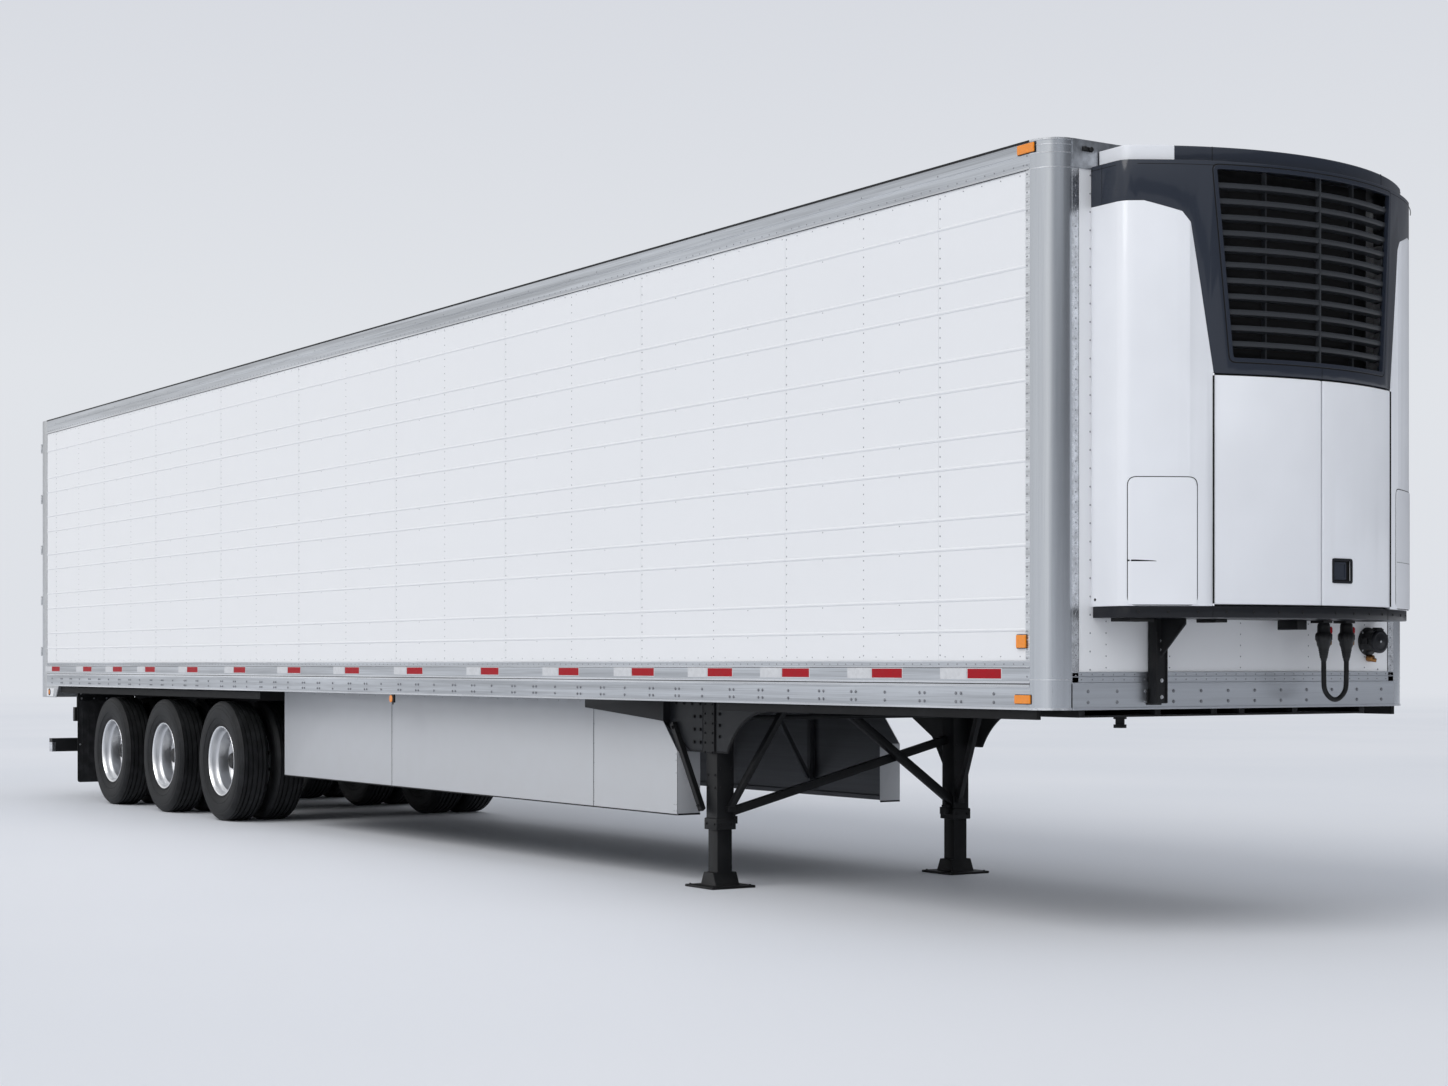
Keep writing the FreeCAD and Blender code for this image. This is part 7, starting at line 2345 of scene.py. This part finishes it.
@dataclass
class LandingGear:
    """Rounded legs, plates and braces with their bolts.

    Args:
        nodes: The CAD nodes by name.
        along: The legs' middle, along the trailer.
        across: The legs' middle, from the centreline.
        tube: Half the outer tube's width.
        plate: Outer face of the wing plates, from the centreline.
        facing: How far the wing plates' facings stand out.
        tube_facing: How far the tubes' facings stand out.
        plate_top: Top of the wing plates' facings.
    """

    nodes: dict[str, bpy.types.Object]
    along: float = 4.371
    across: float = 0.933
    tube: float = 0.063
    plate: float = 1.008
    facing: float = 0.003
    tube_facing: float = 0.010
    plate_top: float = 1.158

    def build(self, fixings: Fixings) -> None:
        """Makes both legs."""
        for node, bevel in (
            ("landing_leg_tubes", 0.005), ("landing_leg_feet", 0.004), ("landing_gear_plates", 0.003),
            ("landing_gear_braces", 0.003), ("landing_gear_crank", 0.003),
        ):
            Softening(node, Finishes.chassis, bevel).build(self.nodes)
        self.make_facings()
        self.make_brackets()
        self.make_bolts(fixings)

    def make_facings(self) -> None:
        """Lays slate faces over the wing plates, and the tube's own face in front of them."""
        plates, faces = Shape(), Shape()
        top, foot = self.plate_top, 0.852
        rear = [(3.830, top), (3.830, 1.030), (4.146, foot), (4.290, foot), (4.290, top)]
        x, z, radius = 5.011, 0.5962, 0.5138
        scoop = [math.radians(150.4 - 5.3 * k) for k in range(12)]
        arc = [(x + radius * math.cos(a), z + radius * math.sin(a)) for a in scoop]
        ahead = [(4.452, top), (4.452, 0.850), *arc, (5.0, top)]
        for side in Side:
            depth = side.span(self.plate - SUNK, self.plate + self.facing)
            plates.prism(rear, Axis.ACROSS, *depth)
            plates.prism(ahead, Axis.ACROSS, *depth)
            ends = (self.along - self.tube, self.along + self.tube)
            faces.mirrored(side, ends, (self.plate, self.plate + self.tube_facing), (0.8385, 1.162))
        plates.piece("wing_facings", Finishes.gusset, bevel=0.002)
        faces.piece("tube_facings", Finishes.chassis, bevel=0.004)

    def make_brackets(self) -> None:
        """Adds the blocks that hold the braces' feet."""
        shape = Shape()
        inner, front = self.across - self.tube, self.along + self.tube
        for side in Side:
            for depth, low, high in ((0.045, 0.392, 0.440), (0.030, 0.440, 0.455)):
                ends = (self.along - 0.032, self.along + 0.036)
                shape.mirrored(side, ends, (inner + 0.002, inner - depth), (low, high))
            ends = (front - 0.004, front + 0.034)
            shape.mirrored(side, ends, (self.across - 0.050, self.across), (0.470, 0.505))
        shape.piece("leg_brackets", Finishes.chassis, bevel=0.003)

    def make_bolts(self, fixings: Fixings) -> None:
        """Bolts plates, tubes, braces and collars."""
        spots: list[Spot] = []
        small: list[Spot] = []
        collar, collar_up, brace = 0.009, 0.395, 1.044
        for side in Side:
            way, middle = side.outward, side.value * self.across
            face = side.value * (self.plate + self.facing)
            row = (*steps(3.88, 4.26, 0.095), *steps(4.50, 4.92, 0.105))
            spots += [((x, face, 1.142), way) for x in row]
            spots += [((x, face, up), way) for x in (4.195, 4.265) for up in (0.90, 0.98, 1.06)]
            spots += [((4.485, face, up), way) for up in (0.94, 1.01, 1.08)]
            for out, half, heights in (
                (self.plate + self.tube_facing, 0.042, steps(0.84, 1.14, 0.06)),
                (self.across + self.tube, 0.040, (0.62, 0.70)),
                (self.across + self.tube + collar, 0.045, (collar_up,)),
            ):
                face = side.value * out
                small += [((self.along + x, face, up), way) for x in (-half, half) for up in heights]
            spots += [((x, side.value * brace, up), way) for x, up in ((3.985, 0.988), (4.291, 0.507))]
            for front, half, heights in ((0.0, 0.04, (0.62, 0.74, 0.86)), (collar, 0.045, (collar_up,))):
                ahead = self.along + self.tube + front
                places = [side.value * (self.across + y) for y in (-half, half)]
                small += [((ahead, y, up), AHEAD) for y in places for up in heights]
            corner = (-0.135, 0.135)
            small += [((self.along + x, middle + y, 0.0152), UPWARD) for x in corner for y in corner]
        fixings.bolts("gusset_bolts", spots, Finishes.chassis, radius=0.013, height=0.010)
        fixings.bolts("leg_bolts", small, Finishes.chassis, radius=0.009, height=0.006)


@dataclass
class Skirts:
    """Side skirts with their seams, rivets, trim and dark inner skins.

    Args:
        nodes: The CAD nodes by name.
        face: Outer face, from the centreline.
        rear: Their rear end.
        ends: Their front ends, left and right.
        low: Their foot.
        high: Their top.
        cut: Height of the sloping corner's foot at the front.
        slope: How far the corner slopes back up to the top.
        inner_end: Inner end of the plate across the front, from the centreline.
        seams: Where two sheets meet.
    """

    nodes: dict[str, bpy.types.Object]
    face: float = 1.050
    rear: float = -2.334
    ends: tuple[float, float] = (3.606, 4.056)
    low: float = 0.435
    high: float = 1.160
    cut: float = 0.836
    slope: float = 0.306
    inner_end: float = 0.881
    seams: tuple[float, ...] = (-0.178, 2.991)

    def build(self, fixings: Fixings) -> None:
        """Makes both skirts."""
        Softening("side_skirts", Finishes.skirt, 0.0012).build(self.nodes)
        # The skirt posts take the near-black zinc, as painted shade.
        Softening("skirt_posts", Finishes.dull, 0.0015).build(self.nodes)
        for side, end in zip(Side, self.ends):
            self.make_trim(side, end)
            self.make_inside(side, end)
            self.make_rivets(side, end, fixings)

    def make_trim(self, side: Side, end: float) -> None:
        """Edges the sheet, marks its seams and trims its foot."""
        bright, dark = Shape(), Shape()
        face, upright, line = self.face, (self.low + 0.006, self.high), 0.0035
        for seam in self.seams:
            lay_strip(bright, side, face, (seam - 0.016, seam - 0.004), upright)
            lay_strip(bright, side, face, (seam + 0.004, seam + 0.013), upright)
            lay_strip(dark, side, face, (seam - line, seam + line), (self.low + 0.004, self.high), 0.0006)
        lay_strip(dark, side, face, (self.rear, end), (self.low - 0.003, self.low + 0.005), 0.0025)
        lay_strip(dark, side, face, (end - line, end), (self.low, self.cut), 0.0008)
        lay_strip(bright, side, face, (self.rear, self.rear + 0.010), upright)
        foot = (self.low - 0.003, self.low + 0.008)
        dark.mirrored(side, (end - BITE, end + 0.0015), (self.inner_end, face - 0.003), foot)
        bright.piece(f"skirt_edges_{side.label}", Finishes.skirt, bevel=0.0008)
        dark.piece(f"skirt_trim_{side.label}", Finishes.seal, bevel=0.0004)

    def make_inside(self, side: Side, end: float) -> None:
        """Lines the skirt with dark sheet, with a channel along its foot."""
        shape = Shape()
        rear, foot, front = self.rear + 0.004, self.low + 0.002, end - 0.005
        slope = end - self.slope
        outline = [(rear, foot), (front, foot), (front, self.cut), (slope, self.high), (rear, self.high)]
        shape.prism(outline, Axis.ACROSS, *side.span(1.0448, 1.0462))
        for depth, tall in (((1.0145, 1.045), 0.003), ((1.011, 1.0135), 0.030)):
            shape.mirrored(side, (rear, end - 0.006), depth, (self.low, self.low + tall))
        shape.piece(f"skirt_lining_{side.label}", Finishes.lining, bevel=0.0006)

    def make_rivets(self, side: Side, end: float, fixings: Fixings) -> None:
        """Rivets the front edge and the top, sparsely."""
        way = side.outward
        face = side.value * self.face
        spots = [((end - 0.016, face, up), way) for up in (0.46, 0.50, 0.70, 0.78, 0.82)]
        spots += [((end - 0.04, face, up), way) for up in (0.46, 0.50)]
        spots += [((x, face, self.high - 0.02), way) for x in steps(self.rear + 0.05, end - 0.35, 0.30)]
        spots += [((self.rear + 0.005, face, up), way) for up in steps(0.47, 1.12, 0.16)]
        proud = face + side.value * 0.002
        spots += [((seam + 0.0085, proud, up), way) for seam in self.seams for up in steps(0.47, 1.12, 0.13)]
        fixings.rivets(f"skirt_rivets_{side.label}", spots, Finishes.rivet, radius=0.0045, height=0.002)


@dataclass
class RearGuard:
    """Mud flaps, black plates of painted shade over the wheels, and the bumper with its end caps.

    Args:
        nodes: The CAD nodes by name.
        flap: The flaps' front face.
        flap_sides: A flap's inner and outer edge, from the centreline.
        flap_band: Foot and top of a flap.
        liner: Rear and front end of the black plates of painted shade.
        liner_low: Underside of the plates.
        liner_high: Their top.
    """

    nodes: dict[str, bpy.types.Object]
    flap: float = -7.359
    flap_sides: Span = (0.650, 1.250)
    flap_band: Span = (0.170, 1.153)
    liner: Span = (-7.300, -2.345)
    liner_low: float = 1.1485
    liner_high: float = 1.1525

    def build(self, fixings: Fixings) -> None:
        """Makes flaps, plates of painted shade and bumper."""
        Softening("rear_bumper", Finishes.chassis, 0.004).build(self.nodes)
        Softening("mud_flap_hangers", Finishes.chassis, 0.002).build(self.nodes)
        self.make_flaps(fixings)
        self.make_liners()
        self.make_bumper(fixings)

    def make_flaps(self, fixings: Fixings) -> None:
        """Hangs two ribbed flaps with rounded lower corners."""
        flaps, edges = Shape(), Shape()
        spots: list[Spot] = []
        inner, outer = self.flap_sides
        low, high = self.flap_band
        rib, edge = 0.006, 0.012
        for side in Side:
            near, far = side.value * inner, side.value * outer
            corners = [(near, low), (far, low), (far, high), (near, high)]
            outline = [*rounded(corners, 0.028)[:12], *corners[2:]]
            flaps.prism(outline, Axis.ALONG, self.flap - 0.010, self.flap)
            depth = (self.flap - 0.0125, self.flap + 0.0025)
            for y in (0.700 + 0.0625 * k for k in range(9)):
                flaps.mirrored(side, depth, (y - rib, y + rib), (0.21, 0.93))
            for across in ((outer, outer - edge), (inner, inner + edge)):
                edges.mirrored(side, (self.flap - 0.0115, self.flap + 0.0015), across, (0.20, 1.12))
            clamp = (inner + 0.002, outer - 0.002)
            edges.mirrored(side, (self.flap - 0.0105, self.flap + 0.006), clamp, (1.010, 1.060))
            spots += [((self.flap + 0.006, side.value * y, 1.035), AHEAD) for y in steps(0.69, 1.21, 0.13)]
            spots.append(((self.flap, side.value * 1.225, 0.560), AHEAD))
            spots += [((self.flap, side.value * 1.215, up), AHEAD) for up in (1.085, 1.125)]
        flaps.piece("flap_sheets", Finishes.flap, bevel=0.002, stands_for=("mud_flaps",))
        edges.piece("flap_edges", Finishes.chassis, bevel=0.002)
        fixings.bolts("flap_bolts", spots, Finishes.zinc, radius=0.010, height=0.005)

    def make_liners(self) -> None:
        """Closes the space round the tops of the tyres with folded black plates: painted shade, so that the
        underside reads dark and no light shows through.
        """
        shape, inner = Shape(), Shape()
        rear, front = self.liner
        low, high = self.liner_low, self.liner_high
        for side in Side:
            # Black plates over the tyres are painted shade for the dark underside.
            shape.mirrored(side, (rear, front), (0.540, 1.272), (low, high))
            shape.mirrored(side, (-7.850, front), (1.268, 1.272), (1.090, high))
            # Upright black plates inside the tyres, also painted shade.
            inner.mirrored(side, (self.flap + SUNK, front - 0.02), (0.641, 0.646), (0.880, low))
            for x in steps(rear + 0.01, front - 0.01, 0.6096):
                shape.mirrored(side, (x - 0.012, x + 0.012), (0.545, 1.265), (high, high + 0.014))
        shape.piece("wheel_liners", Finishes.liner, bevel=0.0015)
        inner.piece("inner_liners", Finishes.liner, bevel=0.0015)

    @staticmethod
    def make_bumper(fixings: Fixings) -> None:
        """Caps the bumper's ends, and lays tape and bolts on its back."""
        caps, red, white = Shape(), Shape(), Shape()
        spots: list[Spot] = []
        for side in Side:
            caps.mirrored(side, (-8.3248, -8.2232), (1.212, 1.2508), (0.4592, 0.5608))
            for number, start in enumerate(steps(0.06, 1.02, 0.24)):
                tape = red if number % 2 else white
                tape.mirrored(side, (-8.3252, -8.3235), (start, start + 0.20), (0.485, 0.535))
            spots += [((-8.324, side.value * y, up), BEHIND) for y in (0.45, 0.50) for up in (0.475, 0.545)]
        caps.piece("bumper_caps", Finishes.bright, bevel=0.004)
        red.piece("bumper_red_tape", Finishes.red_tape, bevel=0.0003)
        white.piece("bumper_white_tape", Finishes.white_tape, bevel=0.0003)
        fixings.bolts("bumper_bolts", spots, Finishes.zinc, radius=0.012, height=0.007)


@dataclass
class Tanks:
    """The fuel tank, and the air tanks with their straps and welds.

    Args:
        nodes: The CAD nodes by name.
        along: The air tanks' places along the trailer.
        height: Height of their axes.
        straps: The straps' places across the trailer.
        welds: The welds' places across the trailer.
    """

    nodes: dict[str, bpy.types.Object]
    along: Span = (-1.6873, -1.3836)
    height: float = 1.016
    straps: Span = (-0.26, 0.26)
    welds: Span = (-0.34, 0.34)

    def build(self, fixings: Fixings) -> None:
        """Softens the fuel tank, the coupler plate and the suspension frame, and dresses the air tanks."""
        Softening("fuel_tank", Finishes.tank, 0.003).build(self.nodes)
        Softening("coupler_plate", Finishes.chassis, 0.003).build(self.nodes)
        Softening("suspension_frame", Finishes.chassis, 0.003).build(self.nodes)
        shape = Shape()
        strap = [(0.1205, -0.02), (0.1225, -0.02), (0.1225, 0.02), (0.1205, 0.02)]
        weld = [(0.1195, -0.003), (0.1215, 0.0), (0.1195, 0.003)]
        for x in self.along:
            for profile, places in ((strap, self.straps), (weld, self.welds)):
                for y in places:
                    shape.turned(profile, (x, y, self.height), Axis.ACROSS, 40)
        shape.piece("tank_straps", Finishes.zinc, crease=40)
        spots = [((x, y, self.height - 0.1215), DOWNWARD) for x in self.along for y in self.straps]
        fixings.bolts("tank_bolts", spots, Finishes.zinc, radius=0.012, height=0.008)


# --------------------------------------------------------------------------- rear end


@dataclass
class RearEnd:
    """Rear doors and frame with seals, trim, lamps, tape and bumpers.

    Args:
        nodes: The CAD nodes by name.
        leaf: Inner and outer edge of a door, from the centreline.
        band: Foot and top of the doors.
        hinges: Heights of the hinge straps.
        beads: Feet of the doors' pressed beads.
        bumper: Back of the rubber dock bumpers.
        lamps: The round lamps' places, from the centreline.
        header_lamps: The oblong lamps' places across the header.
    """

    nodes: dict[str, bpy.types.Object]
    leaf: tuple[float, float] = (0.009, 1.192)
    band: tuple[float, float] = (1.378, 3.842)
    hinges: tuple[float, ...] = (1.526, 2.068, 2.610, 3.152, 3.694)
    beads: tuple[float, ...] = (1.72, 2.25, 2.79, 3.33)
    bumper: float = -8.452
    lamps: Span = (0.960, 1.100)
    header_lamps: tuple[float, ...] = (-1.25, -0.095, 0.0, 0.095, 1.25)

    def build(self, fixings: Fixings) -> None:
        """Makes doors, frame and lamps."""
        Softening("rear_frame", Finishes.zinc, 0.003).build(self.nodes)
        for side in Side:
            body = f"rear_door_{side.label}"
            Softening(body, Finishes.door, 0.003, body).build(self.nodes)
            Softening(f"rear_door_gear_{side.label}", Finishes.zinc, 0.002, body).build(self.nodes)
            self.make_edging(side, body, fixings)
            self.make_bolts(side, body, fixings)
        self.make_frame(fixings)
        self.make_lamps()
        self.make_corner_lamps()

    def border(self, shape: Shape, side: Side, inset: float, wide: float, proud: float) -> None:
        """Adds a border to a door's back.

        Args:
            shape: The shape it joins.
            side: The door's side.
            inset: How far it lies inside the door's edges.
            wide: Its width.
            proud: How far it stands out.
        """
        near, far = (self.leaf[0] + inset, self.leaf[1] - inset)
        low, high = (self.band[0] + inset, self.band[1] - inset)
        for span, up in (
            ((near, near + wide), (low, high)), ((far - wide, far), (low, high)),
            ((near + wide, far - wide), (low, low + wide)), ((near + wide, far - wide), (high - wide, high)),
        ):
            shape.mirrored(side, (FRAME_BACK - proud, FRAME_BACK + BITE), span, up)

    def make_edging(self, side: Side, body: str, fixings: Fixings) -> None:
        """Edges a door with a rubber seal and a riveted aluminium trim, and presses its panel."""
        seal, trim, panel = Shape(), Shape(), Shape()
        self.border(seal, side, -0.005, 0.018, 0.0035)
        self.border(trim, side, 0.016, 0.040, 0.0022)
        for low in self.beads:
            panel.mirrored(side, (FRAME_BACK - 0.0028, FRAME_BACK + BITE), (0.075, 1.125), (low, low + 0.016))
        seal.piece(f"door_seal_{side.label}", Finishes.seal, body, 0.0015)
        trim.piece(f"door_trim_{side.label}", Finishes.bright, body, 0.0008)
        panel.piece(f"door_beads_{side.label}", Finishes.door, body, 0.0025)
        back, inset = FRAME_BACK - 0.0022, 0.036
        heights = steps(self.band[0] + 0.04, self.band[1] - 0.04, 0.11)
        places = [(y, up) for y in (self.leaf[0] + inset, self.leaf[1] - inset) for up in heights]
        across = steps(0.12, 1.08, 0.12)
        places += [(y, up) for up in (self.band[0] + inset, self.band[1] - inset) for y in across]
        spots = [((back, side.value * y, up), BEHIND) for y, up in places]
        fixings.rivets(f"door_rivets_{side.label}", spots, Finishes.rivet, body, 0.0045, 0.002)

    def make_bolts(self, side: Side, body: str, fixings: Fixings) -> None:
        """Bolts the hinge straps to a door."""
        spots = [
            ((FRAME_BACK - 0.008, side.value * y, height + offset), BEHIND)
            for height in self.hinges for y in (0.925, 1.02, 1.115) for offset in (-0.019, 0.019)
        ]
        fixings.bolts(f"strap_bolts_{side.label}", spots, Finishes.zinc, body, 0.010, 0.006)

    def make_frame(self, fixings: Fixings) -> None:
        """Adds bumpers, tape, a drip rail and rivets to the frame."""
        rubber, red, white, rail = Shape(), Shape(), Shape(), Shape()
        spots: list[Spot] = []
        bolts: list[Spot] = []
        post, clear = 1.225, 0.09
        heights = [up for up in steps(1.30, 3.84, 0.09) if min(abs(up - h) for h in self.hinges) > clear]
        film = (FRAME_BACK - 0.0012, FRAME_BACK + BITE)
        for side in Side:
            rubber.mirrored(side, (self.bumper, FRAME_BACK + SUNK), (0.36, 0.80), (1.128, 1.238))
            places = [(side.value * y, up) for y in (0.42, 0.58, 0.74) for up in (1.155, 1.211)]
            bolts += [((self.bumper, y, up), BEHIND) for y, up in places]
            for number, start in enumerate(steps(0.02, 0.86, 0.28)[:-1]):
                tape = white if number % 2 else red
                tape.mirrored(side, film, (start, start + 0.276), (1.052, 1.102))
            white.mirrored(side, film, (0.98, 1.18), (3.905, 3.955))
            spots += [((FRAME_BACK, side.value * post, up), BEHIND) for up in heights]
        for up, pitch in ((3.868, 0.10), (1.352, 0.12)):
            spots += [((FRAME_BACK, y, up), BEHIND) for y in steps(-1.15, 1.15, pitch)]
        root, lip = FRAME_BACK + BITE, FRAME_BACK - 0.022
        rail.prism([(root, 3.972), (lip, 3.962), (lip, 3.966), (root, 3.978)], Axis.ACROSS, -1.29, 1.29)
        rubber.piece("dock_bumpers", Finishes.flap, bevel=0.008, segments=3)
        red.piece("rear_red_tape", Finishes.red_tape, bevel=0.0003)
        white.piece("rear_white_tape", Finishes.white_tape, bevel=0.0003)
        rail.piece("drip_rail", Finishes.bright, bevel=0.001)
        fixings.rivets("rear_rivets", spots, Finishes.rivet, radius=0.0045, height=0.002)
        fixings.bolts("bumper_block_bolts", bolts, Finishes.zinc, radius=0.016, height=0.006)

    def make_lamps(self) -> None:
        """Sets round and oblong lamps into grommets across the back."""
        lenses, seats = Shape(), Shape()
        grommet = [
            (0.0505, 0.0005), (0.061, 0.0005), (0.062, -0.004), (0.058, -0.009), (0.052, -0.010),
            (0.0505, -0.006),
        ]
        lens = [
            (0.0005, 0.0), (0.0515, 0.0), (0.0515, -0.006), (0.046, -0.009), (0.024, -0.0115),
            (0.021, -0.0105), (0.0005, -0.012),
        ]
        for side in Side:
            for y in self.lamps:
                spot = (FRAME_BACK, side.value * y, 1.180)
                seats.turned(grommet, spot, Axis.ALONG, 40)
                lenses.turned(lens, spot, Axis.ALONG, 40)
        for y in self.header_lamps:
            seats.block((FRAME_BACK - 0.005, y - 0.036, 3.886), (FRAME_BACK + BITE, y + 0.036, 3.934))
            lenses.block((FRAME_BACK - 0.011, y - 0.030, 3.892), (FRAME_BACK - 0.004, y + 0.030, 3.928))
        lenses.piece("rear_lenses", Finishes.red, bevel=0.002, crease=50, stands_for=("rear_lamps",))
        seats.piece("lamp_grommets", Finishes.seal, bevel=0.001, crease=50)

    @staticmethod
    def make_corner_lamps() -> None:
        """Puts a round lamp on a pale plate at the foot of each rear corner."""
        plate, lens, seat = Shape(), Shape(), Shape()
        outline = [(-8.236, 1.050), (-8.030, 1.050), (-7.995, 1.135), (-8.236, 1.135)]
        ring = [(0.026, 0.001), (0.036, 0.001), (0.036, 0.005), (0.030, 0.008), (0.026, 0.006)]
        dome = [(0.0005, 0.001), (0.0265, 0.001), (0.0265, 0.006), (0.020, 0.010), (0.0005, 0.0115)]
        for side in Side:
            plate.prism(outline, Axis.ACROSS, *side.span(RAIL_FACE - SUNK, RAIL_FACE + 0.002))
            spot = (-8.148, side.value * RAIL_FACE, 1.096)
            for shape, profile in ((seat, ring), (lens, dome)):
                shape.turned([(radius, side.value * run) for radius, run in profile], spot, Axis.ACROSS, 32)
        plate.piece("corner_plates", Finishes.panel, bevel=0.001)
        seat.piece("corner_lamp_seats", Finishes.seal, crease=50)
        lens.piece("corner_lamp_lenses", Finishes.amber, crease=50)



def sub_assemblies(nodes: dict[str, bpy.types.Object]) -> list[Any]:
    """Every sub-assembly, in the order of its making.

    Args:
        nodes: The CAD nodes by name.

    Returns:
        The sub-assemblies.
    """
    return [
        PowerCable(), Connectors(), UnitSupports(nodes), SideSkin(), Rails(), CornerPosts(),
        FrontWall(), RoofSheet(), Lamps(), Wheels(), RunningGear(nodes), CoolingUnit(nodes),
        LandingGear(nodes), Skirts(nodes), RearGuard(nodes), Tanks(nodes), RearEnd(nodes),
    ]


# --------------------------------------------------------------------------- studio


@dataclass
class Studio:
    """Floor, light and camera.

    Args:
        eye: The camera's place.
        heading: Its turn about the vertical, in degrees.
        lens: Its focal length in millimetres, on a 36 mm sensor.
        rise: How far the frame is shifted up.
        horizon: The colour where floor and backdrop meet.
    """

    eye: Place = (16.736, -8.925, 1.386)
    heading: float = 57.03
    lens: float = 58.72
    rise: float = 0.0839
    horizon: str = "DEE1E7"

    def build(self) -> None:
        """Makes the camera, then the floor and the light."""
        self.make_camera()
        self.make_floor()
        self.make_lights()
        self.make_world()
        bpy.context.scene.view_settings.view_transform = "Standard"

    def make_camera(self) -> None:
        """Sets a level camera at eye height."""
        data = bpy.data.cameras.new("camera")
        data.lens = self.lens
        data.sensor_width = 36.0
        data.shift_y = self.rise
        camera = bpy.data.objects.new("camera", data)
        camera.location = self.eye
        camera.rotation_euler = (math.radians(90), 0.0, math.radians(self.heading))
        bpy.context.scene.collection.objects.link(camera)
        bpy.context.scene.camera = camera

    def make_floor(self) -> None:
        """Lays a wide pale floor."""
        mesh = bpy.data.meshes.new("floor")
        reach = 400.0
        corners = [(-reach, -reach, 0), (reach, -reach, 0), (reach, reach, 0), (-reach, reach, 0)]
        mesh.from_pydata(corners, [], [(0, 1, 2, 3)])
        floor = bpy.data.objects.new("floor", mesh)
        bpy.context.scene.collection.objects.link(floor)
        graph = Graph("floor")
        spot = graph.place()
        cloud = graph.noise(spot, 0.12, 2.0)
        colour = graph.mix(cloud.ramp(0.3, 0.7), linear("E0E3E9"), linear("E6E8ED"))
        graph.dress(Base_Color=colour, Roughness=0.55, Specular_IOR_Level=0.15)
        away = graph.add("ShaderNodeVectorMath", {"operation": "LENGTH"}, {0: spot}, "Value")
        glow = graph.add("ShaderNodeEmission", {}, {0: linear(self.horizon)})
        skin = Value(graph, graph.surface.outputs[0])
        both = graph.add("ShaderNodeMixShader", {}, {0: away.ramp(24.0, 110.0), 1: skin, 2: glow})
        graph.feed(graph.tree.nodes["Material Output"].inputs[0], both)
        mesh.materials.append(graph.material)

    def make_lights(self) -> None:
        """Hangs two broad lamps, which light the whole floor alike."""
        for name, power, spread, tilt, turn, colour in (
            ("key", 1.30, 40.0, 46.0, 12.0, (1.0, 0.99, 0.975)),
            ("fill", 0.30, 60.0, 50.0, 80.0, (0.93, 0.96, 1.0)),
        ):
            data = bpy.data.lights.new(name, "SUN")
            data.energy = power
            data.angle = math.radians(spread)
            data.color = colour
            lamp = bpy.data.objects.new(name, data)
            lamp.rotation_euler = (math.radians(tilt), 0.0, math.radians(turn))
            bpy.context.scene.collection.objects.link(lamp)

    def make_world(self) -> None:
        """Sets a pale sky that lights softly, and shows a backdrop to the eye and to gloss."""
        world = bpy.data.worlds.new("studio")
        world.use_nodes = True
        bpy.context.scene.world = world
        nodes, links = world.node_tree.nodes, world.node_tree.links
        nodes.clear()
        path = nodes.new("ShaderNodeLightPath")
        shown = nodes.new("ShaderNodeMath")
        shown.operation = "MAXIMUM"
        links.new(path.outputs["Is Camera Ray"], shown.inputs[0])
        links.new(path.outputs["Is Glossy Ray"], shown.inputs[1])
        seen = nodes.new("ShaderNodeMath")
        seen.operation = "MAXIMUM"
        links.new(shown.outputs[0], seen.inputs[0])
        links.new(path.outputs["Is Transmission Ray"], seen.inputs[1])
        place = nodes.new("ShaderNodeTexCoord")
        split = nodes.new("ShaderNodeSeparateXYZ")
        links.new(place.outputs["Generated"], split.inputs[0])
        ramp = nodes.new("ShaderNodeValToRGB")
        stops = ((0.0, self.horizon), (0.12, "E1E4E9"), (0.45, "CDD0D9"), (1.0, "C2C6D0"))
        Graph.set_stops(ramp.color_ramp, [(at, linear(colour)) for at, colour in stops])
        links.new(split.outputs[2], ramp.inputs[0])
        backdrop = nodes.new("ShaderNodeBackground")
        gleam = nodes.new("ShaderNodeValToRGB")
        shades = (
            (0.0, (0.13, 0.135, 0.15)), (0.50, (0.20, 0.21, 0.23)), (0.68, (0.42, 0.44, 0.47)),
            (0.78, (1.0, 1.0, 1.0)), (0.92, (0.8, 0.81, 0.83)),
        )
        Graph.set_stops(gleam.color_ramp, shades)
        toward = nodes.new("ShaderNodeVectorMath")
        toward.operation = "DOT_PRODUCT"
        links.new(place.outputs["Generated"], toward.inputs[0])
        toward.inputs[1].default_value = (-0.15, -0.40, 0.35)
        centred = nodes.new("ShaderNodeMath")
        links.new(toward.outputs["Value"], centred.inputs[0])
        centred.inputs[1].default_value = 0.5
        links.new(centred.outputs[0], gleam.inputs[0])
        shine = nodes.new("ShaderNodeMix")
        shine.data_type = "RGBA"
        links.new(path.outputs["Is Glossy Ray"], shine.inputs[0])
        links.new(ramp.outputs[0], shine.inputs[6])
        links.new(gleam.outputs[0], shine.inputs[7])
        links.new(shine.outputs[2], backdrop.inputs[0])
        soft = nodes.new("ShaderNodeBackground")
        soft.inputs[0].default_value = (0.93, 0.955, 1.0, 1.0)
        soft.inputs[1].default_value = 0.62
        both = nodes.new("ShaderNodeMixShader")
        links.new(seen.outputs[0], both.inputs[0])
        links.new(soft.outputs[0], both.inputs[1])
        links.new(backdrop.outputs[0], both.inputs[2])
        out = nodes.new("ShaderNodeOutputWorld")
        links.new(both.outputs[0], out.inputs[0])


def dress_frame(nodes: dict[str, bpy.types.Object]) -> None:
    """Gives every CAD node its finish.

    Args:
        nodes: The CAD nodes by name.
    """
    for finish, names in NODE_FINISHES.items():
        for name in names:
            mesh = nodes[name].data
            mesh.materials.clear()
            mesh.materials.append(finish.material())


def main() -> None:
    """Builds the trailer round its frame."""
    logging.basicConfig(level=logging.INFO, format="%(message)s")
    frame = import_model()
    Studio().build()
    dress_frame(frame["nodes"])
    fixings = Fixings()
    for part in sub_assemblies(frame["nodes"]):
        part.build(fixings)


if __name__ == "__main__":
    main()
